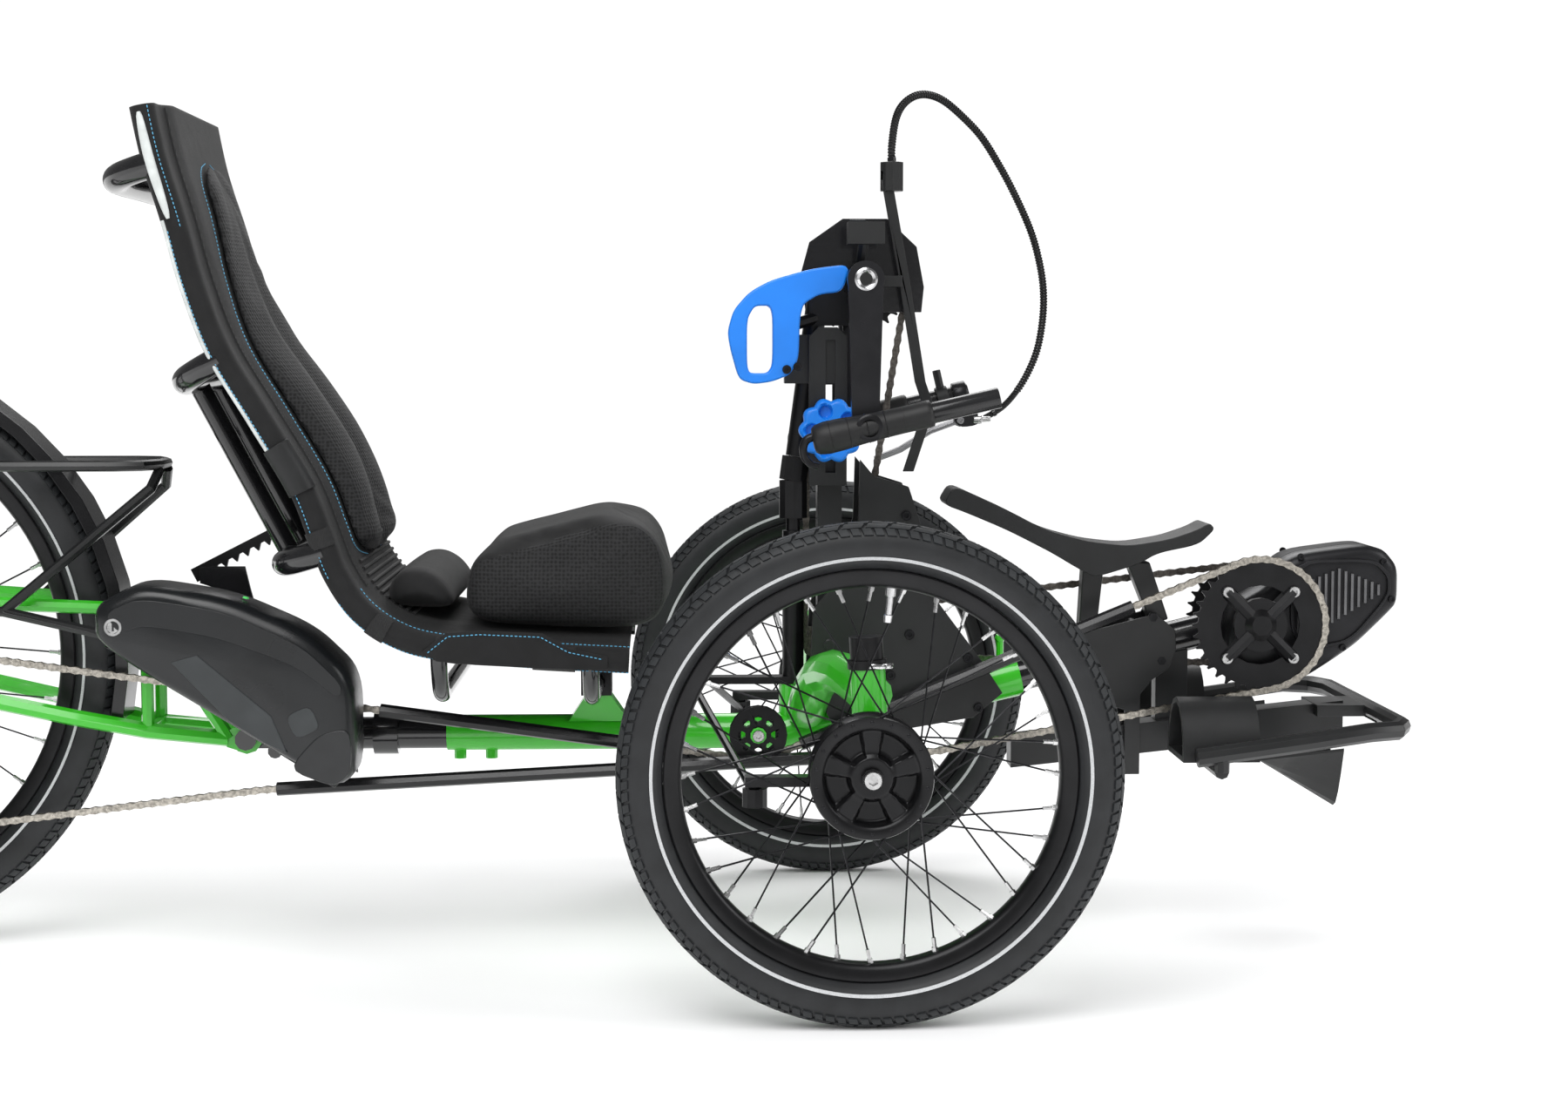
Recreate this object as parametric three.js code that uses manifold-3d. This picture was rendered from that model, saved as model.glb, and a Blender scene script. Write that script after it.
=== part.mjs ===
// A recumbent handcycle: two front wheels that steer, one rear wheel, a seat, a hand crank on a mast,
// and a motor on a front boom. Lengths are in millimetres and angles in degrees.
// +X is forward, +Y is left and +Z is up; the model is built with X = 0 at the front axles.
import * as THREE from "three";
import { mergeVertices } from "three/addons/utils/BufferGeometryUtils.js";
import Module from "manifold-3d";

const wasm = await Module();
wasm.setup();

// Numbers of flat sides on round pieces
const SIDES = { fine: 36, round: 20, tube: 10, arm: 12, small: 8, chain: 6, wire: 3 };
const RIGHT = -1;
const LEFT = 1;

// Fits shared by all pieces
const gap = 0.3; // between two pieces that touch
const running = 0.4; // round a shaft that turns
const overrun = 3; // how far a cut passes the face that it cuts
const bite = 2; // how far two welded shapes run into each other
const fine = 0.03; // the largest change that thinning a mesh may make

const frontWheel = {
  radius: 250, tyreWidth: 47, section: 46, rimDepth: 18, rimWidth: 25, spokes: 36, wire: 1.2,
  crossShare: 0.1, flange: 60, flangeSpan: 40, flangeThick: 6, shell: 47, boss: 19, bore: 8.6,
  window: 11, windowDepth: 7,
};
const rearWheel = {
  radius: 329.5, tyreWidth: 50, section: 49.5, rimDepth: 18, rimWidth: 25, spokes: 32, wire: 1.2,
  crossShare: 0.1, flange: 34, flangeSpan: 52, flangeThick: 6, shell: 24, boss: 18, bore: 5.6,
  window: 0, windowDepth: 0,
};
const beadRadius = (w) => w.radius - w.section;
const track = 760;
const wheelbase = 1135;

const degrees = Math.PI / 180;
const point = (x, y, z) => new THREE.Vector3(x, y, z);
const hubY = track / 2;
const frontAxle = point(0, 0, frontWheel.radius);
const rearAxle = point(-wheelbase, 0, rearWheel.radius);

// Turns a piece's places, given along and up from a datum in side view, into places of the whole part
function settle(piece, datum, along, up) {
  for (const name of along) piece[name] += datum.x;
  for (const name of up) piece[name] += datum.z;
}

const kingpin = { x: 6, headBottom: 40, headTop: 98, y: 318, headRadius: 18, pin: 14.2, capRadius: 17,
  capHeight: 32, ringRadius: 20, ringHeight: 9, collar: 16, lean: 3 };
settle(kingpin, frontAxle, ["x"], ["headBottom", "headTop"]);
const knuckle = { blockLength: 44, blockWidth: 26, plateRadius: 46, plateThick: 5, arm: 128, armRise: 15,
  armThick: 10, armWidth: 20, stud: 6, studDrop: 14, axle: 8.2, boltRadius: 11, boltHeight: 6, hubOffset: 0.5,
  raceHeight: 3 };

const mainTube = { height: 238, radius: 20, rear: -447, cross: -62, bore: 110, bossRadius: 7, bossDrop: 9 };
const armTube = { radius: 22, rise: 95, inner: 70, crest: 155, shoulder: 245, rootX: -46, steps: 16 };
const boom = { angle: 13.5, socket: 264, socketRadius: 23, radius: 19, insert: 90, reach: 531, stop: 64,
  stopDepth: 38.4, ballHeight: 24, ballRadius: 6, ballStem: 4.2, ballFromEnd: 22 };
const boomFoot = point(mainTube.cross, 0, mainTube.height);
const boomPoint = (along, y = 0) => point(
  boomFoot.x + along * Math.cos(boom.angle * degrees), y,
  boomFoot.z + along * Math.sin(boom.angle * degrees),
);
const motorAxle = boomPoint(boom.reach);
const tubeLevel = point(0, 0, mainTube.height);
const riser = { rear: -311, front: -244, topRear: -292, topFront: -264, top: 43, width: 34 };
settle(riser, tubeLevel, ["rear", "front", "topRear", "topFront"], ["top"]);

const innerTube = { end: 495, hinge: 471, radius: 18, hingeRadius: 17, hingeWidth: 44, webHalf: 13.6,
  boltRadius: 7, boltHead: 12, boltHeadLength: 8, strapLength: 27, strapWall: 6 };
settle(innerTube, rearAxle, ["end", "hinge"], []);
const rearFrame = { strutX: 363, kneeX: 175, lowKneeX: 285, kneeHeight: 62.5, lowKneeHeight: -64.5,
  yokeHalf: 32, dropHalf: 68, stay: 9, upper: 8, bridge: 7, lugRadius: 17, lugThick: 8,
  lugLength: 22, dropThick: 6, dropRadius: 20, upperRise: 52, kneeY: 61, lowKneeY: 54,
  axle: 4.9, nutRadius: 9, nutLength: 9, guardStay: 6 };
settle(rearFrame, rearAxle, ["strutX", "kneeX", "lowKneeX"], ["kneeHeight", "lowKneeHeight"]);

const rack = { frontX: 378, rearX: -185, legX: 220, top: 210.5, legHeight: 14.5, frontHeight: 20.5,
  eyeletHeight: 46.5, tube: 6, half: 62, slope: 10, corner: 40, drop: 26, stayHalf: 79,
  footRise: 16 };
settle(rack, rearAxle, ["frontX", "rearX", "legX"], ["top", "legHeight", "frontHeight", "eyeletHeight"]);
const mudguard = { gap: 9, thick: 3, width: 58, from: -12, to: 208, steps: 26, lip: 10 };

const battery = { x: -799, z: -34, length: 271, height: 219, inner: 92, width: 86, edge: 8 };
settle(battery, tubeLevel, ["x"], ["z"]);
const cradle = { frontArm: -560, rearArm: -625, armHeight: -6, thick: 6, armRadius: 8, lift: 24,
  plateLength: 215, plateHeight: 120 };
settle(cradle, tubeLevel, ["frontArm", "rearArm"], ["armHeight"]);
const catchPost = { x: -722, z: 0, length: 100, height: 186, thick: 4 };
settle(catchPost, tubeLevel, ["x"], ["z"]);

const chain = { returnRearX: -640, returnFrontX: 95, returnRearZ: -50, returnFrontZ: -12, radius: 4.4,
  line: 62, tubeBore: 5.3, tubeRadius: 7.6, arcStep: 15, sprocketGap: 0.35, outer: 80,
  wayIn: 9.68, wayOut: 13.2 };
settle(chain, tubeLevel, ["returnRearX", "returnFrontX"], ["returnRearZ", "returnFrontZ"]);
const teethPitch = 12.7;
const pitchRadius = (count) => (count * teethPitch) / (2 * Math.PI);
const teeth = { chainring: 36, leftRing: 28, crank: 27, jackshaft: 12, idler: 14, cassette: 13, pulley: 11 };
const sprocketThick = 3;
const idler = { x: -39, z: 5, thick: 12, flange: 32, boss: 9, axle: 5, headLength: 4, holes: 8, hole: 4.4,
  holeCircle: 18 };
settle(idler, boomFoot, ["x"], ["z"]);
const derailleur = { guideX: 7, tensionX: 23, guideZ: -77.5, tensionZ: -179.5, bodyRadius: 14,
  cageThick: 2.5, cageGap: 0.8, cageEdge: 10, bolt: 4, line: 48 };
settle(derailleur, rearAxle, ["guideX", "tensionX"], ["guideZ", "tensionZ"]);
const cassette = { pitch: 5.5, thick: 2, body: 19, outer: 55, stepsShares: [1.35, 1.75] };

const seat = { frontX: -280, midX: -439, back: -735, front: -240, frontZ: 58, midZ: 62, top: 677,
  bottom: 102, railHalf: 182, rail: 11, crossRadius: 14, bulge: 55, fabricThick: 12,
  fabricHalf: 192, padHalf: 128, padThick: 26, cushionHalf: 165, frontBar: 9 };
settle(seat, tubeLevel, ["frontX", "midX", "back", "front"], ["frontZ", "midZ", "top", "bottom"]);
// Side view of the seat's rail, from the head down to the front edge
const seatRailShares = [
  [0, 1], [0.022, 0.908], [0.059, 0.8], [0.095, 0.683], [0.147, 0.563], [0.228, 0.445], [0.313, 0.32],
  [0.352, 0.233], [0.384, 0.16], [0.438, 0.092], [0.519, 0.045], [0.616, 0.024], [0.798, 0.01], [1, 0],
];
const seatRail = seatRailShares.map(([across, up]) =>
  [seat.back + across * (seat.front - seat.back), seat.bottom + up * (seat.top - seat.bottom)]);
const crossTubeShares = [0.065, 0.31, 0.575];
const cushion = { x: -417, z: 136, length: 220, height: 116 };
settle(cushion, tubeLevel, ["x"], ["z"]);
const ladder = { x: -650, z: 214, length: 84, angle: 27, height: 16, thick: 4, notch: 5 };
settle(ladder, tubeLevel, ["x"], ["z"]);
const seatClamp = { length: 34, height: 30, width: 44, drop: 14 };

const mast = { x: 18, z: 5, length: 215, height: 302, half: 40, thick: 6, spacer: 9, spacerAlong: 120,
  spacerUpAlong: 214 };
settle(mast, boomFoot, ["x"], ["z"]);
const shaft = { x: 40, z: 102, radius: 6, sleeve: 10, end: 4.5 };
settle(shaft, boomFoot, ["x"], ["z"]);
const post = { x: 42, bossX: 48, bottom: 37, top: 358, boltZ: 339, bossZ: 154, width: 27, half: 17.6,
  wall: 5, bolt: 5, collar: 12, boss: 8 };
settle(post, boomFoot, ["x", "bossX"], ["bottom", "top", "boltZ", "bossZ"]);
const tower = { x: 39, bottom: 278, top: 452, slotBottom: 292, slotTop: 438, bearingBottom: 390,
  bearingTop: 444, width: 42, plate: 5, half: 28, slot: 5.4, bearingBack: 26 };
settle(tower, boomFoot, ["x"], ["bottom", "top", "slotBottom", "slotTop", "bearingBottom", "bearingTop"]);
const knob = { radius: 36, lobes: 10, thick: 22, lobeDepth: 3, standoff: 5, dish: 7, cup: 9 };
const column = { x: 2, z: 282, top: 504, bottom: 309, lean: 7.64, radius: 12, clampRadius: 17 };
settle(column, boomFoot, ["x"], ["z", "top", "bottom"]);
const joint = { x: 2, rodBottom: 192, radius: 16, boot: 42, rodRadius: 8, play: 0.9 };
settle(joint, boomFoot, ["x"], ["rodBottom"]);
const dropArm = { x: 2, z: 54, tubeTop: 226, reach: 120, thick: 8, width: 22, tubeRadius: 12, hub: 16,
  stud: 6, studHeight: 10, footGap: 1, boreRest: 38.4 };
settle(dropArm, boomFoot, ["x"], ["z", "tubeTop"]);
const tieRod = { radius: 4.5, eye: 9, eyeThick: 9 };

const crank = { x: 76, z: 503, length: 158, half: 95, thick: 15, wide: 38, narrow: 29, axle: 12,
  sleeve: 16.8, shellRadius: 21, shellHalf: 34, shellLeft: 13, sprocketY: 22.5,
  tipRadius: 17, boss: 20, webRise: 12.6 };
settle(crank, boomFoot, ["x"], ["z"]);
const guard = { x: -65, z: -34, length: 138, height: 104, thick: 2.5, hole: 14 };
settle(guard, crank, ["x"], ["z"]);
const screen = { x: 3, z: 51, y: -52, width: 30, height: 24, length: 40, stem: 6 };
settle(screen, crank, ["x"], ["z"]);
const guideBar = { x: 29, top: 111, stayHeight: 0, thick: 4, width: 12, y: -10, clampRadius: 13,
  clampWidth: 22, stayFrom: 14.7, stayTo: 46.2 };
settle(guideBar, crank, ["x"], ["top", "stayHeight"]);
const guideBarShares = [[0, 1], [0.4, 0.67], [0.79, 0.31], [1, 0.22], [0.52, 0]];
const guideBarBox = { length: 48, height: 322 };
const handle = { x: -148, windowX: -127, armX: -84, z: -113, windowZ: -101, armZ: -51, length: 133,
  height: 130, y: -60, thick: 24, windowLength: 28, windowHeight: 73, armRadius: 7, boss: 7,
  bossLength: 8 };
settle(handle, crank, ["x", "windowX", "armX"], ["z", "windowZ", "armZ"]);
const grip = { y: 150, behind: 62, front: 70, tubeEnd: 142, slope: 13, radius: 17, waist: 14, tube: 11.5,
  hook: 22, hookThick: 6, spindle: 8, clamp: 15, clampWidth: 30 };
const lever = { along: 132, below: 30, length: 100, drop: 46, blade: 4, eye: 8, eyeThick: 7, pin: 3, ring: 15,
  ringLength: 16, lug: 10, lugThick: 5, adjuster: 5, adjusterStart: 15 };
const shifter = { along: 104, length: 34, radius: 5, bodyRadius: 14, bodyThick: 14 };

const motor = { x: -33.3, z: -73, length: 193, height: 160, right: 44, left: 42 };
settle(motor, motorAxle, ["x"], ["z"]);
const ring = { bolts: 4, boltCircle: 52, boltRadius: 7, armWidth: 17, hub: 30, cap: 22, capHeight: 12,
  spindle: 11, leftY: 54, inner: 44 };
const cover = { x: -219.3, topPostX: -129.3, lowPostX: -119.3, lugX: -134.8, z: -172, length: 133,
  height: 181, thick: 4, postRadius: 5.5 };
settle(cover, motorAxle, ["x", "topPostX", "lowPostX", "lugX"], ["z"]);
const beam = { x: -270.3, endX: 105.7, hangerX: -106.3, z: -148, endZ: -108, height: 34, width: 38,
  hangerLength: 36, hangerWidth: 24 };
settle(beam, motorAxle, ["x", "endX", "hangerX"], ["z", "endZ"]);
const hoop = { rearX: -96.3, midX: 19.7, frontX: 133.7, crossX: -69.3, rearZ: -126, midZ: -110,
  frontZ: -100, half: 200, radius: 10.5, corner: 46, bendShare: 0.3, bar: 8, gussetHalf: 6.3 };
settle(hoop, motorAxle, ["rearX", "midX", "frontX", "crossX"], ["rearZ", "midZ", "frontZ"]);
const calf = { x: -349.3, rearLegX: -184.3, frontLegX: -102.3, rearTopX: -177.3, frontTopX: -128.3, z: 51,
  legTop: 54, length: 304, height: 102, half: 34, legWidth: 24, legThick: 10 };
settle(calf, motorAxle, ["x", "rearLegX", "frontLegX", "rearTopX", "frontTopX"], ["z", "legTop"]);
const heelCup = { frontX: 63.7, cuffRear: -108.3, cuffFront: -26.3, cuffBase: -133, cuffTop: -68,
  outer: 189, inner: 100, edge: 1.5, thick: 3, sag: 66, steps: 8, rows: 3, hang: 10, cuffWall: 6 };
settle(heelCup, motorAxle, ["frontX", "cuffRear", "cuffFront"], ["cuffBase", "cuffTop"]);

const cord = { radius: 3.6 };
// The cable that leaves the guide bar's head and comes back to the left hand's lever: chosen by hand
const cableRoute = [
  [35, -5, 132], [35, -3, 148], [40, 9, 178], [49, 24, 196], [63, 35, 207], [79, 46, 210], [98, 60, 205],
  [120, 75, 190], [145, 90, 167], [168, 104, 135], [187, 114, 103], [206, 124, 65], [217, 131, 33],
  [224, 137, -1],
  [225, 142, -35], [220, 146, -72], [210, 149, -100], [196, 150, -124], [179, 150, -143], [158, 150, -156],
].map(([x, y, z]) => point(crank.x + x, y, crank.z + z));

const COLOURS = {
  green: [0x21b51e, 0.25, 0.1], black: [0x141517, 0.45, 0.2], rubber: [0x1c1d1f, 0.85, 0],
  steel: [0xb8bcc0, 0.3, 0.9], blue: [0x1583dd, 0.5, 0], fabric: [0x16171a, 0.95, 0], alloy: [0x3a3d41,
    0.4, 0.7],
};


// A path that bends at each point of a list
class Route extends THREE.Curve {
  constructor(points) {
    super();
    this.points = points;
  }
  getPoint(t) {
    const last = this.points.length - 1;
    const place = Math.min(Math.max(t, 0), 1) * last;
    const index = Math.min(Math.floor(place), last - 1);
    return this.points[index].clone().lerp(this.points[index + 1], place - index);
  }
  getUtoTmapping(u) {
    return u;
  }
  getTangent(t) {
    const last = this.points.length - 1;
    const index = Math.round(Math.min(Math.max(t, 0), 1) * last);
    const before = this.points[Math.max(index - 1, 0)];
    const here = this.points[index];
    const after = this.points[Math.min(index + 1, last)];
    const arriving = here.clone().sub(before).normalize();
    return arriving.add(after.clone().sub(here).normalize()).normalize();
  }
}

// A closed mesh as a solid that can be joined and cut
function solid(geometry) {
  const bare = geometry.index ? geometry.toNonIndexed() : geometry.clone();
  bare.deleteAttribute("normal");
  bare.deleteAttribute("uv");
  const merged = mergeVertices(bare, 1e-3);
  const triVerts = new Uint32Array(merged.index.array);
  const vertProperties = new Float32Array(merged.attributes.position.array);
  const made = new wasm.Manifold(new wasm.Mesh({ numProp: 3, vertProperties, triVerts }));
  if (made.volume() >= 0) return made;
  for (let i = 0; i < triVerts.length; i += 3) {
    [triVerts[i + 1], triVerts[i + 2]] = [triVerts[i + 2], triVerts[i + 1]];
  }
  return new wasm.Manifold(new wasm.Mesh({ numProp: 3, vertProperties, triVerts }));
}

function geometryOf(body) {
  const mesh = body.asOriginal().simplify(fine).getMesh();
  const geometry = new THREE.BufferGeometry();
  geometry.setAttribute("position", new THREE.BufferAttribute(new Float32Array(mesh.vertProperties), 3));
  geometry.setIndex(new THREE.BufferAttribute(new Uint32Array(mesh.triVerts), 1));
  return geometry.toNonIndexed();
}

const join = (...bodies) => bodies.reduce((sum, body) => sum.add(body));
const cut = (body, ...tools) => tools.reduce((rest, tool) => rest.subtract(tool), body);

function box(low, high) {
  const geometry = new THREE.BoxGeometry(high.x - low.x, high.y - low.y, high.z - low.z);
  geometry.translate((low.x + high.x) / 2, (low.y + high.y) / 2, (low.z + high.z) / 2);
  return solid(geometry);
}

function rod(from, to, radius, sides = SIDES.tube, endRadius = radius) {
  const along = to.clone().sub(from);
  const geometry = new THREE.CylinderGeometry(endRadius, radius, along.length(), sides);
  const turn = new THREE.Quaternion().setFromUnitVectors(point(0, 1, 0), along.clone().normalize());
  geometry.applyQuaternion(turn);
  geometry.translate((from.x + to.x) / 2, (from.y + to.y) / 2, (from.z + to.z) / 2);
  return solid(geometry);
}

// A round bar along Y
const barrel = (x, z, y0, y1, radius, sides = SIDES.round) =>
  rod(point(x, Math.min(y0, y1), z), point(x, Math.max(y0, y1), z), radius, sides);

// A flat piece cut to an outline in side view, from y0 to y1
function plate(outline, y0, y1) {
  const shape = new THREE.Shape(outline.map(([x, z]) => new THREE.Vector2(x, z)));
  const geometry = new THREE.ExtrudeGeometry(shape, { depth: Math.abs(y1 - y0), bevelEnabled: false });
  geometry.rotateX(Math.PI / 2);
  geometry.translate(0, Math.max(y0, y1), 0);
  return solid(geometry);
}

// A solid of revolution about Y from a closed profile of [radius, y]
function turned(profile, x, y, z, sides = SIDES.fine) {
  const closed = [...profile, profile[0]].map(([r, height]) => new THREE.Vector2(r, height));
  const geometry = new THREE.LatheGeometry(closed, sides);
  geometry.translate(x, y, z);
  return solid(geometry);
}

const circleShape = (radius, sides) => {
  const corners = [];
  for (let i = 0; i < sides; i += 1) {
    const angle = (i / sides) * 2 * Math.PI;
    corners.push(new THREE.Vector2(radius * Math.cos(angle), radius * Math.sin(angle)));
  }
  return corners;
};

function sweep(points, radius, sides = SIDES.small, bore = 0) {
  const shape = new THREE.Shape(circleShape(radius, sides));
  if (bore > 0) shape.holes.push(new THREE.Path(circleShape(bore, sides)));
  const extrudePath = new Route(points);
  return solid(new THREE.ExtrudeGeometry(shape, { steps: points.length - 1, extrudePath,
    bevelEnabled: false }));
}

const smooth = (points, steps) => new THREE.CatmullRomCurve3(points, false, "centripetal").getPoints(steps);

// An outline given as shares of a length and a height
const outlineOf = (shares, piece) =>
  shares.map(([across, up]) => [piece.x + across * piece.length, piece.z + up * piece.height]);

// Rings of points joined into one closed body
function loft(rings) {
  const count = rings[0].length;
  const positions = [];
  const put = (...corners) => corners.forEach((corner) => positions.push(corner.x, corner.y, corner.z));
  for (let i = 0; i + 1 < rings.length; i += 1) {
    for (let k = 0; k < count; k += 1) {
      const next = (k + 1) % count;
      put(rings[i][k], rings[i + 1][k], rings[i][next]);
      put(rings[i][next], rings[i + 1][k], rings[i + 1][next]);
    }
  }
  const first = rings[0];
  const last = rings[rings.length - 1];
  for (let k = 1; k + 1 < count; k += 1) {
    put(first[0], first[k], first[k + 1]);
    put(last[0], last[k + 1], last[k]);
  }
  const geometry = new THREE.BufferGeometry();
  geometry.setAttribute("position", new THREE.BufferAttribute(new Float32Array(positions), 3));
  return solid(geometry);
}

// A chain's way round its wheels in side view. Each wheel is {x, z, y, r, turn}; turn is 1 or -1.
function beltRuns(wheels) {
  return wheels.map((wheel, i) => {
    const next = wheels[(i + 1) % wheels.length];
    const along = Math.atan2(next.z - wheel.z, next.x - wheel.x);
    const apart = Math.hypot(next.x - wheel.x, next.z - wheel.z);
    const angle = along + Math.asin((wheel.r * wheel.turn - next.r * next.turn) / apart);
    const side = { x: Math.sin(angle), z: -Math.cos(angle) };
    const leave = wheel.r * wheel.turn;
    const arrive = next.r * next.turn;
    return {
      start: point(wheel.x + leave * side.x, wheel.y, wheel.z + leave * side.z),
      end: point(next.x + arrive * side.x, next.y, next.z + arrive * side.z),
    };
  });
}

function beltPoints(wheels) {
  const runs = beltRuns(wheels);
  const points = [];
  wheels.forEach((wheel, i) => {
    const arriving = runs[(i + wheels.length - 1) % wheels.length].end;
    const leaving = runs[i].start;
    points.push(arriving.clone());
    if (wheel.r === 0) return;
    const from = Math.atan2(arriving.z - wheel.z, arriving.x - wheel.x);
    const to = Math.atan2(leaving.z - wheel.z, leaving.x - wheel.x);
    const circle = 2 * Math.PI;
    const swept = (((to - from) * wheel.turn) % circle + circle) % circle;
    const steps = Math.max(1, Math.ceil(swept / (chain.arcStep * degrees)));
    for (let k = 1; k <= steps; k += 1) {
      const angle = from + (wheel.turn * swept * k) / steps;
      points.push(point(wheel.x + wheel.r * Math.cos(angle), wheel.y, wheel.z + wheel.r * Math.sin(angle)));
    }
  });
  return points;
}

// A closed chain as two open sweeps that share both their ends
function chainLoop(wheels) {
  const points = beltPoints(wheels);
  const half = Math.floor(points.length / 2);
  const there = points.slice(0, half + 2);
  const back = [...points.slice(half), points[0], points[1]];
  return join(sweep(there, chain.radius, SIDES.chain), sweep(back, chain.radius, SIDES.chain));
}

// Part of a straight chain run, as a hollow tube round it
function runTube(run, fromShare, toShare) {
  const ends = [run.start.clone().lerp(run.end, fromShare), run.start.clone().lerp(run.end, toShare)];
  return sweep(ends, chain.tubeRadius, SIDES.small, chain.tubeBore);
}

const sprocketRadius = (count) => pitchRadius(count) - chain.radius - chain.sprocketGap;

// Wheels
const tyreShares = [
  [0, -0.46], [0.3, -0.96], [0.75, -0.84], [1, -0.3], [1, 0.3], [0.75, 0.84], [0.3, 0.96], [0, 0.46],
];
const tyreProfile = (w) => tyreShares.map(([out, across]) =>
  [beadRadius(w) + out * w.section, (across * w.tyreWidth) / 2]);

function rimProfile(w) {
  const outer = beadRadius(w) - gap;
  const inner = outer - w.rimDepth;
  const half = w.rimWidth / 2;
  return [[inner, -half / 2], [outer, -half], [outer, half], [inner, half / 2]];
}

const faceted = (sides) => Math.cos(Math.PI / sides);

function spokeWires(w, x, y, z) {
  const rimRadius = (beadRadius(w) - gap - w.rimDepth) * faceted(SIDES.fine) - gap;
  const seatRadius = w.flange - w.flangeThick / 2;
  const flangeY = (w.flangeSpan - w.flangeThick) / 2;
  const crossing = w.crossShare * 2 * Math.PI;
  const wires = [];
  for (let i = 0; i < w.spokes; i += 1) {
    const outward = i % 2 === 0 ? 1 : -1;
    const lead = i % 4 < 2 ? 1 : -1;
    const rimAngle = (i / w.spokes) * 2 * Math.PI;
    const hubAngle = rimAngle + lead * crossing;
    const across = outward * (flangeY + lead * (w.wire + gap));
    const rimEnd = point(x + rimRadius * Math.cos(rimAngle), y + outward * (w.wire * 2 + gap),
      z + rimRadius * Math.sin(rimAngle));
    const hubEnd = point(x + seatRadius * Math.cos(hubAngle), y + across,
      z + seatRadius * Math.sin(hubAngle));
    wires.push(rod(hubEnd, rimEnd, w.wire, SIDES.wire));
  }
  return wires;
}

// A hub with its flanges and wire spokes, turned about Y. outSide is the side with the windowed cover.
function hubBody(w, x, y, z, outSide) {
  const half = w.flangeSpan / 2;
  const profile = [[w.bore, -half], [w.flange, -half], [w.flange, -half + w.flangeThick],
    [w.shell, -half + w.flangeThick], [w.shell, half - w.flangeThick], [w.flange, half - w.flangeThick],
    [w.flange, half], [w.boss + bite, half], [w.boss, half + bite], [w.bore, half + bite]];
  const sided = profile.map(([r, across]) => [r, across * outSide]);
  let hub = turned(sided, x, y, z, SIDES.round);
  if (w.window > 0) {
    const arms = 5;
    const circle = (w.boss + w.shell) / 2;
    const face = y + outSide * half;
    for (let i = 0; i < arms; i += 1) {
      const angle = (i / arms + 0.25) * 2 * Math.PI;
      const pocket = barrel(x + circle * Math.cos(angle), z + circle * Math.sin(angle),
        face - outSide * w.windowDepth, face + outSide * (bite + overrun), w.window, SIDES.tube);
      hub = cut(hub, pocket);
    }
  }
  return join(hub, ...spokeWires(w, x, y, z));
}

// A front wheel's carrier: the kingpin with its headset rings and cap, the block, the steering arm and
// the axle
function knuckleBody(side) {
  const y = side * kingpin.y;
  const axleZ = frontWheel.radius;
  const blockTop = kingpin.headBottom - gap - knuckle.raceHeight;
  const lean = Math.sin(kingpin.lean * degrees);
  const pinAt = (z) => point(kingpin.x - (z - axleZ) * lean, y, z);
  const hubFace = hubY - frontWheel.flangeSpan / 2;
  const plateFace = hubFace - knuckle.hubOffset;
  const plateY = side * plateFace;
  const headTop = kingpin.headTop + gap;
  const raceTop = blockTop + knuckle.raceHeight;
  const pin = rod(pinAt(blockTop - bite), pinAt(headTop + kingpin.capHeight), kingpin.pin, SIDES.tube);
  const race = rod(pinAt(blockTop - bite), pinAt(raceTop), kingpin.headRadius, SIDES.round);
  const rings = rod(pinAt(headTop), pinAt(headTop + kingpin.ringHeight), kingpin.ringRadius, SIDES.round);
  const cap = rod(pinAt(headTop + kingpin.ringHeight), pinAt(headTop + kingpin.capHeight), kingpin.capRadius,
    SIDES.round);
  const block = box(
    point(kingpin.x - knuckle.blockWidth / 2, Math.min(side * (kingpin.y - kingpin.collar), plateY),
      axleZ - knuckle.blockLength / 2),
    point(kingpin.x + knuckle.blockWidth / 2, Math.max(side * (kingpin.y - kingpin.collar), plateY),
      blockTop));
  const backPlate = barrel(0, axleZ, plateY - side * knuckle.plateThick, plateY, knuckle.plateRadius);
  const axleEnd = side * (hubY + frontWheel.flangeSpan / 2 + bite + gap);
  const axle = barrel(0, axleZ, plateY - side * knuckle.plateThick, axleEnd, knuckle.axle);
  const bolt = barrel(0, axleZ, axleEnd, axleEnd + side * knuckle.boltHeight, knuckle.boltRadius, SIDES.tube);
  const armEnd = kingpin.x - knuckle.arm;
  const armHigh = axleZ - knuckle.armRise + knuckle.armThick / 2;
  const armLow = armHigh - knuckle.armThick;
  const arm = box(point(armEnd, y - knuckle.armWidth / 2, armLow),
    point(kingpin.x, y + knuckle.armWidth / 2, armHigh));
  const stud = rod(point(armEnd + knuckle.armWidth / 2, y, armLow - knuckle.studDrop),
    point(armEnd + knuckle.armWidth / 2, y, armHigh), knuckle.stud, SIDES.small);
  return join(pin, race, rings, cap, block, backPlate, axle, bolt, arm, stud);
}

// Both cross arms, from one head tube over the main tube to the other
function crossArms(radius) {
  const axisZ = mainTube.height;
  const crestZ = axisZ + armTube.rise;
  const headMiddle = (kingpin.headTop + kingpin.headBottom) / 2;
  const half = (side) => [
    point(kingpin.x, side * (kingpin.y - bite), headMiddle),
    point(kingpin.x - armTube.radius, side * armTube.shoulder, crestZ),
    point(armTube.rootX + armTube.radius / 2, side * armTube.crest, crestZ - armTube.radius / 2),
    point(armTube.rootX, side * armTube.inner, axisZ + armTube.radius * 2),
  ];
  const route = [...half(RIGHT), point(armTube.rootX, 0, axisZ + armTube.radius), ...half(LEFT).reverse()];
  return sweep(smooth(route, armTube.steps), radius, SIDES.arm);
}

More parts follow.
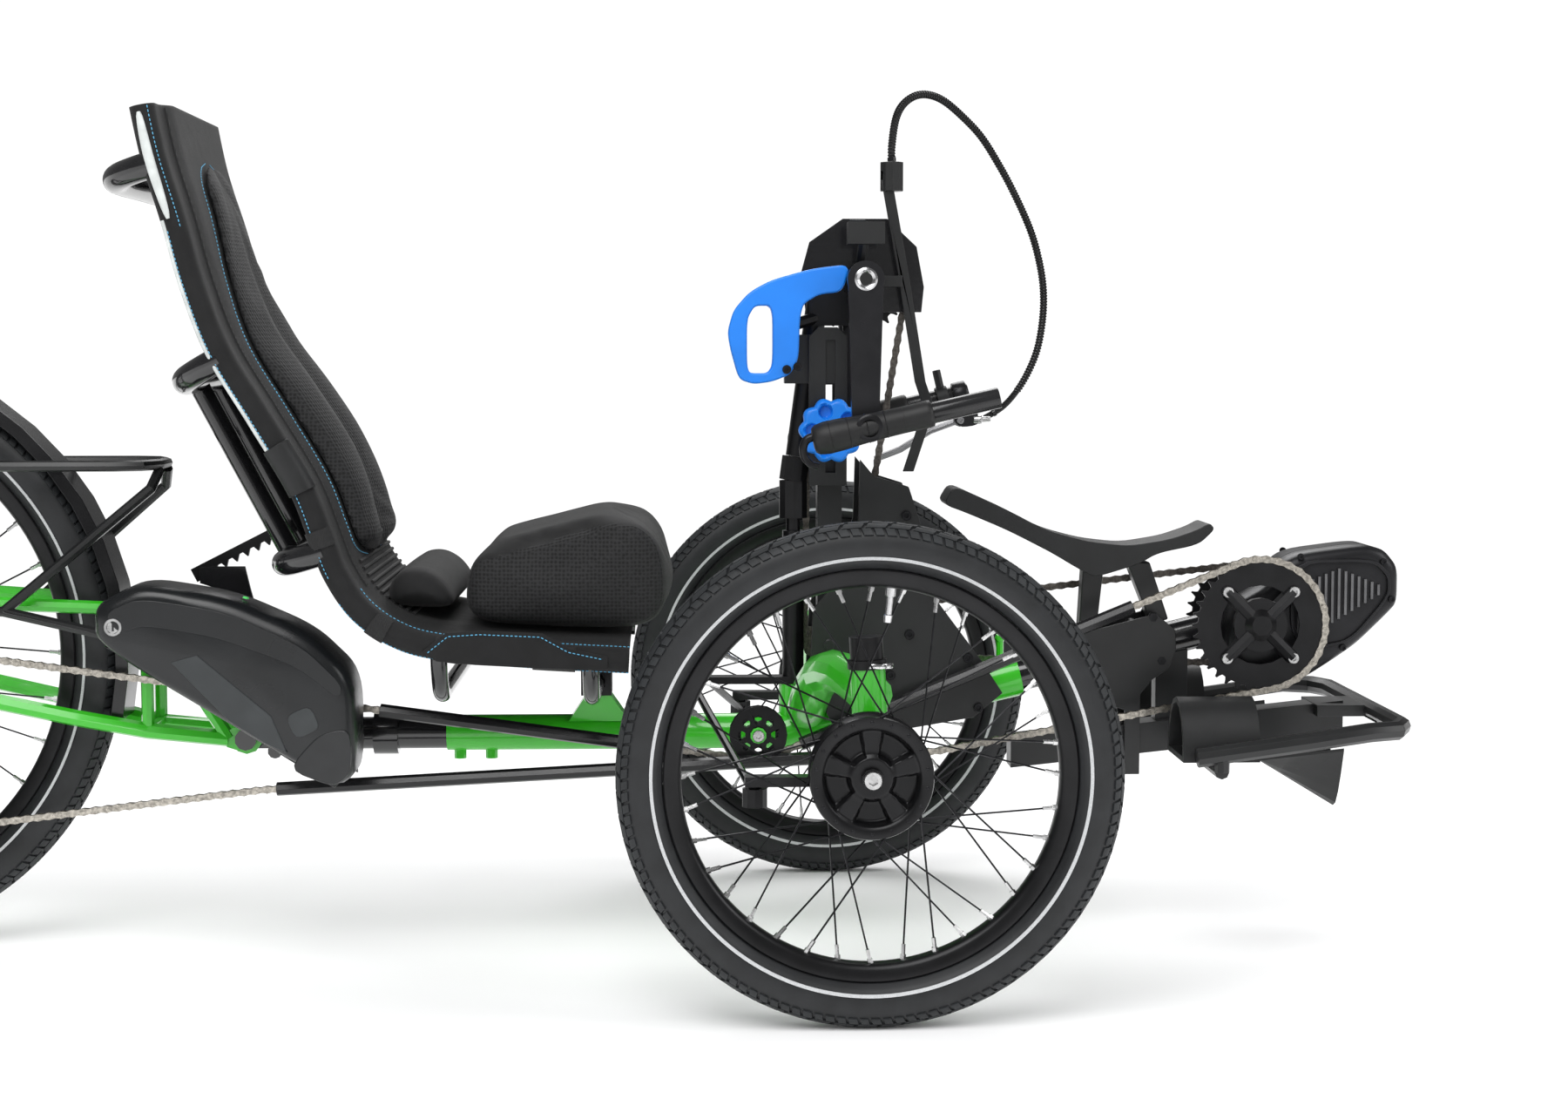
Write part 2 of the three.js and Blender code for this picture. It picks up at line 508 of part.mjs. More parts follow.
// The painted frame: main tube, cross arms, head tubes, boom socket and the seat's riser
function mainFrameBody() {
  const axisZ = mainTube.height;
  const tube = rod(point(mainTube.rear, 0, axisZ), point(mainTube.cross, 0, axisZ), mainTube.radius,
    SIDES.round);
  const socket = rod(boomPoint(-mainTube.radius / 2), boomPoint(boom.socket), boom.socketRadius, SIDES.round);
  const bore = rod(boomPoint(boom.socket - boom.insert - bite), boomPoint(boom.socket + overrun),
    boom.radius + gap + running, SIDES.round);
  const rearBore = rod(point(mainTube.rear - overrun, 0, axisZ), point(mainTube.rear + mainTube.bore, 0,
    axisZ),
    innerTube.radius + gap + running, SIDES.round);
  const arms = crossArms(armTube.radius);
  const lean = Math.sin(kingpin.lean * degrees);
  const headAt = (z, side) => point(kingpin.x - (z - frontWheel.radius) * lean, side * kingpin.y, z);
  const heads = [RIGHT, LEFT].map((side) =>
    rod(headAt(kingpin.headBottom, side), headAt(kingpin.headTop, side), kingpin.headRadius, SIDES.round));
  const headBores = [RIGHT, LEFT].map((side) => rod(headAt(kingpin.headBottom - overrun * 2, side),
    headAt(kingpin.headTop + overrun * 2, side), kingpin.pin + gap + running, SIDES.round));
  const headTrims = [RIGHT, LEFT].flatMap((side) => [
    rod(headAt(kingpin.headTop, side), headAt(kingpin.headTop + armTube.radius * 2, side),
      armTube.radius * 1.5),
    rod(headAt(kingpin.headBottom - armTube.radius * 2, side), headAt(kingpin.headBottom, side),
      armTube.radius * 1.5),
  ]);
  const riserBody = plate([
    [riser.rear, axisZ + mainTube.radius - bite * 3], [riser.front, axisZ + mainTube.radius - bite * 3],
    [riser.topFront, riser.top], [riser.topRear, riser.top],
  ], -riser.width / 2, riser.width / 2);
  const bosses = [mainTube.bossRadius * 2, mainTube.bossRadius * 7].map((along) => rod(
    point(mainTube.rear + along, 0, axisZ - mainTube.radius - mainTube.bossDrop),
    point(mainTube.rear + along, 0, axisZ - mainTube.radius + bite), mainTube.bossRadius, SIDES.tube));
  const ballPoint = boomPoint(boom.socket - boom.ballFromEnd);
  const ballTop = ballPoint.clone().add(point(0, 0, boom.socketRadius + boom.ballHeight));
  const ballStem = rod(ballPoint, ballTop, boom.ballStem, SIDES.small);
  const ball = new THREE.SphereGeometry(boom.ballRadius, SIDES.small, SIDES.small / 2);
  ball.translate(ballTop.x, ballTop.y, ballTop.z);
  const idlerY = -chain.line;
  const idlerInner = idlerY + idler.thick / 2 + gap;
  const idlerOuter = idlerY - idler.thick / 2 - gap;
  const idlerBoss = barrel(idler.x, idler.z, 0, idlerInner, idler.boss, SIDES.tube);
  const idlerAxle = barrel(idler.x, idler.z, idlerInner, idlerOuter, idler.axle, SIDES.tube);
  const idlerHead = barrel(idler.x, idler.z, idlerOuter, idlerOuter - idler.headLength, idler.boss,
    SIDES.tube);
  const bearing = rod(point(dropArm.x, 0, axisZ), point(dropArm.x, 0, dropArm.z - gap), dropArm.hub,
    SIDES.round);
  const pinSeat = rod(point(dropArm.x, 0, axisZ), point(dropArm.x, 0, dropArm.z + overrun),
    joint.rodRadius + gap + running, SIDES.tube);
  const body = join(tube, socket, arms, ...heads, riserBody, ...bosses, ballStem, solid(ball), idlerBoss,
    idlerAxle, idlerHead, bearing);
  return cut(body, bore, rearBore, pinSeat, ...headTrims, ...headBores);
}

// The post that holds the seat's ladder, beside the tube
const catchShares = [[0, 1], [0.5, 1], [0.56, 0.86], [1, 0], [0.78, 0], [0.45, 0.82], [0, 0.9]];
const catchY = innerTube.radius - catchPost.thick + gap;
const ladderY = catchY + catchPost.thick + gap + ladder.thick / 2;

// Black rear tube with the fold's hinge eye, its bolt, the strap and the battery's side plate and post
function innerTubeBody() {
  const z = mainTube.height;
  const inside = mainTube.rear + mainTube.bore - bite;
  const tube = rod(point(innerTube.end, 0, z), point(inside, 0, z), innerTube.radius, SIDES.round);
  const eye = barrel(innerTube.hinge, z, -innerTube.hingeWidth / 2, innerTube.hingeWidth / 2,
    innerTube.hingeRadius);
  const web = box(point(innerTube.hinge, -innerTube.hingeWidth / 2, z - innerTube.webHalf),
    point(innerTube.end + bite, innerTube.hingeWidth / 2, z + innerTube.webHalf));
  const lug = rearFrame.yokeHalf + rearFrame.lugThick + gap;
  const bolt = barrel(innerTube.hinge, z, -lug - bite, lug + bite, innerTube.boltRadius, SIDES.tube);
  const heads = [RIGHT, LEFT].map((side) => barrel(innerTube.hinge, z, side * lug,
    side * (lug + innerTube.boltHeadLength), innerTube.boltHead, SIDES.tube));
  const strapX = mainTube.rear - innerTube.strapLength * 3;
  const strap = rod(point(strapX, 0, z), point(strapX + innerTube.strapLength, 0, z),
    innerTube.radius + innerTube.strapWall, SIDES.round);
  const face = -(battery.inner - gap);
  const inner = face + cradle.thick;
  const low = cradle.armHeight - cradle.lift;
  const side = plate([
    [cradle.frontArm + cradle.lift, low], [cradle.frontArm + cradle.lift, low + cradle.lift * 2],
    [cradle.rearArm, cradle.armHeight + cradle.plateHeight],
    [cradle.frontArm - cradle.plateLength, cradle.armHeight + cradle.plateHeight],
    [cradle.frontArm - cradle.plateLength, cradle.armHeight + cradle.plateHeight - cradle.lift],
  ], face, inner);
  const armRods = [cradle.frontArm, cradle.rearArm].map((x) => barrel(x, cradle.armHeight, face, 0,
    cradle.armRadius, SIDES.tube));
  const catchPlate = plate(outlineOf(catchShares, catchPost), catchY, catchY + catchPost.thick);
  return join(tube, eye, web, bolt, ...heads, strap, side, ...armRods, catchPlate);
}

// The rear triangle: yoke lugs, lower and upper stays, struts, bridges and dropouts
function rearFrameBody() {
  const z = mainTube.height;
  const axle = rearAxle;
  const guardStep = (mudguard.to - mudguard.from) / mudguard.steps;
  const guardOuter = (rearWheel.radius + mudguard.gap + mudguard.thick) * Math.cos((guardStep / 2) * degrees);
  const bridgeHeights = [z + rearFrame.stay, axle.z + rearFrame.upperRise];
  const yokeMid = rearFrame.yokeHalf + rearFrame.lugThick / 2;
  const stayX = innerTube.hinge - rearFrame.lugLength + bite;
  const parts = [];
  for (const side of [RIGHT, LEFT]) {
    const inner = side * rearFrame.yokeHalf;
    const outer = side * (rearFrame.yokeHalf + rearFrame.lugThick);
    const dropY = side * rearFrame.dropHalf;
    const strutY = side * yokeMid;
    const lower = [point(stayX, strutY, z), point(rearFrame.strutX, strutY, bridgeHeights[0]),
      point(rearFrame.lowKneeX, side * rearFrame.lowKneeY, rearFrame.lowKneeHeight), point(axle.x, dropY,
        axle.z)];
    const upper = [point(stayX, strutY, z), point(rearFrame.strutX, strutY, bridgeHeights[1]),
      point(rearFrame.kneeX, side * rearFrame.kneeY, rearFrame.kneeHeight), point(axle.x, dropY, axle.z)];
    parts.push(barrel(innerTube.hinge, z, inner, outer, rearFrame.lugRadius, SIDES.tube));
    parts.push(plate([[innerTube.hinge, z - rearFrame.lugRadius * faceted(SIDES.tube)],
      [innerTube.hinge, z + rearFrame.lugRadius * faceted(SIDES.tube)],
      [innerTube.hinge - rearFrame.lugLength, z + rearFrame.stay],
      [innerTube.hinge - rearFrame.lugLength, z - rearFrame.stay]], inner, outer));
    parts.push(sweep(lower, rearFrame.stay), sweep(upper, rearFrame.upper));
    parts.push(rod(lower[1], upper[1], rearFrame.bridge, SIDES.small));
    parts.push(barrel(axle.x, axle.z, dropY - rearFrame.dropThick / 2, dropY + rearFrame.dropThick / 2,
      rearFrame.dropRadius));
    const nutFace = dropY + (side * rearFrame.dropThick) / 2;
    parts.push(barrel(axle.x, axle.z, nutFace - side * bite, nutFace + side * rearFrame.nutLength,
      rearFrame.nutRadius, SIDES.chain));
  }
  for (const height of bridgeHeights) {
    parts.push(barrel(rearFrame.strutX, height, -yokeMid, yokeMid, rearFrame.bridge, SIDES.small));
  }
  const bridge = point(rearFrame.strutX, 0, bridgeHeights[1]);
  const outward = bridge.clone().sub(axle).normalize();
  parts.push(rod(axle.clone().addScaledVector(outward, guardOuter + gap), bridge, rearFrame.guardStay,
    SIDES.small));
  parts.push(barrel(axle.x, axle.z, -rearFrame.dropHalf, rearFrame.dropHalf, rearFrame.axle, SIDES.tube));
  const hangerY = -rearFrame.dropHalf;
  parts.push(plate([
    [axle.x - rearFrame.dropRadius / 2, axle.z], [axle.x + rearFrame.dropRadius / 2, axle.z],
    [derailleur.guideX + derailleur.bodyRadius, derailleur.guideZ],
    [derailleur.guideX, derailleur.guideZ - derailleur.bodyRadius],
    [derailleur.guideX - derailleur.bodyRadius, derailleur.guideZ],
  ], hangerY - rearFrame.dropThick / 2, hangerY + rearFrame.dropThick / 2));
  const lugBore = barrel(innerTube.hinge, z, -rearFrame.yokeHalf * 2, rearFrame.yokeHalf * 2,
    innerTube.boltRadius + gap + running);
  return cut(join(...parts), lugBore);
}

// Rack: one tube down from each side's foot, round the front corner, with a rail on each side of the wheel
function rackBody() {
  const axle = rearAxle;
  const parts = [];
  const halfLoop = (side) => [
    point(rack.rearX, side * rack.half, rack.top + rack.slope), point(rack.legX, side * rack.half, rack.top),
    point(rack.frontX - rack.corner, side * rack.half, rack.top),
    point(rack.frontX - rack.corner / 3, side * (rack.half - rack.corner / 4), rack.top),
    point(rack.frontX, side * (rack.half - rack.corner), rack.top),
  ];
  parts.push(sweep([...halfLoop(RIGHT), ...halfLoop(LEFT).reverse()], rack.tube));
  for (const side of [RIGHT, LEFT]) {
    const stayY = side * rack.stayHalf;
    const foot = point(axle.x, stayY, axle.z + rack.footRise);
    const leg = [point(rack.frontX, side * (rack.half - rack.corner), rack.top - rack.tube),
      point(rack.frontX - rack.tube, side * (rack.half - rack.corner / 2), rack.top - rack.drop),
      point(rack.legX, stayY, rack.legHeight + rack.corner), point(axle.x, stayY, rack.eyeletHeight), foot];
    parts.push(sweep(leg, rack.tube));
    parts.push(sweep([point(rack.rearX + rack.corner, side * rack.half, rack.top + rack.slope), foot],
      rack.tube));
    parts.push(barrel(foot.x, foot.z, side * (rearFrame.dropHalf + rearFrame.dropThick / 2 + gap), stayY,
      rack.tube,
      SIDES.small));
    const strutOut = rearFrame.yokeHalf + rearFrame.lugThick / 2 + rearFrame.bridge + gap;
    parts.push(barrel(rearFrame.strutX, rack.frontHeight, side * strutOut, stayY, rack.tube, SIDES.small));
    parts.push(rod(point(rearFrame.strutX, stayY, rack.frontHeight),
      point(rack.legX, stayY, rack.legHeight + rack.corner), rack.tube, SIDES.small));
  }
  return join(...parts);
}

function mudguardBody() {
  const inner = rearWheel.radius + mudguard.gap;
  const outer = inner + mudguard.thick;
  const half = mudguard.width / 2;
  const section = [[inner - mudguard.lip, -half], [inner, -half + mudguard.thick], [inner,
    half - mudguard.thick],
    [inner - mudguard.lip, half], [inner - mudguard.lip, half + mudguard.thick], [outer, half], [outer,
      -half],
    [inner - mudguard.lip, -half - mudguard.thick]];
  const rings = [];
  for (let i = 0; i <= mudguard.steps; i += 1) {
    const angle = (mudguard.from + ((mudguard.to - mudguard.from) * i) / mudguard.steps) * degrees;
    rings.push(section.map(([r, y]) => point(-wheelbase + r * Math.cos(angle), y,
      rearWheel.radius + r * Math.sin(angle))));
  }
  return loft(rings);
}

const batteryShares = [[0, 0.89], [0.17, 1], [0.51, 0.93], [0.82, 0.76], [1, 0.54], [1, 0.07], [0.92, 0],
  [0, 0.7]];

function batteryBody() {
  const outline = outlineOf(batteryShares, battery);
  const middle = [battery.x + battery.length / 2, battery.z + battery.height / 2];
  const ringAt = (y, inset) => outline.map(([x, z]) => {
    const along = Math.hypot(x - middle[0], z - middle[1]);
    const keep = (along - inset) / along;
    return point(middle[0] + (x - middle[0]) * keep, y, middle[1] + (z - middle[1]) * keep);
  });
  const inner = -battery.inner;
  const outer = inner - battery.width;
  return loft([ringAt(inner, battery.edge), ringAt(inner - battery.edge, 0), ringAt(outer + battery.edge, 0),
    ringAt(outer, battery.edge)]);
}

// Seat
const railPoint = (i, y, offset = 0) => {
  const before = seatRail[Math.max(i - 1, 0)];
  const after = seatRail[Math.min(i + 1, seatRail.length - 1)];
  const run = Math.hypot(after[0] - before[0], after[1] - before[1]);
  const normal = [-(after[1] - before[1]) / run, (after[0] - before[0]) / run];
  return point(seatRail[i][0] + normal[0] * offset, y, seatRail[i][1] + normal[1] * offset);
};
const railIndices = seatRail.map((_, i) => i);
function railHeight(x) {
  const next = seatRail.findIndex(([railX]) => railX > x);
  const [x0, z0] = seatRail[next - 1];
  const [x1, z1] = seatRail[next];
  return z0 + ((x - x0) / (x1 - x0)) * (z1 - z0);
}

// A sheet that follows the rail's side view, standing off it by two distances
function alongRail(from, to, near, far, half) {
  const range = railIndices.slice(from, to + 1);
  const back = range.map((i) => railPoint(i, 0, near));
  const face = range.map((i) => railPoint(i, 0, far)).reverse();
  return plate([...back, ...face].map((p) => [p.x, p.z]), -half, half);
}

// Across and down shares of a back tube and of a tube under the seat, and the ladder's notches
const backTubeShares = [[-1, 0], [-0.85, 0.8], [-0.6, 1], [0.6, 1], [0.85, 0.8], [1, 0]];
const underTubeShares = [[-1, 0], [-0.9, 0.5], [-0.75, 1], [0.75, 1], [0.9, 0.5], [1, 0]];
const notchShares = [0.2, 0.4, 0.6, 0.8];
const backStayShare = 0.33;

function seatFrameBody() {
  const rails = [RIGHT, LEFT].map((side) =>
    sweep(railIndices.map((i) => railPoint(i, side * seat.railHalf)), seat.rail));
  const curve = new THREE.CatmullRomCurve3(railIndices.map((i) => railPoint(i, 0)), false, "centripetal");
  const hoops = crossTubeShares.map((share) => {
    const at = curve.getPointAt(share);
    const slope = curve.getTangentAt(share);
    const back = point(slope.z, 0, -slope.x).multiplyScalar(seat.bulge);
    const route = backTubeShares.map(([across, out]) =>
      point(at.x + back.x * out, across * seat.railHalf, at.z + back.z * out));
    return sweep(route, seat.crossRadius, SIDES.small);
  });
  const stayEnds = [crossTubeShares[1], crossTubeShares[2]].map((share) => {
    const at = curve.getPointAt(share);
    const slope = curve.getTangentAt(share);
    return at.clone().add(point(slope.z, 0, -slope.x).multiplyScalar(seat.bulge));
  });
  const stays = [RIGHT, LEFT].map((side) => rod(
    stayEnds[0].clone().setY(side * seat.railHalf * backStayShare),
    stayEnds[1].clone().setY(side * seat.railHalf * backStayShare), seat.rail, SIDES.small));
  const lowBar = (x, z) => {
    const railZ = railHeight(x);
    const route = underTubeShares.map(([across, down]) =>
      point(x, across * seat.railHalf, railZ + down * (z - railZ)));
    return sweep(route, seat.frontBar);
  };
  const along = ladder.angle * degrees;
  const ladderOutline = [[0, 0], [0, ladder.height], [-ladder.length, ladder.height], [-ladder.length,
    0]].map(
    ([a, b]) => [ladder.x + a * Math.cos(along) + b * Math.sin(along),
      ladder.z + a * Math.sin(along) - b * Math.cos(along) + ladder.height / 2]);
  const notches = notchShares.map((share) => barrel(
    ladder.x - share * ladder.length * Math.cos(along) + ladder.height * Math.sin(along),
    ladder.z - share * ladder.length * Math.sin(along) - ladder.height * Math.cos(along) + ladder.height / 2,
    0, ladderY * 2, ladder.notch, SIDES.chain));
  const ladderPlate = cut(plate(ladderOutline, ladderY - ladder.thick / 2, ladderY + ladder.thick / 2),
    ...notches);
  const tang = rod(stayEnds[1].clone().setY(ladderY), point(ladder.x, ladderY, ladder.z), ladder.height / 2,
    SIDES.small);
  return join(...rails, ...hoops, ...stays, lowBar(seat.frontX, seat.frontZ), lowBar(seat.midX, seat.midZ),
    tang, ladderPlate);
}

const cushionShares = [[0, 0], [0, 0.64], [0.29, 0.79], [0.71, 1], [0.88, 1], [0.98, 0.79], [1, 0.47],
  [0.99, 0.16], [0.94, 0], [0.83, -0.1], [0.53, -0.1]];

function seatClampBody() {
  const z = seat.frontZ;
  const low = riser.top + gap;
  const body = box(point(seat.frontX - seatClamp.length / 2, -seatClamp.width / 2, low),
    point(seat.frontX + seatClamp.length / 2, seatClamp.width / 2, z + seatClamp.height / 2));
  return cut(body, barrel(seat.frontX, z, -seatClamp.width, seatClamp.width, seat.frontBar + gap + running,
    SIDES.tube));
}

// Mast: side plates on the boom's socket, and a hollow post
const mastShares = [[0.26, 1], [0.33, 0.94], [0.51, 0.9], [0.57, 0.77], [0.66, 0.48], [0.89, 0.26], [1, 0.14],
  [0.85, 0.05], [0.52, 0.01], [0.14, 0], [0, 0.19], [0.02, 0.45], [0.17, 0.59], [0.25, 0.77]];
const mastCrossShare = [0.42, 0.86];

function mastPlatesBody() {
  const outline = outlineOf(mastShares, mast);
  const parts = [];
  for (const side of [RIGHT, LEFT]) {
    const inner = side * mast.half;
    parts.push(plate(outline, inner, inner + side * mast.thick));
    for (const along of [mast.spacerAlong, mast.spacerUpAlong]) {
      const at = boomPoint(along);
      parts.push(barrel(at.x, at.z, side * (boom.socketRadius + gap), inner + side * bite, mast.spacer,
        SIDES.tube));
    }
  }
  const [crossX, crossZ] = outlineOf([mastCrossShare], mast)[0];
  parts.push(barrel(crossX, crossZ, -mast.half - bite, mast.half + bite, mast.spacer, SIDES.tube));
  parts.push(barrel(shaft.x, shaft.z, -mast.half - mast.thick - bite, mast.half + mast.thick - gap,
    shaft.radius,
    SIDES.tube));
  const hole = barrel(shaft.x, shaft.z, mast.half - overrun, mast.half + mast.thick + overrun,
    shaft.sleeve + gap + running, SIDES.tube);
  const stub = barrel(shaft.x, shaft.z, mast.half - overrun * 2, ring.leftY + sprocketThick, shaft.radius,
    SIDES.tube);
  return join(cut(join(...parts), hole, crossArms(armTube.radius + gap * 2)), stub);
}

function postBody() {
  const low = point(post.x - post.width / 2, -post.half, post.bottom);
  const high = point(post.x + post.width / 2, post.half, post.top);
  const outer = box(low, high);
  const hollow = box(point(low.x + post.wall, -post.half + post.wall, post.bottom - overrun),
    point(high.x - post.wall, post.half - post.wall, post.top + overrun));
  const shaftHole = barrel(shaft.x, shaft.z, -hubY, hubY, shaft.sleeve + gap + running);
  const seatCut = rod(boomPoint(-boom.socketRadius), boomPoint(boom.socket), boom.socketRadius + gap,
    SIDES.round);
  const boltEnd = tower.half + tower.plate + knob.standoff;
  const bolt = barrel(post.x, post.boltZ, -boltEnd, boltEnd, post.bolt, SIDES.tube);
  const collars = [RIGHT, LEFT].map((side) => barrel(post.x, post.boltZ, side * (post.half - bite),
    side * (tower.half - gap), post.collar, SIDES.tube));
  const bosses = [RIGHT, LEFT].map((side) => barrel(post.bossX, post.bossZ, side * (post.half - bite),
    side * (mast.half - gap), post.boss, SIDES.tube));
  const shell = cut(outer, hollow, shaftHole, seatCut, crossArms(armTube.radius + gap * 2));
  return join(shell, bolt, ...collars, ...bosses);
}

function towerBody() {
  const low = tower.x - tower.width / 2;
  const high = tower.x + tower.width / 2;
  const crown = tower.width / 2;
  const outline = [[low, tower.bottom], [high, tower.bottom], [high, tower.top - crown / 2],
    [tower.x + crown / 2, tower.top], [tower.x - crown / 2, tower.top], [low, tower.top - crown / 2]];
  const plates = [RIGHT, LEFT].map((side) =>
    plate(outline, side * tower.half, side * (tower.half + tower.plate)));
  const slots = box(point(post.x - tower.slot, -hubY, tower.slotBottom),
    point(post.x + tower.slot, hubY, tower.bearingBottom - bite));
  const slotEnd = box(point(post.x - tower.slot, -hubY, tower.bearingBottom - bite),
    point(post.x + tower.slot, -tower.half, tower.slotTop));
  const block = box(point(low - tower.bearingBack, -tower.half - bite, tower.bearingBottom),
    point(high, tower.half + bite, tower.bearingTop));
  const trim = [RIGHT, LEFT].map((side) => box(
    point(low - tower.bearingBack * 2, Math.min(side * column.clampRadius, side * hubY),
      tower.bearingBottom - overrun),
    point(low, Math.max(side * column.clampRadius, side * hubY), tower.bearingTop + overrun)));
  const columnHole = rod(columnPoint(column.bottom), columnPoint(column.top), column.radius + gap + running,
    SIDES.round);
  const chainWay = box(
    point(low - tower.bearingBack, crank.sprocketY - chain.wayIn, tower.bearingBottom - overrun),
    point(high + overrun, tower.half, tower.bearingTop + overrun));
  const guardWay = box(point(low - tower.bearingBack, tower.half - overrun, tower.bearingBottom - overrun),
    point(low - overrun, hubY, tower.bearingTop));
  const web = box(point(post.x - post.width / 2, crank.sprocketY - chain.wayOut,
    tower.bearingBottom + overrun),
    point(post.x + post.width / 2, tower.half + bite, tower.bearingTop - overrun));
  return cut(join(cut(join(...plates, block), slots, slotEnd, chainWay, guardWay, ...trim), web), columnHole);
}

const columnPoint = (z) => point(column.x + (z - column.z) * Math.tan(column.lean * degrees), 0, z);

const cupCircleShare = 0.62;

function knobBody() {
  const inner = -(tower.half + tower.plate + gap * 2);
  const outer = inner - knob.thick;
  const corners = [];
  const perLobe = 4;
  for (let i = 0; i < knob.lobes * perLobe; i += 1) {
    const angle = (i / (knob.lobes * perLobe)) * 2 * Math.PI;
    const r = knob.radius - (i % perLobe === 0 ? knob.lobeDepth : 0);
    corners.push([post.x + r * Math.cos(angle), post.boltZ + r * Math.sin(angle)]);
  }
  const body = plate(corners, inner, outer);
  const cups = [];
  for (let i = 0; i < knob.lobes / 2; i += 1) {
    const angle = ((i + 0.5) / (knob.lobes / 2)) * 2 * Math.PI;
    const circle = knob.radius * cupCircleShare;
    cups.push(barrel(post.x + circle * Math.cos(angle), post.boltZ + circle * Math.sin(angle),
      outer + knob.dish, outer - overrun, knob.cup, SIDES.small));
  }
  const hole = barrel(post.x, post.boltZ, inner + overrun, inner - knob.standoff * 2,
    post.bolt + gap + running,
    SIDES.tube);
  return cut(body, hole, ...cups);
}

// Steering shaft: the universal joint's boot and clamps with the rod below, and the arm that pulls the
// tie rods
function steeringShaftBody() {
  const centre = columnPoint(column.z);
  const boot = rod(point(centre.x, 0, column.z - joint.boot), centre, joint.radius);
  const upper = rod(centre, columnPoint(column.bottom - joint.play), joint.radius);
  const rodBody = rod(point(joint.x, 0, joint.rodBottom), centre, joint.rodRadius, SIDES.tube);
  return join(boot, upper, rodBody);
}

function dropArmBody() {
  const tube = rod(point(dropArm.x, 0, dropArm.z), point(dropArm.x, 0, dropArm.tubeTop), dropArm.tubeRadius,
    SIDES.round);
  const pin = rod(point(dropArm.x, 0, mainTube.height + dropArm.footGap), point(dropArm.x, 0,
    dropArm.z + bite),
    joint.rodRadius, SIDES.tube);
  const arm = box(point(dropArm.x - dropArm.reach - dropArm.width / 2, -dropArm.width / 2, dropArm.z),
    point(dropArm.x, dropArm.width / 2, dropArm.z + dropArm.thick));
  const stud = rod(point(dropArm.x - dropArm.reach, 0, dropArm.z + dropArm.thick - bite),
    point(dropArm.x - dropArm.reach, 0, dropArm.z + dropArm.thick + dropArm.studHeight * 2 + gap * 3),
      dropArm.stud,
    SIDES.small);
  const bore = rod(point(dropArm.x, 0, joint.rodBottom - dropArm.boreRest),
    point(dropArm.x, 0, dropArm.tubeTop + overrun), joint.rodRadius + gap + running, SIDES.tube);
  return cut(join(tube, pin, arm, stud), bore);
}

function tieRodBody(side) {
  const level = side === RIGHT ? 0 : 1;
  const innerZ = dropArm.z + dropArm.thick + gap + level * (dropArm.studHeight + gap);
  const from = point(dropArm.x - dropArm.reach, 0, innerZ);
  const armLow = frontWheel.radius - knuckle.armRise - knuckle.armThick / 2;
  const to = point(kingpin.x - knuckle.arm + knuckle.armWidth / 2, side * kingpin.y,
    armLow - knuckle.studDrop / 2);
  const eye = rod(from, from.clone().add(point(0, 0, dropArm.studHeight)), tieRod.eye + bite, SIDES.tube);
  const cup = rod(to.clone().add(point(0, 0, -knuckle.studDrop)), to.clone().add(point(0, 0,
    tieRod.eyeThick / 2)),
    tieRod.eye + bite * 2, SIDES.tube);
  const inside = rod(to.clone().add(point(0, 0, -knuckle.studDrop / 2 - running * 2)),
    to.clone().add(point(0, 0, tieRod.eyeThick + overrun)), knuckle.stud + running * 2, SIDES.tube);
  const start = from.clone().add(point(0, side * tieRod.eye, dropArm.studHeight / 2));
  const end = to.clone().add(point(0, -side * (tieRod.eye + bite / 2), -knuckle.studDrop / 4));
  const bar = rod(start, end, tieRod.radius, SIDES.small);
  const bore = rod(from.clone().add(point(0, 0, -overrun)),
    from.clone().add(point(0, 0, dropArm.studHeight + overrun)), dropArm.stud + gap + running, SIDES.tube);
  return cut(join(eye, cup, bar), bore, inside);
}

// Crank head: the column's upper end with the shell that holds the crank's axle
function crankHeadBody() {
  const stem = rod(columnPoint(column.bottom), columnPoint(column.top), column.radius, SIDES.round);
  const shell = barrel(crank.x, crank.z, -crank.shellHalf, crank.shellLeft, crank.shellRadius);
  const top = columnPoint(column.top);
  const web = box(point(top.x - column.radius, -column.radius, tower.top + bite),
    point(crank.x, column.radius, crank.z + crank.webRise));
  const bore = barrel(crank.x, crank.z, -hubY, hubY, crank.axle + gap + running);
  const bossFace = handle.y + handle.thick / 2 + gap;
  const arm = rod(point(top.x, 0, tower.top + column.radius), point(handle.armX, bossFace + handle.bossLength,
    handle.armZ), handle.armRadius, SIDES.small);
  const boss = barrel(handle.armX, handle.armZ, bossFace, bossFace + handle.bossLength + bite, handle.boss,
    SIDES.tube);
  return cut(join(stem, shell, web, arm, boss), bore);
}

const guardShares = [[0.34, 1], [0.7, 1], [0.94, 0.7], [1, 0.27], [0.98, 0], [0.04, 0], [0, 0.41], [0.07,
  0.75]];
const guardBody = () => cut(plate(outlineOf(guardShares, guard), crank.shellLeft + gap,
  crank.shellLeft + gap + guard.thick),
  barrel(crank.x, crank.z, 0, hubY, guard.hole, SIDES.round));

function screenBody() {
  const low = point(screen.x - screen.length / 2, screen.y - screen.width / 2, screen.z - screen.height / 2);
  const high = point(screen.x + screen.length / 2, screen.y + screen.width / 2, screen.z + screen.height / 2);
  const stem = rod(point(crank.x, -crank.shellHalf / 2, crank.z + crank.shellRadius + gap),
    point(screen.x, screen.y + screen.width / 3, screen.z), screen.stem, SIDES.small);
  return cut(join(box(low, high), stem), barrel(crank.x, crank.z, -hubY, hubY, crank.shellRadius + gap));
}

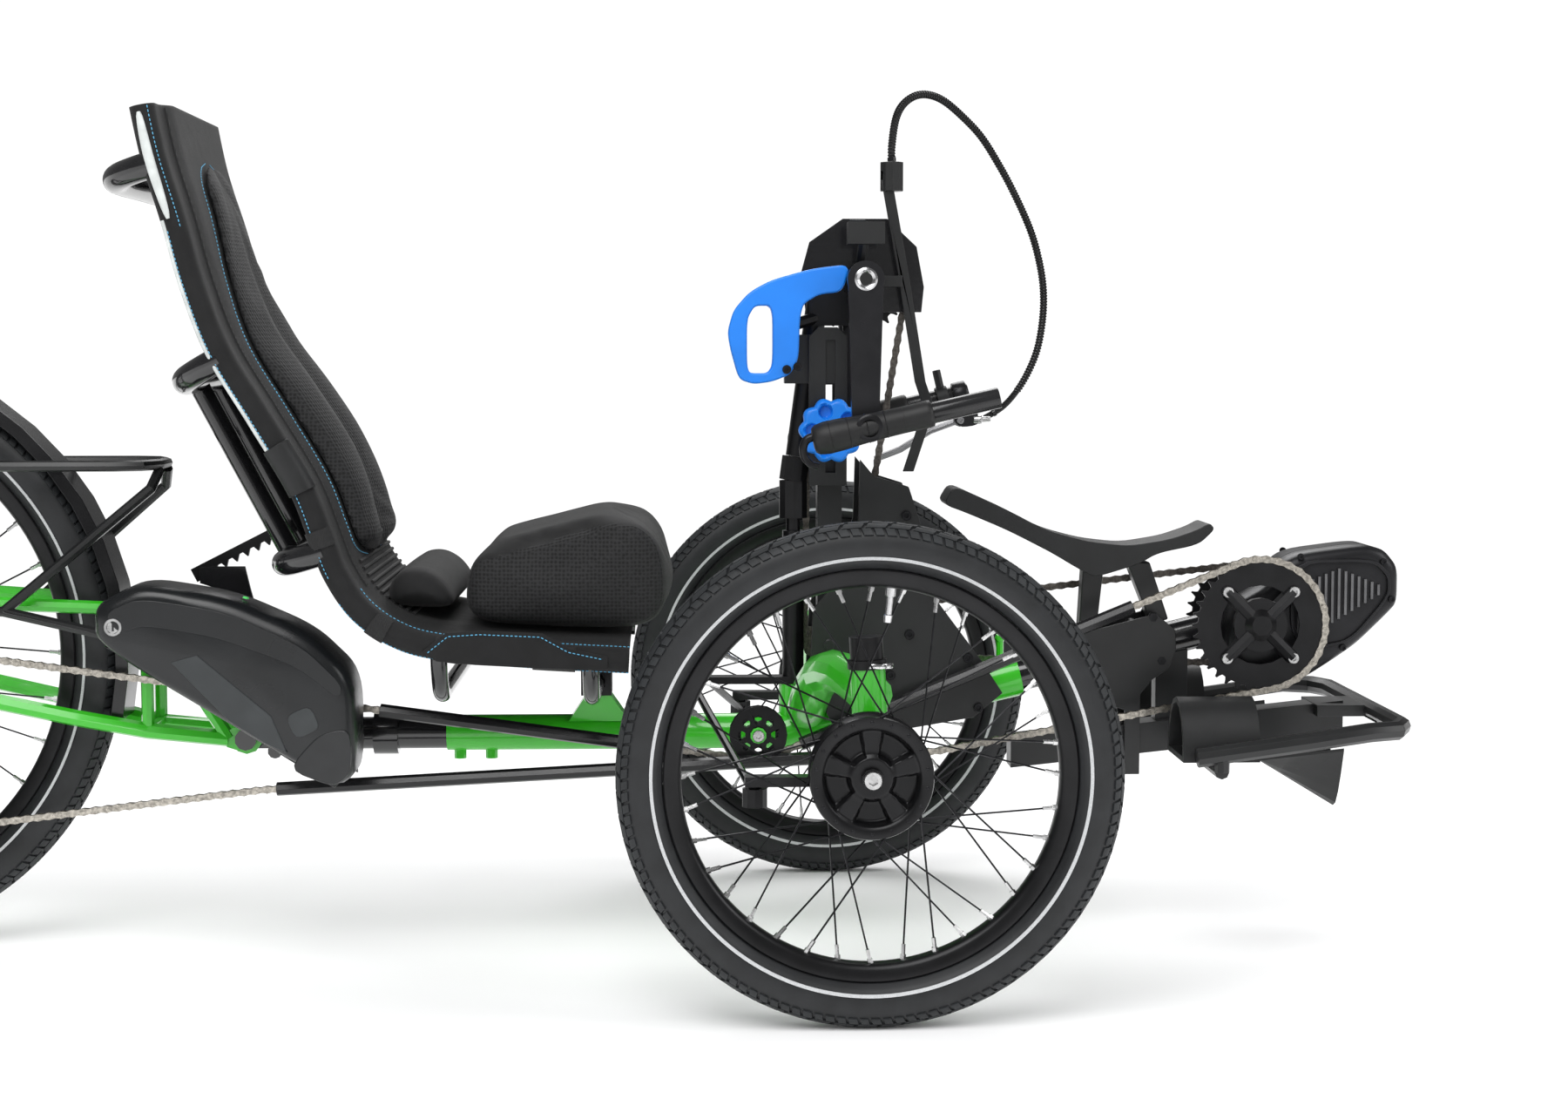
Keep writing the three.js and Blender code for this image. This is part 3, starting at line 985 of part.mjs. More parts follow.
function guideBarBody() {
  const frameBox = { x: guideBar.x, z: guideBar.top - guideBarBox.height, ...guideBarBox };
  const route = outlineOf(guideBarShares, frameBox);
  const half = guideBar.width / 2;
  const front = route.map(([x, z]) => [x + half, z]);
  const back = route.map(([x, z]) => [x - half, z]).reverse();
  const bar = plate([...front, ...back], guideBar.y - guideBar.thick / 2, guideBar.y + guideBar.thick / 2);
  const clampTop = cableRoute[0].z - gap * 3;
  const clampY = guideBar.y + guideBar.clampWidth / 4;
  const clamp = rod(point(guideBar.x + half, clampY, guideBar.top - guideBar.width),
    point(guideBar.x + half, clampY, clampTop), guideBar.clampRadius, SIDES.tube);
  const stay = box(point(crank.x + guideBar.stayFrom, guideBar.y - guideBar.thick * 2,
    guideBar.stayHeight - half),
    point(crank.x + guideBar.stayTo, guideBar.y + guideBar.thick * 2, guideBar.stayHeight + half));
  return cut(join(bar, clamp, stay), barrel(crank.x, crank.z, -hubY, hubY, crank.shellRadius + gap));
}

const handleShares = [[0, 0.44], [0.05, 0.62], [0.18, 0.77], [0.36, 0.87], [0.68, 0.96], [1, 1], [0.94, 0.77],
  [0.75, 0.75], [0.62, 0.67], [0.59, 0.55], [0.58, 0.21], [0.51, 0.08], [0.36, 0.02], [0.21, 0], [0.09, 0.04],
  [0.02, 0.19]];
const windowShares = [[0, 0.78], [0.3, 0.94], [0.97, 1], [1, 0.1], [0.77, 0.01], [0.13, 0]];

function handleBody() {
  const inner = handle.y - handle.thick / 2;
  const outer = handle.y + handle.thick / 2;
  const window = { x: handle.windowX, z: handle.windowZ, length: handle.windowLength,
    height: handle.windowHeight };
  return cut(plate(outlineOf(handleShares, handle), inner, outer),
    plate(outlineOf(windowShares, window), inner - overrun, outer + overrun));
}

function crankBody(side) {
  const inner = side * (crank.half - crank.thick / 2);
  const outer = side * (crank.half + crank.thick / 2);
  const tip = crank.z - crank.length;
  const arm = plate([[crank.x - crank.wide / 2, crank.z], [crank.x + crank.wide / 2, crank.z],
    [crank.x + crank.narrow / 2, tip], [crank.x - crank.narrow / 2, tip]], inner, outer);
  const eye = barrel(crank.x, crank.z, inner, outer, crank.boss);
  const foot = barrel(crank.x, tip, inner, outer, crank.tipRadius);
  const spindle = barrel(crank.x, tip, outer - side * bite, side * (grip.y + grip.clampWidth / 2 - bite),
    grip.spindle, SIDES.tube);
  const arms = join(arm, eye, foot, spindle);
  if (side === RIGHT) {
    const axleEnd = crank.sprocketY - sprocketThick * 2;
    return join(arms, barrel(crank.x, crank.z, inner, axleEnd, crank.axle));
  }
  const disc = barrel(crank.x, crank.z, crank.sprocketY - sprocketThick / 2,
    crank.sprocketY + sprocketThick / 2, sprocketRadius(teeth.crank), SIDES.fine);
  const hubStart = crank.sprocketY - sprocketThick * 2 + gap;
  return join(arms, disc, barrel(crank.x, crank.z, hubStart, inner + bite, crank.sleeve));
}

const cableEnd = cableRoute[cableRoute.length - 1].clone().add(point(-cord.radius, 0, -gap));

// A hand grip on its spindle, with the hooked guard behind the hand and the bare tube in front
function gripBody(side) {
  const y = side * grip.y;
  const slope = grip.slope * degrees;
  const pivot = point(crank.x, y, crank.z - crank.length);
  const at = (along, up = 0) => point(pivot.x + along * Math.cos(slope) - up * Math.sin(slope), y,
    pivot.z + along * Math.sin(slope) + up * Math.cos(slope));
  const parts = [
    rod(at(-grip.behind), at(-grip.behind / 3 + bite), grip.waist, SIDES.tube, grip.radius - bite / 2),
    rod(at(-grip.behind / 3), at(grip.front), grip.radius, SIDES.tube, grip.waist),
    rod(at(0), at(grip.tubeEnd), grip.tube, SIDES.tube),
    rod(at(-grip.behind - grip.hookThick / 2, -grip.hook), at(-grip.behind - grip.hookThick, grip.hook),
      grip.hookThick, SIDES.small),
    rod(at(-grip.behind - grip.hookThick), at(-grip.behind + bite), grip.tube, SIDES.small),
    barrel(pivot.x, pivot.z, y - grip.clampWidth / 2, y + grip.clampWidth / 2, grip.clamp, SIDES.tube),
  ];
  if (side === LEFT) {
    const top = at(lever.along);
    const pivot = leverPivot();
    const lugFace = pivot.y - lever.eyeThick / 2 - gap;
    parts.push(rod(at(lever.along - lever.ringLength / 2), at(lever.along + lever.ringLength / 2), lever.ring,
      SIDES.tube));
    parts.push(plate([[top.x - lever.lug, top.z], [top.x + lever.lug, top.z],
      [pivot.x + lever.lug * 2, pivot.z + bite], [pivot.x + lever.lug * 2, pivot.z - lever.adjuster],
      [pivot.x, pivot.z - lever.eye], [pivot.x - lever.eye, pivot.z]], lugFace - lever.lugThick, lugFace));
    parts.push(barrel(pivot.x, pivot.z, lugFace - bite, pivot.y + lever.eyeThick / 2 + bite, lever.pin,
      SIDES.small));
    parts.push(rod(point(pivot.x + lever.adjusterStart, lugFace - lever.lugThick / 2, pivot.z), cableEnd,
      lever.adjuster, SIDES.small));
  }
  const hole = barrel(pivot.x, pivot.z, y - side * grip.clampWidth,
    y + side * (grip.clampWidth / 2 - bite + gap), grip.spindle + gap + running, SIDES.round);
  return cut(join(...parts), hole);
}

// The brake lever's pivot, under the grip's tube
function leverPivot() {
  const slope = grip.slope * degrees;
  return point(crank.x + lever.along * Math.cos(slope), grip.y,
    crank.z - crank.length + lever.along * Math.sin(slope) - lever.below);
}

function brakeLeverBody() {
  const pivot = leverPivot();
  const bendShares = [[0, 0], [0.35, 0.28], [0.7, 0.75], [1, 1]];
  const route = bendShares.map(([back, down]) =>
    point(pivot.x - back * lever.length, pivot.y, pivot.z - down * lever.drop));
  const half = lever.eyeThick / 2;
  const eye = barrel(pivot.x, pivot.z, pivot.y - half, pivot.y + half, lever.eye, SIDES.tube);
  const hole = barrel(pivot.x, pivot.z, pivot.y - lever.eyeThick, pivot.y + lever.eyeThick,
    lever.pin + running);
  const clear = lever.blade - half;
  const slim = box(point(pivot.x - lever.eye, pivot.y - half - clear - overrun, pivot.z - lever.eye),
    point(pivot.x + lever.eye, pivot.y - half, pivot.z + lever.eye));
  return cut(join(sweep(route, lever.blade), eye), hole, slim);
}

function shifterBody() {
  const slope = grip.slope * degrees;
  const at = (a, up = 0) => point(crank.x + a * Math.cos(slope) - up * Math.sin(slope), grip.y,
    crank.z - crank.length + a * Math.sin(slope) + up * Math.cos(slope));
  const middle = shifter.along + shifter.bodyThick / 2;
  const drum = rod(at(shifter.along), at(shifter.along + shifter.bodyThick), shifter.bodyRadius, SIDES.round);
  const paddle = rod(at(middle), at(middle, shifter.length), shifter.radius, SIDES.small);
  const hole = rod(at(shifter.along - overrun), at(shifter.along + shifter.bodyThick + overrun),
    grip.tube + gap + running, SIDES.round);
  return cut(join(drum, paddle), hole);
}

// Chains
const at3 = (x, z, y, count, turn) => ({ x, z, y, r: pitchRadius(count), turn });
const way = (x, z, y) => ({ x, z, y, r: 0, turn: 1 });
const driveWheels = [
  at3(motorAxle.x, motorAxle.z, -chain.line, teeth.chainring, 1),
  at3(idler.x, idler.z, -chain.line, teeth.idler, -1),
  at3(-wheelbase, rearWheel.radius, -derailleur.line, teeth.cassette, 1),
  at3(derailleur.guideX, derailleur.guideZ, -derailleur.line, teeth.pulley, -1),
  at3(derailleur.tensionX, derailleur.tensionZ, -derailleur.line, teeth.pulley, 1),
  way(chain.returnRearX, chain.returnRearZ, -chain.outer),
  way(chain.returnFrontX, chain.returnFrontZ, -chain.outer),
];
const crankWheels = [
  at3(crank.x, crank.z, crank.sprocketY, teeth.crank, 1),
  at3(shaft.x, shaft.z, crank.sprocketY, teeth.jackshaft, 1),
];
const boomWheels = [
  at3(motorAxle.x, motorAxle.z, ring.leftY, teeth.leftRing, 1),
  at3(shaft.x, shaft.z, ring.leftY, teeth.jackshaft, 1),
];

// Sprockets on the rear hub: the chain runs on the smallest, at the outside
function cassetteBody() {
  const x = -wheelbase;
  const z = rearWheel.radius;
  const small = sprocketRadius(teeth.cassette);
  const discs = [1, ...cassette.stepsShares].map((share, i) => {
    const y = -derailleur.line + i * cassette.pitch;
    return barrel(x, z, y - cassette.thick / 2, y + cassette.thick / 2, small * share);
  });
  const hubFace = rearWheel.flangeSpan / 2 + bite + gap;
  const sleeve = barrel(x, z, -cassette.outer, -hubFace, cassette.body);
  return cut(join(...discs, sleeve), barrel(x, z, -hubY, hubY, rearWheel.bore));
}

// The chain's two small wheels between the plates that carry them
function derailleurBody() {
  const y = -derailleur.line;
  const inner = chain.radius + derailleur.cageGap;
  const guide = [derailleur.guideX, derailleur.guideZ];
  const tension = [derailleur.tensionX, derailleur.tensionZ];
  const across = derailleur.cageEdge;
  const outline = [[guide[0] - across, guide[1] + across], [guide[0] + across, guide[1] + across],
    [tension[0] + across, tension[1]], [tension[0], tension[1] - across], [tension[0] - across, tension[1]]];
  const plates = [RIGHT, LEFT].map((side) =>
    plate(outline, y + side * inner, y + side * (inner + derailleur.cageThick)));
  const wheels = [guide, tension].flatMap(([x, z]) => [
    barrel(x, z, y - sprocketThick / 2, y + sprocketThick / 2, sprocketRadius(teeth.pulley)),
    barrel(x, z, y - inner - bite / 2, y + inner + bite / 2, derailleur.bolt, SIDES.small),
  ]);
  const hangerFace = -(rearFrame.dropHalf - rearFrame.dropThick / 2 - gap);
  const knuckleBarrel = barrel(guide[0], guide[1], hangerFace, y - inner - bite / 2,
    derailleur.bodyRadius - bite,
    SIDES.tube);
  return join(...plates, ...wheels, knuckleBarrel);
}

function idlerBody() {
  const y0 = -chain.line - idler.thick / 2;
  const y1 = -chain.line + idler.thick / 2;
  const groove = pitchRadius(teeth.idler) - chain.radius - chain.sprocketGap;
  const profile = [[idler.axle + gap + running, y0], [idler.flange, y0], [idler.flange, y0 + bite / 2],
    [groove, y0 + bite / 2], [groove, y1 - bite / 2], [idler.flange, y1 - bite / 2], [idler.flange, y1],
    [idler.axle + gap + running, y1]];
  let body = turned(profile, idler.x, 0, idler.z, SIDES.round);
  for (let i = 0; i < idler.holes; i += 1) {
    const angle = (i / idler.holes) * 2 * Math.PI;
    body = cut(body, barrel(idler.x + idler.holeCircle * Math.cos(angle),
      idler.z + idler.holeCircle * Math.sin(angle), y0 - overrun, y1 + overrun, idler.hole, SIDES.chain));
  }
  return body;
}

function jackshaftBody() {
  const radius = sprocketRadius(teeth.jackshaft);
  const profile = (y) => barrel(shaft.x, shaft.z, y - sprocketThick / 2, y + sprocketThick / 2, radius,
    SIDES.round);
  const sleeve = barrel(shaft.x, shaft.z, -mast.half + gap * 2, ring.leftY + shaft.end, shaft.sleeve);
  const hole = barrel(shaft.x, shaft.z, -hubY, hubY, shaft.radius + gap + running);
  return cut(join(profile(crank.sprocketY), profile(ring.leftY), sleeve), hole);
}

function chainringBody() {
  const y = -chain.line;
  const { x, z } = motorAxle;
  const half = sprocketThick / 2;
  const outer = sprocketRadius(teeth.chainring);
  const disc = barrel(x, z, y - half, y + half, outer, SIDES.fine);
  const opening = barrel(x, z, y - half - overrun, y + half + overrun, ring.inner);
  const arms = [];
  for (let i = 0; i < ring.bolts; i += 1) {
    const angle = ((i + 0.5) / ring.bolts) * 2 * Math.PI;
    const end = point(x + ring.boltCircle * Math.cos(angle), y, z + ring.boltCircle * Math.sin(angle));
    arms.push(rod(point(x, y, z), end, ring.armWidth / 2, SIDES.small));
    arms.push(barrel(end.x, end.z, y - half * 2, y + half * 2, ring.boltRadius, SIDES.small));
  }
  const hub = barrel(x, z, y - half * 3, y + half * 3, ring.hub);
  const cap = rod(point(x, y, z), point(x, y - ring.capHeight, z), ring.cap, SIDES.round, ring.spindle);
  const spindle = barrel(x, z, y, ring.leftY + sprocketThick, ring.spindle);
  const leftRing = barrel(x, z, ring.leftY - half, ring.leftY + half, sprocketRadius(teeth.leftRing),
    SIDES.fine);
  return join(cut(disc, opening), ...arms, hub, cap, spindle, leftRing);
}

const motorShares = [[0.25, 0.72], [0.37, 0.93], [0.81, 1], [0.92, 0.96], [1, 0.84], [1, 0.59], [0.94, 0.51],
  [0.77, 0.31], [0.64, 0.2], [0.46, 0.06], [0.26, 0], [0.08, 0.09], [0, 0.31], [0.06, 0.59]];

function motorBody() {
  const outline = outlineOf(motorShares, motor);
  const body = plate(outline, -motor.right, motor.left);
  const clampRod = rod(boomPoint(boom.reach - boom.stop), boomPoint(boom.reach), boom.radius + bite * 2,
    SIDES.round);
  const bore = barrel(motorAxle.x, motorAxle.z, -hubY, hubY, ring.spindle + gap + running);
  const boomHole = rod(boomPoint(0), boomPoint(boom.reach - boom.stopDepth), boom.radius + gap, SIDES.round);
  return cut(join(body, clampRod), bore, boomHole);
}

function boomTubeBody() {
  const start = boom.socket - boom.insert;
  return rod(boomPoint(start), boomPoint(boom.reach - boom.stopDepth - gap), boom.radius - gap, SIDES.round);
}

const coverShares = [[0, 0.84], [0.2, 0.88], [0.83, 1], [0.99, 0.9], [1, 0.78], [0.94, 0.66], [0.8, 0.59],
  [0.7, 0.5], [0.7, 0], [0.57, 0], [0.57, 0.4], [0.34, 0.46], [0, 0.49]];

const beamHeightAt = (x) => beam.z + ((x - beam.x) / (beam.endX - beam.x)) * (beam.endZ - beam.z);
const boomHeightAt = (x) => mainTube.height + (x - mainTube.cross) * Math.tan(boom.angle * degrees);

// Cover plates on both sides of the boom and the foot beam, bolted together above and below them
function coverBody() {
  const outline = outlineOf(coverShares, cover);
  const inner = boom.socketRadius + gap;
  const clear = boom.radius / Math.cos(boom.angle * degrees) + cover.postRadius + gap;
  const plates = [RIGHT, LEFT].map((side) => plate(outline, side * inner, side * (inner + cover.thick)));
  const seats = [
    [cover.topPostX, boomHeightAt(cover.topPostX) + clear],
    [cover.lowPostX, boomHeightAt(cover.lowPostX) - clear],
    [cover.lugX, beamHeightAt(cover.lugX) - beam.height / 2 - cover.postRadius - bite],
  ];
  const posts = seats.map(([x, z]) => barrel(x, z, -inner - bite, inner + bite, cover.postRadius,
    SIDES.tube));
  return join(...plates, ...posts);
}

// Foot beam with the bent hoop round both feet
function footHoopBody() {
  const slope = Math.atan2(beam.endZ - beam.z, beam.endX - beam.x);
  const rise = beam.height / 2 / Math.cos(slope);
  const bar = plate([[beam.x, beam.z - rise], [beam.endX, beam.endZ - rise], [beam.endX, beam.endZ + rise],
    [beam.x, beam.z + rise]], -beam.width / 2, beam.width / 2);
  const right = [point(hoop.rearX, -hoop.half, hoop.rearZ), point(hoop.midX, -hoop.half, hoop.midZ),
    point(hoop.frontX - hoop.corner, -hoop.half, hoop.frontZ),
    point(hoop.frontX - hoop.corner * hoop.bendShare, -hoop.half + hoop.corner * hoop.bendShare, hoop.frontZ),
    point(hoop.frontX, -hoop.half + hoop.corner, hoop.frontZ)];
  const left = right.map((p) => point(p.x, -p.y, p.z)).reverse();
  const loop = sweep([...right, ...left], hoop.radius, SIDES.tube);
  const crossZ = heelCup.cuffBase - hoop.bar - gap;
  const crossBar = barrel(hoop.crossX, crossZ, -hoop.half, hoop.half, hoop.bar, SIDES.small);
  const risers = [RIGHT, LEFT].map((side) => rod(point(hoop.crossX, side * hoop.half, crossZ),
    point(hoop.crossX, side * hoop.half, hoop.rearZ), hoop.bar, SIDES.small));
  const gusset = box(point(beam.endX - beam.height, -beam.width, hoop.frontZ - hoop.gussetHalf),
    point(hoop.frontX, beam.width, hoop.frontZ + hoop.gussetHalf));
  const hanger = box(point(beam.hangerX, -beam.hangerWidth / 2, beamHeightAt(beam.hangerX)),
    point(beam.hangerX + beam.hangerLength, beam.hangerWidth / 2, boomHeightAt(beam.hangerX)));
  const boomCut = rod(boomPoint(0), boomPoint(boom.reach), boom.radius + gap, SIDES.round);
  return cut(join(bar, loop, crossBar, ...risers, gusset, hanger), boomCut);
}

const calfShares = [[0.04, 1], [0.24, 0.73], [0.38, 0.51], [0.53, 0.39], [0.68, 0.34], [0.83, 0.41],
  [0.93, 0.51], [0.98, 0.59], [1, 0.52], [0.94, 0.35], [0.79, 0.26], [0.72, 0.14], [0.6, 0.03], [0.55, 0],
  [0.41, 0.25], [0.24, 0.51], [0.09, 0.7], [0, 0.8]];

function calfRestBody() {
  const beamBody = plate(outlineOf(calfShares, calf), -calf.half, calf.half);
  const foot = (x) => {
    const along = (x - mainTube.cross) / Math.cos(boom.angle * degrees);
    return boomPoint(along).z + (boom.radius - gap) / Math.cos(boom.angle * degrees) + gap * 2;
  };
  const legs = [[calf.rearLegX, calf.rearTopX], [calf.frontLegX, calf.frontTopX]].map(([x, topX]) => plate([
    [x - calf.legThick, foot(x - calf.legThick)], [x + calf.legThick, foot(x + calf.legThick)],
    [topX + calf.legThick, calf.legTop + calf.legThick], [topX - calf.legThick, calf.legTop + calf.legThick]],
  -calf.legWidth / 2, calf.legWidth / 2));
  return join(beamBody, ...legs);
}

// A cuff over one foot, closed underneath, with the sagging heel rest in front of it
function heelCupBody(side) {
  const middle = (heelCup.outer + heelCup.inner) / 2;
  const half = (heelCup.outer - heelCup.inner) / 2;
  const rise = heelCup.cuffTop - heelCup.cuffBase - heelCup.cuffWall;
  const steps = heelCup.steps;
  const archOf = (inset) => {
    const ring = [[middle + half - inset, heelCup.cuffBase + inset]];
    for (let k = 0; k <= steps; k += 1) {
      const angle = (k / steps) * Math.PI;
      ring.push([middle + (half - inset) * Math.cos(angle),
        heelCup.cuffBase + heelCup.cuffWall + (rise - inset) * Math.sin(angle)]);
    }
    ring.push([middle - half + inset, heelCup.cuffBase + inset]);
    return ring;
  };
  const extruded = (ring, from, to) =>
    loft([from, to].map((x) => ring.map(([y, z]) => point(x, side * y, z))));
  const cuff = cut(extruded(archOf(0), heelCup.cuffRear, heelCup.cuffFront),
    extruded(archOf(heelCup.cuffWall), heelCup.cuffRear - overrun, heelCup.cuffFront + overrun));
  return join(cuff, heelRest(side, middle, half - heelCup.edge));
}

// The sagging sheet under one heel, from inside the cuff's front face to its free end
function heelRest(side, middle, half) {
  const steps = heelCup.steps;
  const rear = heelCup.cuffFront - bite;
  const rings = [];
  for (let i = 0; i <= heelCup.rows; i += 1) {
    const share = i / heelCup.rows;
    const x = rear + share * (heelCup.frontX - rear);
    const base = heelCup.cuffBase + heelCup.edge + share * heelCup.hang;
    const face = [];
    const back = [];
    for (let k = 0; k <= steps; k += 1) {
      const across = (k / steps) * 2 - 1;
      const sag = share * heelCup.sag * Math.cos((across * Math.PI) / 2);
      const y = side * (middle + across * half);
      back.push(point(x, y, base - sag));
      face.push(point(x, y, base - sag + heelCup.thick));
    }
    rings.push([...face, ...back.reverse()]);
  }
  return loft(rings);
}

// Names and places
const model = new THREE.Group();
const front = motor.x + motor.length;
const rear = -wheelbase - rearWheel.radius - mudguard.gap - mudguard.thick;
const assembly = new THREE.Group();
assembly.position.x = -(front + rear) / 2;
model.add(assembly);

function add(name, body, finish) {
  const [color, roughness, metalness] = COLOURS[finish];
  const mesh = new THREE.Mesh(geometryOf(body), new THREE.MeshStandardMaterial({ color, roughness,
    metalness }));
  mesh.name = name;
  assembly.add(mesh);
}

function addWheel(prefix, w, x, y, z, outSide) {
  add(`${prefix}_tyre`, turned(tyreProfile(w), x, y, z), "rubber");
  add(`${prefix}_rim`, turned(rimProfile(w), x, y, z), "black");
  add(`${prefix}_hub`, hubBody(w, x, y, z, outSide), "black");
}

add("main_frame", mainFrameBody(), "green");
add("rear_inner_tube", innerTubeBody(), "black");
add("rear_frame", rearFrameBody(), "green");
add("luggage_rack", rackBody(), "black");
add("mudguard", mudguardBody(), "black");
add("battery", batteryBody(), "black");
add("boom_tube", boomTubeBody(), "black");
add("boom_cover", coverBody(), "black");
add("foot_hoop", footHoopBody(), "black");
add("calf_rest", calfRestBody(), "black");
for (const [name, side] of [["right", RIGHT], ["left", LEFT]]) {
  add(`${name}_heel_cup`, heelCupBody(side), "fabric");
}
add("motor", motorBody(), "black");
add("mast_plates", mastPlatesBody(), "black");
add("mast_post", postBody(), "black");
add("seat_clamp", seatClampBody(), "black");

// Each chain tube: its name, its run and where it starts and ends along that run
const driveRuns = beltRuns(driveWheels);
const tubeShares = [["drive_tube_front", 0, 0.22, 0.93], ["drive_tube_rear", 1, 0.14, 0.4],
  ["return_tube", 5, 0.02, 0.94]];
for (const [name, index, from, to] of tubeShares) {
  add(name, runTube(driveRuns[index], from, to), "black");
}
add("drive_chain", chainLoop(driveWheels), "steel");
add("boom_chain", chainLoop(boomWheels), "steel");

add("seat_frame", seatFrameBody(), "black");
const fabricNear = seat.rail + gap;
const fabricFar = fabricNear + seat.fabricThick;
add("seat_fabric", alongRail(0, seatRail.length - 1, fabricNear, fabricFar, seat.fabricHalf), "fabric");
add("back_pad", alongRail(1, 8, fabricFar + gap, fabricFar + gap + seat.padThick, seat.padHalf), "fabric");
add("seat_cushion", cut(plate(outlineOf(cushionShares, cushion), -seat.cushionHalf, seat.cushionHalf),
  alongRail(0, seatRail.length - 1, -seat.bulge, fabricFar + gap * 2, seat.fabricHalf)), "fabric");

add("cassette", cassetteBody(), "steel");
add("derailleur", derailleurBody(), "black");
add("drive_idler", idlerBody(), "black");
add("jackshaft", jackshaftBody(), "alloy");
add("chainring", chainringBody(), "black");

for (const [name, side] of [["right", RIGHT], ["left", LEFT]]) {
  addWheel(name, frontWheel, 0, side * hubY, frontWheel.radius, side);
  add(`${name}_knuckle`, knuckleBody(side), "alloy");
  add(`${name}_tie_rod`, tieRodBody(side), "black");
}
addWheel("rear", rearWheel, -wheelbase, 0, rearWheel.radius, RIGHT);

add("tower", towerBody(), "black");
add("clamp_knob", knobBody(), "blue");
add("steering_shaft", steeringShaftBody(), "black");
add("drop_arm", dropArmBody(), "black");
add("crank_head", crankHeadBody(), "black");
add("crank_guard", guardBody(), "black");
add("display", screenBody(), "black");
add("guide_bar", guideBarBody(), "black");
add("loop_handle", handleBody(), "blue");
add("crank_chain", chainLoop(crankWheels), "steel");
add("cable_loop", sweep(cableRoute, cord.radius), "black");
add("right_crank", crankBody(RIGHT), "alloy");
add("left_crank", crankBody(LEFT), "alloy");
add("right_grip", gripBody(RIGHT), "rubber");
add("left_grip", gripBody(LEFT), "rubber");
add("brake_lever", brakeLeverBody(), "steel");
add("shifter", shifterBody(), "black");

export default model;
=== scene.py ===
# Looks of the recumbent handcycle: materials, soft goods, tyres, chains, sprockets, fixings and light.
# Places are in the source's millimetres, with X = 0 at the front axles. at() turns them into metres.
import math

import bmesh
import bpy
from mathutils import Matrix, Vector


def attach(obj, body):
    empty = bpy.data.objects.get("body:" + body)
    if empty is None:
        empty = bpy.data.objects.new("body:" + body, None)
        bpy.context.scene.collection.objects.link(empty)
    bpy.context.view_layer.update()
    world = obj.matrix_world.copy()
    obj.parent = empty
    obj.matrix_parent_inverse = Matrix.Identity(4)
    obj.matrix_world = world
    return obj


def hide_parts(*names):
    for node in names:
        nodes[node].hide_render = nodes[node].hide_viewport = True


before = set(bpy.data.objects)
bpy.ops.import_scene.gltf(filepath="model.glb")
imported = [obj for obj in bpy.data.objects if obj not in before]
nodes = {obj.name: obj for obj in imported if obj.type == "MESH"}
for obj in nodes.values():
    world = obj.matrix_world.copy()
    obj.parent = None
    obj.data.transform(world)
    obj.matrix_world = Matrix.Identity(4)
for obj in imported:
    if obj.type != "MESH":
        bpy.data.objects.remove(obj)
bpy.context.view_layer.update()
scene = bpy.context.scene

SHIFT_X = 431.25
RIGHT, LEFT = -1, 1
SIDE_NAMES = {RIGHT: "right", LEFT: "left"}


def at(x, y, z):
    """A place of the source, in millimetres, as metres in the part's frame."""
    return Vector(((x + SHIFT_X) / 1000, y / 1000, z / 1000))


def in_scene(name, data):
    """A new object of the scene."""
    made = bpy.data.objects.new(name, data)
    scene.collection.objects.link(made)
    return made


def connect(tree, socket, value):
    """Links a socket to another one, or gives it a plain value."""
    if isinstance(value, bpy.types.NodeSocket):
        tree.links.new(value, socket)
    else:
        socket.default_value = value


def add_node(tree, kind, settings, inputs):
    """A node with its settings and its inputs, each named by its label or, as i0 and i1, by its number."""
    made = tree.nodes.new(kind)
    for key, value in dict(settings).items():
        setattr(made, key, value)
    for key, value in inputs.items():
        numbered = key[0] == "i" and key[1:].isdigit()
        connect(tree, made.inputs[int(key[1:]) if numbered else key], value)
    return made


# Camera: where the photograph was taken from
CAMERA_PLACE = (-183.1, -2864.4, 669.5)
CAMERA_PITCH = 4.677
CAMERA_YAW = 2.259
CAMERA_LENS = 58.97
SENSOR_WIDTH = 36


def make_camera():
    data = bpy.data.cameras.new("camera")
    data.lens = CAMERA_LENS
    data.sensor_width = SENSOR_WIDTH
    camera = in_scene("camera", data)
    camera.location = at(*CAMERA_PLACE)
    camera.rotation_euler = (math.radians(90 - CAMERA_PITCH), 0, math.radians(-CAMERA_YAW))
    scene.camera = camera


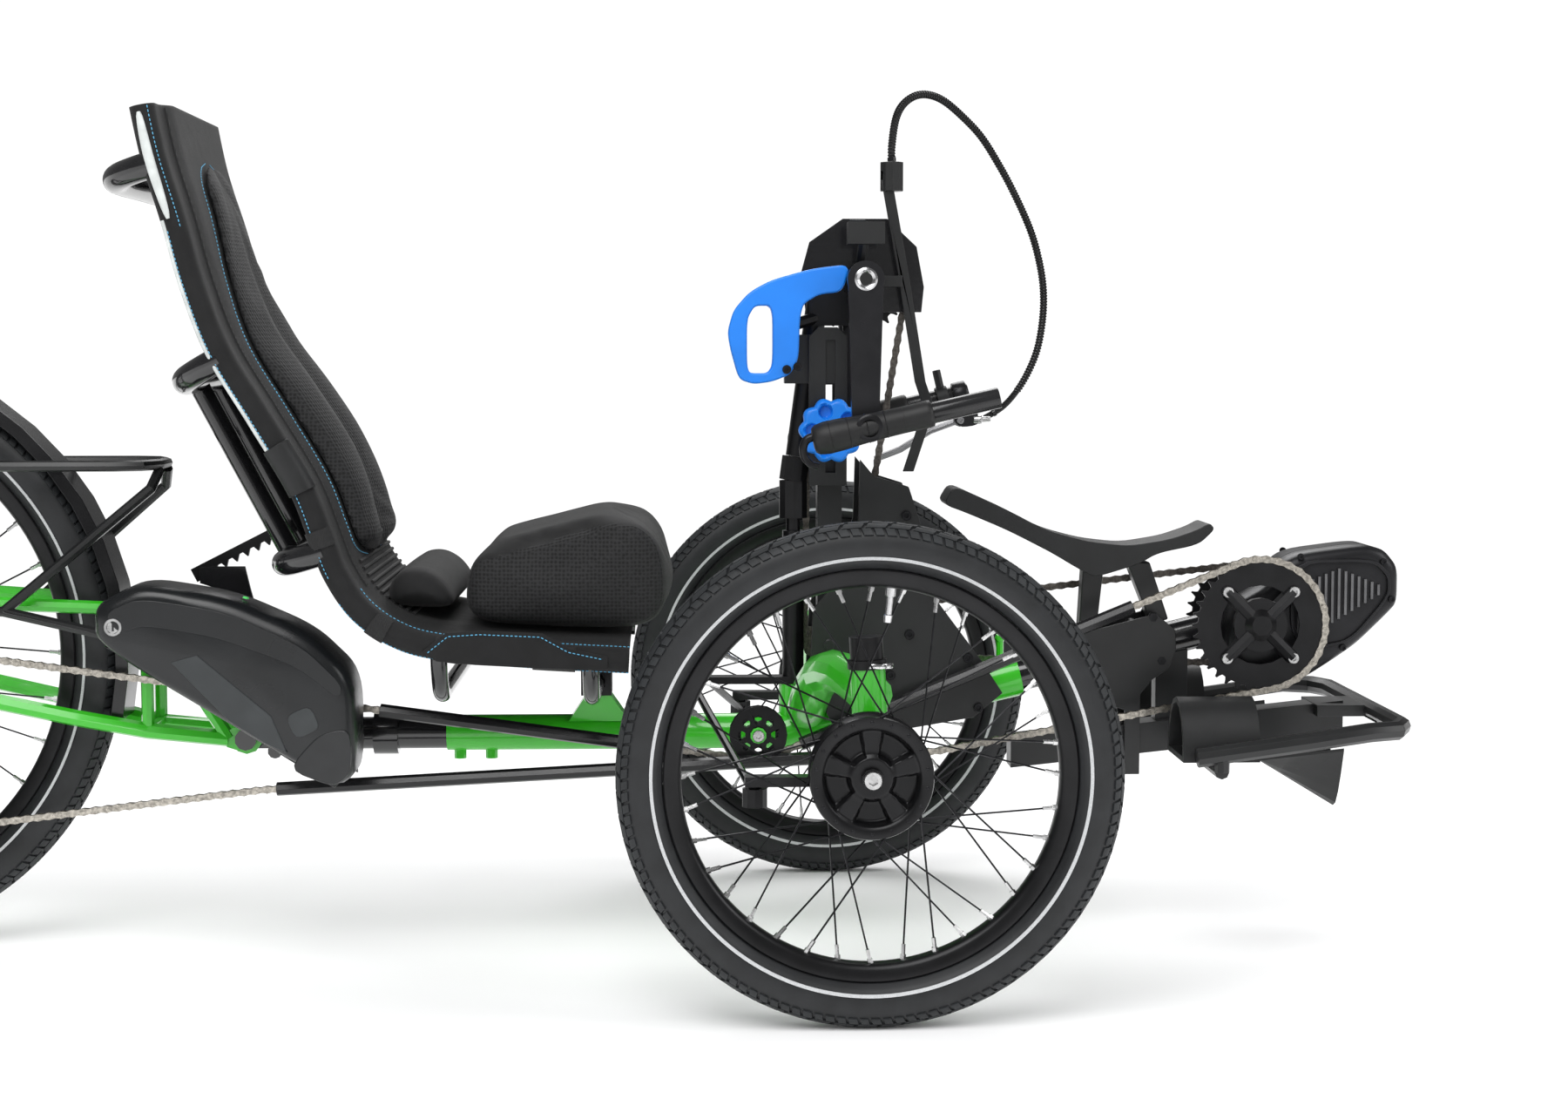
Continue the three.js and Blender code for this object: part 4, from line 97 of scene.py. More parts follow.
class Finish:
    """A material under construction: a shader with fixed values, and patterns in object coordinates."""

    def __init__(self, name, slot, colour, roughness, **sockets):
        self.material = bpy.data.materials.new(name)
        self.material.use_nodes = True
        self.tree = self.material.node_tree
        self.shader = self.tree.nodes["Principled BSDF"]
        self.shader.inputs["Base Color"].default_value = (*colour, 1)
        self.shader.inputs["Roughness"].default_value = roughness
        for socket, value in sockets.items():
            self.shader.inputs[socket.replace("_", " ")].default_value = value
        self.colour = colour
        self.roughness = roughness
        self.height = None

    def node(self, kind, settings=(), **inputs):
        return add_node(self.tree, kind, settings, inputs)

    def math(self, operation, *values):
        made = self.node("ShaderNodeMath", {"operation": operation})
        for socket, value in zip(made.inputs, values):
            connect(self.tree, socket, value)
        return made.outputs[0]

    def places(self, stretch=(1, 1, 1), source="Object"):
        coordinates = self.node("ShaderNodeTexCoord").outputs[source]
        return self.node("ShaderNodeMapping", Vector=coordinates, Scale=stretch).outputs[0]

    def noise(self, scale, detail=3.0, stretch=(1, 1, 1)):
        made = self.node("ShaderNodeTexNoise", Vector=self.places(stretch), Scale=scale, Detail=detail)
        return made.outputs[0]

    def mottle(self, scale, amount, detail=4.0):
        """Lets the colour wander a little either side of its value."""
        dark = tuple(c * (1 - amount) for c in self.colour)
        light = tuple(min(1, c * (1 + amount)) for c in self.colour)
        self.blend(self.noise(scale, detail), dark, light, 0.35, 0.65)
        return self

    def blend(self, factor, first, second, low=0.0, high=1.0):
        ramp = self.node("ShaderNodeValToRGB", Fac=factor)
        ramp.color_ramp.elements[0].position = low
        ramp.color_ramp.elements[0].color = (*first, 1)
        ramp.color_ramp.elements[1].position = high
        ramp.color_ramp.elements[1].color = (*second, 1)
        self.tree.links.new(ramp.outputs[0], self.shader.inputs["Base Color"])
        return self

    def wear(self, scale, spread, detail=5.0, stretch=(1, 1, 1)):
        """Lets the roughness wander, as handling and dust do."""
        mapped = self.node("ShaderNodeMapRange", Value=self.noise(scale, detail, stretch))
        mapped.inputs["To Min"].default_value = max(0.02, self.roughness - spread)
        mapped.inputs["To Max"].default_value = min(1, self.roughness + spread)
        self.tree.links.new(mapped.outputs[0], self.shader.inputs["Roughness"])
        return self

    def relief(self, height, depth, strength=1.0):
        """Bumps of a depth in metres. A second relief lies over the first."""
        bump = self.node("ShaderNodeBump", Height=height, Strength=strength, Distance=depth)
        if self.height is not None:
            self.tree.links.new(self.height, bump.inputs["Normal"])
        self.height = bump.outputs[0]
        self.tree.links.new(self.height, self.shader.inputs["Normal"])
        return self

    def grain(self, scale, depth, stretch=(1, 1, 1), detail=2.0):
        return self.relief(self.noise(scale, detail, stretch), depth)

    def threads(self, pitch, source="UV"):
        """Height of a plain weave, over and under, with threads that pitch apart."""
        parts = self.node("ShaderNodeSeparateXYZ", Vector=self.places((1, 1, 1), source)).outputs
        across = self.math("SINE", self.math("MULTIPLY", parts[0], 2 * math.pi / pitch))
        along = self.math("SINE", self.math("MULTIPLY", parts[1], 2 * math.pi / pitch))
        return self.math("MULTIPLY", across, along)

    def cells(self, pitch, source="UV"):
        """Height of an open mesh cloth: rounded holes that pitch apart."""
        places = self.places((1 / pitch, 1 / pitch, 1 / pitch), source)
        cell = self.node("ShaderNodeTexVoronoi", {"feature": "F1"}, Vector=places, Scale=1.0, Randomness=0.25)
        return cell.outputs["Distance"]


def make_finishes():
    made = {}

    def keep(finish):
        made[finish.material.name] = finish.material
        return finish

    keep(Finish("green_powder_coat", "green_paint", (0.035, 0.50, 0.012), 0.3, Coat_Weight=0.7,
                Coat_Roughness=0.08).mottle(14, 0.05).wear(9, 0.07).grain(900, 0.00006))
    keep(Finish("black_powder_coat", "black_paint", (0.006, 0.0065, 0.007), 0.4, Coat_Weight=0.2,
                Coat_Roughness=0.3).mottle(20, 0.25).wear(12, 0.09).grain(1500, 0.00005))
    keep(Finish("gloss_black_tube", "black_paint", (0.008, 0.008, 0.009), 0.2, Coat_Weight=0.8,
                Coat_Roughness=0.06).mottle(18, 0.2).wear(10, 0.06).grain(700, 0.00004))
    keep(Finish("black_anodised", "black_alloy", (0.010, 0.010, 0.011), 0.33, Metallic=0.5)
         .mottle(30, 0.2).wear(16, 0.08).grain(1200, 0.00003))
    keep(Finish("moulded_black", "black_plastic", (0.007, 0.0075, 0.008), 0.48)
         .mottle(25, 0.18).wear(14, 0.08).grain(1900, 0.00012, detail=1.0))
    keep(Finish("gloss_black", "tube_plastic", (0.010, 0.010, 0.011), 0.2)
         .mottle(20, 0.2).wear(12, 0.06).grain(500, 0.00004))
    keep(Finish("guard_gloss", "black_plastic", (0.010, 0.010, 0.011), 0.16, Coat_Weight=0.4,
                Coat_Roughness=0.05).mottle(12, 0.2).wear(6, 0.06).grain(260, 0.00006))
    keep(Finish("battery_case", "battery_shell", (0.008, 0.009, 0.010), 0.26)
         .mottle(18, 0.15).wear(8, 0.08).grain(1800, 0.00008))
    keep(Finish("battery_band", "battery_shell", (0.030, 0.034, 0.036), 0.34)
         .mottle(22, 0.15).wear(8, 0.08).grain(1800, 0.00008))
    keep(Finish("blue_nylon", "blue_plastic", (0.003, 0.185, 0.72), 0.4)
         .mottle(16, 0.07).wear(10, 0.07).grain(1700, 0.00007))
    keep(Finish("chain_nickel", "chain_steel", (0.46, 0.43, 0.38), 0.3, Metallic=1.0)
         .mottle(260, 0.35).wear(200, 0.12).grain(900, 0.00008))
    keep(Finish("chain_dark", "chain_steel", (0.17, 0.155, 0.14), 0.38, Metallic=1.0)
         .mottle(260, 0.35).wear(200, 0.12).grain(900, 0.00008))
    keep(Finish("zinc_bolt", "bright_alloy", (0.60, 0.60, 0.60), 0.28, Metallic=1.0)
         .mottle(150, 0.15).wear(120, 0.1).grain(900, 0.00005))
    keep(Finish("black_bolt", "black_alloy", (0.022, 0.022, 0.024), 0.36, Metallic=0.8)
         .mottle(150, 0.2).wear(120, 0.1).grain(900, 0.00005))
    keep(Finish("polished_alloy", "bright_alloy", (0.78, 0.78, 0.79), 0.16, Metallic=1.0)
         .mottle(60, 0.06).wear(40, 0.07, stretch=(1, 1, 8)).grain(500, 0.00003, stretch=(1, 1, 9)))
    keep(Finish("lever_alloy", "bright_alloy", (0.30, 0.30, 0.31), 0.36, Metallic=0.9)
         .mottle(60, 0.08).wear(40, 0.07).grain(500, 0.00003))
    keep(Finish("soft_rubber", "grip_rubber", (0.008, 0.008, 0.0085), 0.5)
         .mottle(24, 0.2).wear(14, 0.08).grain(2200, 0.00008))
    keep(Finish("tread_rubber", "tyre", (0.015, 0.017, 0.019), 0.6).mottle(30, 0.2).wear(18, 0.08)
         .grain(1400, 0.00012))
    keep(Finish("sidewall_rubber", "tyre", (0.011, 0.012, 0.0135), 0.5).mottle(40, 0.2).wear(22, 0.08)
         .grain(1500, 0.00008))
    keep(Finish("reflective_band", "tyre", (0.50, 0.51, 0.52), 0.35).mottle(900, 0.12).wear(300, 0.1)
         .grain(2600, 0.00008))
    keep(Finish("stitch_thread", "fabric", (0.10, 0.38, 0.60), 0.6).mottle(500, 0.2).wear(400, 0.1)
         .grain(4000, 0.0001))
    keep(Finish("silver_piping", "fabric", (0.56, 0.59, 0.58), 0.35, Sheen_Weight=0.2).mottle(60, 0.12)
         .wear(40, 0.1).grain(1800, 0.00008))
    keep(Finish("gloss_black_shell", "battery_shell", (0.014, 0.015, 0.016), 0.25).mottle(20, 0.2)
         .wear(9, 0.07).grain(1600, 0.00006))
    keep(Finish("battery_bright", "battery_shell", (0.50, 0.50, 0.50), 0.28, Metallic=1.0).mottle(80, 0.15)
         .wear(60, 0.1).grain(900, 0.00004))
    keep(Finish("motor_black", "black_alloy", (0.016, 0.016, 0.018), 0.38, Metallic=0.5).mottle(22, 0.2)
         .wear(14, 0.08).grain(1500, 0.00008))
    keep(Finish("motor_fins", "black_alloy", (0.16, 0.16, 0.165), 0.32, Metallic=0.8).mottle(40, 0.2)
         .wear(30, 0.1).grain(900, 0.00006))
    keep(Finish("grip_tube", "grip_rubber", (0.014, 0.014, 0.015), 0.2).mottle(24, 0.2).wear(14, 0.06)
         .grain(900, 0.00004))
    keep(Finish("grip_hook", "grip_rubber", (0.020, 0.020, 0.022), 0.3, Metallic=0.6).mottle(40, 0.2)
         .wear(30, 0.08).grain(900, 0.00004))
    keep(Finish("grip_bright", "grip_rubber", (0.62, 0.62, 0.62), 0.25, Metallic=1.0).mottle(80, 0.15)
         .wear(60, 0.08).grain(900, 0.00004))
    keep(Finish("grip_pin", "grip_rubber", (0.30, 0.30, 0.31), 0.3, Metallic=1.0).mottle(80, 0.15)
         .wear(60, 0.08).grain(900, 0.00004))
    keep(Finish("blue_steel", "blue_plastic", (0.32, 0.33, 0.34), 0.3, Metallic=1.0).mottle(80, 0.15)
         .wear(60, 0.08).grain(900, 0.00004))
    keep(Finish("crank_grey", "black_alloy", (0.030, 0.030, 0.033), 0.3, Metallic=0.75).mottle(26, 0.15)
         .wear(14, 0.06).grain(900, 0.00004))
    keep(Finish("crank_bright", "black_alloy", (0.55, 0.55, 0.56), 0.22, Metallic=1.0).mottle(60, 0.12)
         .wear(50, 0.08).grain(900, 0.00004))
    # Near-black matte colour for the crank caps' middles: painted shade in place of the hole's recess
    keep(Finish("crank_dark", "black_alloy", (0.004, 0.004, 0.004), 0.6).mottle(60, 0.2).wear(50, 0.08)
         .grain(900, 0.00004))
    keep(Finish("screen_glass", "black_plastic", (0.012, 0.014, 0.016), 0.07, Coat_Weight=1.0,
                Coat_Roughness=0.02).mottle(40, 0.1).wear(30, 0.04).grain(300, 0.00001))
    keep(Finish("green_lamp", "battery_shell", (0.10, 0.80, 0.16), 0.3).mottle(300, 0.1).wear(200, 0.05)
         .grain(900, 0.00002))

    cloth = keep(Finish("seat_cloth", "fabric", (0.0045, 0.0045, 0.005), 0.8, Sheen_Weight=0.06,
                        Sheen_Roughness=0.4).mottle(60, 0.2).wear(20, 0.07))
    cloth.relief(cloth.threads(0.0014), 0.00012)
    cloth.grain(45, 0.0012, detail=2.0)
    webbing = keep(Finish("webbing", "fabric", (0.007, 0.007, 0.0075), 0.7, Sheen_Weight=0.05).mottle(80, 0.2)
                   .wear(40, 0.07))
    webbing.relief(webbing.threads(0.0024, "Object"), 0.0002)
    mesh = keep(Finish("spacer_mesh", "fabric", (0.005, 0.005, 0.0055), 0.82, Sheen_Weight=0.06,
                       Sheen_Roughness=0.4).wear(24, 0.06))
    hole_depth_and_shade = mesh.cells(0.0042)
    # The holes are painted darker than the threads round them: painted shade in the recesses, over their bump
    mesh.blend(hole_depth_and_shade, (0.0006, 0.0006, 0.0006), (0.013, 0.013, 0.014), 0.2, 0.5)
    mesh.relief(hole_depth_and_shade, 0.0009)
    braid = keep(Finish("braided_sleeve", "tube_plastic", (0.012, 0.012, 0.013), 0.45).wear(60, 0.1))
    strand_height_and_painted_light = braid.threads(0.0028)
    # The strands' crests are painted lighter and the gaps between them darker: painted highlight and painted
    # shade that follow the weave's bump
    braid.blend(strand_height_and_painted_light, (0.005, 0.005, 0.005), (0.035, 0.035, 0.037), 0.2, 0.8)
    braid.relief(strand_height_and_painted_light, 0.0005)
    return made


# Mesh tools
SHARP_ANGLE = 35
# Points nearer than these, in metres, become one
PIECE_MERGE, FORM_MERGE, PAD_MERGE, NODE_MERGE = 1e-6, 1e-7, 1e-5, 0.00002


def mesh_of(name, vertices, faces):
    mesh = bpy.data.meshes.new(name)
    mesh.from_pydata([tuple(v) for v in vertices], [], faces)
    return mesh


def clean(mesh, distance):
    """Merges points nearer than the distance and turns all faces outwards."""
    work = bmesh.new()
    work.from_mesh(mesh)
    bmesh.ops.remove_doubles(work, verts=work.verts, dist=distance)
    bmesh.ops.recalc_face_normals(work, faces=work.faces)
    work.to_mesh(mesh)
    work.free()


def settled(obj):
    """The object's mesh with its modifiers applied."""
    return bpy.data.meshes.new_from_object(obj.evaluated_get(bpy.context.evaluated_depsgraph_get()))


def put_on(made, body, sharp=SHARP_ANGLE):
    """Smooths a piece but for edges sharper than the angle, and gives it its body."""
    made.data.shade_smooth()
    made.data.set_sharp_from_angle(angle=math.radians(sharp))
    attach(made, body)
    return made


def piece(name, vertices, faces, body, finish, sharp=SHARP_ANGLE, uv=None):
    """A mesh of points in metres that rides on a body."""
    mesh = mesh_of(name, vertices, faces)
    made = in_scene(name, mesh)
    if uv is not None:
        layer = mesh.uv_layers.new(name="UVMap")
        for loop in mesh.loops:
            layer.data[loop.index].uv = uv[loop.vertex_index]
    clean(mesh, PIECE_MERGE)
    mesh.materials.append(finishes[finish])
    return put_on(made, body, sharp)


def round_edges(obj, width, segments=2, angle=30):
    bevel = obj.modifiers.new("rounded", "BEVEL")
    bevel.width = width / 1000
    bevel.segments = segments
    bevel.limit_method = "ANGLE"
    bevel.angle_limit = math.radians(angle)
    bevel.harden_normals = True
    return obj


def gather(parts):
    """Several lists of vertices and faces as one."""
    vertices = []
    faces = []
    for more_vertices, more_faces in parts:
        start = len(vertices)
        vertices += more_vertices
        faces += [[start + i for i in face] for face in more_faces]
    return vertices, faces


def caps(rows):
    """The two end faces of rows that are closed rings."""
    count = len(rows[0])
    last = (len(rows) - 1) * count
    return [list(range(count))[::-1], [last + k for k in range(count)]]


def grid(rows, close_rows=False, close_columns=False):
    """Faces between rows of points of equal length."""
    count = len(rows[0])
    faces = []
    for i in range(len(rows) if close_rows else len(rows) - 1):
        for k in range(count if close_columns else count - 1):
            a = i * count + k
            b = i * count + (k + 1) % count
            c = ((i + 1) % len(rows)) * count + (k + 1) % count
            d = ((i + 1) % len(rows)) * count + k
            faces.append([a, b, c, d])
    return [p for row in rows for p in row], faces


def turned(profile, centre, segments=96, closed=True):
    """A shape turned about Y from a profile of [radius, across], in millimetres."""
    x, y, z = centre
    rows = []
    for i in range(segments):
        angle = 2 * math.pi * i / segments
        rows.append([at(x + r * math.cos(angle), y + across, z + r * math.sin(angle))
                     for r, across in profile])
    return grid(rows, close_rows=True, close_columns=closed)


def smooth_line(points, steps):
    """Points of a smooth curve through the given ones."""
    padded = [points[0], *points, points[-1]]
    line = []
    for i in range(len(points) - 1):
        p0, p1, p2, p3 = (Vector(p) for p in padded[i:i + 4])
        for k in range(steps):
            t = k / steps
            line.append(0.5 * ((2 * p1) + (p2 - p0) * t + (2 * p0 - 5 * p1 + 4 * p2 - p3) * t * t
                               + (3 * p1 - p0 - 3 * p2 + p3) * t ** 3))
    return [*line, Vector(points[-1])]


def smooth_outline(points, steps=4):
    """A closed outline with its corners eased."""
    eased = []
    count = len(points)
    for i in range(count):
        before, here, after = (Vector(points[(i + k) % count]) for k in (-1, 0, 1))
        first, last = here.lerp(before, 0.33), here.lerp(after, 0.33)
        for k in range(steps + 1):
            t = k / steps
            eased.append(first.lerp(here, t).lerp(here.lerp(last, t), t))
    return eased


def tube(points, radius, sides=16, share=None):
    """A round bar along points in metres; share gives its radius as a share at each point."""
    rows = []
    normal = None
    for i, here in enumerate(points):
        before, after = points[max(i - 1, 0)], points[min(i + 1, len(points) - 1)]
        tangent = (after - before).normalized()
        if normal is None:
            normal = tangent.orthogonal().normalized()
        normal = (normal - tangent * normal.dot(tangent)).normalized()
        binormal = tangent.cross(normal)
        r = radius / 1000 * (share(i / (len(points) - 1)) if share else 1)
        rows.append([here + (normal * math.cos(a) + binormal * math.sin(a)) * r
                     for a in (2 * math.pi * k / sides for k in range(sides))])
    vertices, faces = grid(rows, close_columns=True)
    return vertices, faces + caps(rows)


def tube_uv(points, radius, sides):
    """Metres round and along a tube, for a pattern that follows it."""
    lengths = [0.0]
    for a, b in zip(points, points[1:]):
        lengths.append(lengths[-1] + (b - a).length)
    around = 2 * math.pi * radius / 1000
    return [(around * k / sides + run, around * k / sides - run) for run in lengths for k in range(sides)]


def shell(outline, levels):
    """A moulded body from a side view outline: rings at [y, inset], inset towards its middle."""
    middle = sum((Vector(p) for p in outline), Vector((0, 0))) / len(outline)
    rows = []
    for y, inset in levels:
        row = []
        for p in outline:
            out = Vector(p) - middle
            kept = middle + out * max(0.02, (out.length - inset) / out.length)
            row.append(at(kept[0], y, kept[1]))
        rows.append(row)
    vertices, faces = grid(rows, close_columns=True)
    count = len(outline)
    for start, y in ((0, levels[0][0]), (len(vertices) - count, levels[-1][0])):
        vertices.append(at(middle[0], y, middle[1]))
        hub = len(vertices) - 1
        faces += [[start + k, start + (k + 1) % count, hub] for k in range(count)]
    return vertices, faces


def slab(outline, y0, y1):
    """A flat plate from a side view outline, between two sides."""
    count = len(outline)
    vertices = [at(x, y, z) for y in (y0, y1) for x, z in outline]
    faces = [list(range(count))[::-1], [count + k for k in range(count)]]
    faces += [[k, (k + 1) % count, count + (k + 1) % count, count + k] for k in range(count)]
    return vertices, faces


def block(low, high):
    outline = [(low[0], low[2]), (high[0], low[2]), (high[0], high[2]), (low[0], high[2])]
    return slab(outline, low[1], high[1])


def outline_of(shares, x, z, length, height):
    return [(x + across * length, z + up * height) for across, up in shares]


# Geometry Nodes trees that repeat a form
class Tree:
    def __init__(self, name, inputs):
        self.group = bpy.data.node_groups.new(name, "GeometryNodeTree")
        self.sockets = {}
        self.group.interface.new_socket("Geometry", in_out="INPUT", socket_type="NodeSocketGeometry")
        for label, kind in inputs:
            socket = self.group.interface.new_socket(label, in_out="INPUT", socket_type="NodeSocket" + kind)
            self.sockets[label] = socket.identifier
        self.group.interface.new_socket("Geometry", in_out="OUTPUT", socket_type="NodeSocketGeometry")
        self.start = self.group.nodes.new("NodeGroupInput")
        self.end = self.group.nodes.new("NodeGroupOutput")

    def node(self, kind, settings=(), **inputs):
        return add_node(self.group, kind, settings, inputs)

    def given(self, label):
        return self.start.outputs[label]

    def form(self, label):
        return self.node("GeometryNodeObjectInfo", Object=self.given(label)).outputs["Geometry"]

    def close(self, geometry):
        real = self.node("GeometryNodeRealizeInstances", Geometry=geometry).outputs[0]
        painted = self.node("GeometryNodeSetMaterial", Geometry=real, Material=self.given("Finish"))
        self.group.links.new(painted.outputs[0], self.end.inputs[0])


def ring_tree():
    """Copies of a form, turned about Y round a centre."""
    tree = Tree("ring_of_forms", [("Form", "Object"), ("Count", "Int"), ("Centre", "Vector"),
                                  ("Finish", "Material")])
    points = tree.node("GeometryNodePoints", Count=tree.given("Count"), Position=tree.given("Centre"))
    index = tree.node("GeometryNodeInputIndex").outputs[0]
    step = tree.node("ShaderNodeMath", {"operation": "DIVIDE"}, i0=-2 * math.pi,
                     i1=tree.given("Count")).outputs[0]
    turn = tree.node("ShaderNodeMath", {"operation": "MULTIPLY"}, i0=index, i1=step).outputs[0]
    euler = tree.node("ShaderNodeCombineXYZ", Y=turn).outputs[0]
    copies = tree.node("GeometryNodeInstanceOnPoints", Points=points.outputs[0], Instance=tree.form("Form"),
                       Rotation=euler)
    tree.close(copies.outputs[0])
    return tree


def chain_tree():
    """Two forms in turn along a closed path in side view, each turned to the path."""
    tree = Tree("links_on_a_path", [("Form", "Object"), ("Other Form", "Object"), ("Count", "Int"),
                                    ("Finish", "Material")])
    curve = tree.node("GeometryNodeMeshToCurve", Mesh=tree.given("Geometry")).outputs[0]
    even = tree.node("GeometryNodeResampleCurve", Curve=curve, Count=tree.given("Count")).outputs[0]
    points = tree.node("GeometryNodeCurveToPoints", {"mode": "EVALUATED"}, Curve=even)
    parts = tree.node("ShaderNodeSeparateXYZ", Vector=points.outputs["Tangent"]).outputs
    angle = tree.node("ShaderNodeMath", {"operation": "ARCTAN2"}, i0=parts[2], i1=parts[0]).outputs[0]
    turn = tree.node("ShaderNodeMath", {"operation": "MULTIPLY"}, i0=angle, i1=-1.0).outputs[0]
    euler = tree.node("ShaderNodeCombineXYZ", Y=turn).outputs[0]
    index = tree.node("GeometryNodeInputIndex").outputs[0]
    odd = tree.node("ShaderNodeMath", {"operation": "MODULO"}, i0=index, i1=2.0).outputs[0]
    even_ones = tree.node("ShaderNodeMath", {"operation": "SUBTRACT"}, i0=1.0, i1=odd).outputs[0]
    both = tree.node("GeometryNodeJoinGeometry")
    for label, chosen in (("Form", even_ones), ("Other Form", odd)):
        copies = tree.node("GeometryNodeInstanceOnPoints", Points=points.outputs[0], Selection=chosen,
                           Instance=tree.form(label), Rotation=euler)
        tree.group.links.new(copies.outputs[0], both.inputs[0])
    tree.close(both.outputs[0])
    return tree


def facing_tree():
    """A copy of a form at each point, its Z turned to the point's facing and its size to the point's size."""
    tree = Tree("forms_at_points", [("Form", "Object"), ("Finish", "Material")])
    facing = tree.node("GeometryNodeInputNamedAttribute", {"data_type": "FLOAT_VECTOR"},
                       Name="facing").outputs[0]
    size = tree.node("GeometryNodeInputNamedAttribute", {"data_type": "FLOAT"}, Name="size").outputs[0]
    turn = tree.node("FunctionNodeAlignRotationToVector", {"axis": "Z"}, Vector=facing).outputs[0]
    copies = tree.node("GeometryNodeInstanceOnPoints", Points=tree.given("Geometry"),
                       Instance=tree.form("Form"), Rotation=turn, Scale=size)
    tree.close(copies.outputs[0])
    return tree


def grown(name, tree, source, inputs, body, finish):
    """Runs a tree on a mesh and keeps its result as a plain piece."""
    holder = in_scene(name + "_source", source)
    modifier = holder.modifiers.new("repeat", "NODES")
    modifier.node_group = tree.group
    for label, value in {**inputs, "Finish": finishes[finish]}.items():
        modifier[tree.sockets[label]] = value
    mesh = settled(holder)
    mesh.name = name
    bpy.data.objects.remove(holder)
    return put_on(in_scene(name, mesh), body)


def form_of(name, vertices, faces):
    """A hidden shape for a tree to repeat, round zero."""
    mesh = mesh_of(name, vertices, faces)
    clean(mesh, FORM_MERGE)
    return bpy.data.objects.new(name, mesh)


def ring(name, form, count, centre, body, finish):
    """Copies of a form round an axle that lies along Y."""
    empty = bpy.data.meshes.new(name + "_start")
    inputs = {"Form": form, "Count": count, "Centre": at(*centre)}
    return grown(name, RING, empty, inputs, body, finish)


def fixings(name, form, places, body, finish):
    """Copies of a form at places of (point in millimetres, facing, size)."""
    return spread(name, form, [(at(*p), direction, size) for p, direction, size in places], body, finish)


def spread(name, form, places, body, finish):
    """Copies of a form at places of (point in metres, facing, size)."""
    mesh = mesh_of(name + "_places", [p for p, _, _ in places], [])
    facing = mesh.attributes.new("facing", "FLOAT_VECTOR", "POINT")
    facing.data.foreach_set("vector", [c for _, direction, _ in places for c in direction])
    size = mesh.attributes.new("size", "FLOAT", "POINT")
    size.data.foreach_set("value", [value for _, _, value in places])
    return grown(name, FACING, mesh, {"Form": form}, body, finish)


# Wheels
FRONT = {"radius": 250, "bead": 204, "half_width": 22.5, "rim_depth": 18, "rim_half": 12.5, "spokes": 36,
         "flange": 60, "flange_half": 20, "lead": 0.1, "treads": 66}
REAR = {"radius": 329.5, "bead": 280, "half_width": 24, "rim_depth": 18, "rim_half": 12.5, "spokes": 32,
        "flange": 34, "flange_half": 26, "lead": 0.1, "treads": 86}
TREAD_HEIGHT = 2.1
WHEEL_SEGMENTS = 144
RIM_GAP = 0.3
HALF_TRACK = 380
REAR_AXLE = (-1135, 329.5)
SPOKE_RADIUS, NIPPLE_RADIUS = 1.0, 2.3
VALVE_RADIUS, VALVE_ANGLE = 3.4, math.radians(84)
CARCASS_SHARES = [(0.0, 0.46), (0.06, 0.62), (0.16, 0.83), (0.3, 0.96), (0.47, 1.0), (0.62, 0.97),
                  (0.75, 0.87), (0.85, 0.68), (0.92, 0.44), (0.95, 0.2), (0.955, 0.0)]
WHEELS = [("right", FRONT, (0, -HALF_TRACK, FRONT["radius"]), RIGHT, "right_wheel"),
          ("left", FRONT, (0, HALF_TRACK, FRONT["radius"]), LEFT, "left_wheel"),
          ("rear", REAR, (REAR_AXLE[0], 0, REAR_AXLE[1]), RIGHT, "rear_wheel")]


def carcass_profile(wheel):
    depth = wheel["radius"] - wheel["bead"]
    right = [(wheel["bead"] + out * depth, -across * wheel["half_width"]) for out, across in CARCASS_SHARES]
    left = [(r, -y) for r, y in reversed(right[:-1])]
    return [*right, *left]


def tread_surface(wheel):
    """The carcass across the tread as a smooth line of (across arc, radius, y), from the crown outwards."""
    depth = wheel["radius"] - wheel["bead"]
    crown = [(across * wheel["half_width"], wheel["bead"] + out * depth)
             for out, across in CARCASS_SHARES[::-1]]
    line = smooth_line(crown, 6)
    run = [0.0]
    for a, b in zip(line, line[1:]):
        run.append(run[-1] + (b - a).length)
    return [(s, p[1], p[0]) for s, p in zip(run, line)]


def on_tread(surface, arc, lift):
    """Radius and y of a place on the tread, at an arc either side of the crown."""
    reach = abs(arc)
    for (s0, r0, y0), (s1, r1, y1) in zip(surface, surface[1:]):
        if reach <= s1:
            t = (reach - s0) / (s1 - s0)
            slope = Vector((y1 - y0, r1 - r0)).normalized()
            radius = r0 + t * (r1 - r0) + lift * slope[0]
            across = y0 + t * (y1 - y0) - lift * slope[1]
            return radius, math.copysign(across, arc) if arc else 0.0
    raise ValueError("past the tread")


BLOCK_ROOT = -1.0
BLOCK_DRAFT = 0.03
# Tread blocks of one pitch: start and end along it as shares at the inner edge, slant, inner and outer arc
TREAD_BLOCKS = [(0.05, 0.95, 0.10, 1.2, 7.4), (0.30, 1.18, 0.14, 8.6, 15.6), (0.06, 0.50, -0.10, 16.8, 24.0),
                (0.58, 0.98, -0.10, 16.8, 24.0)]


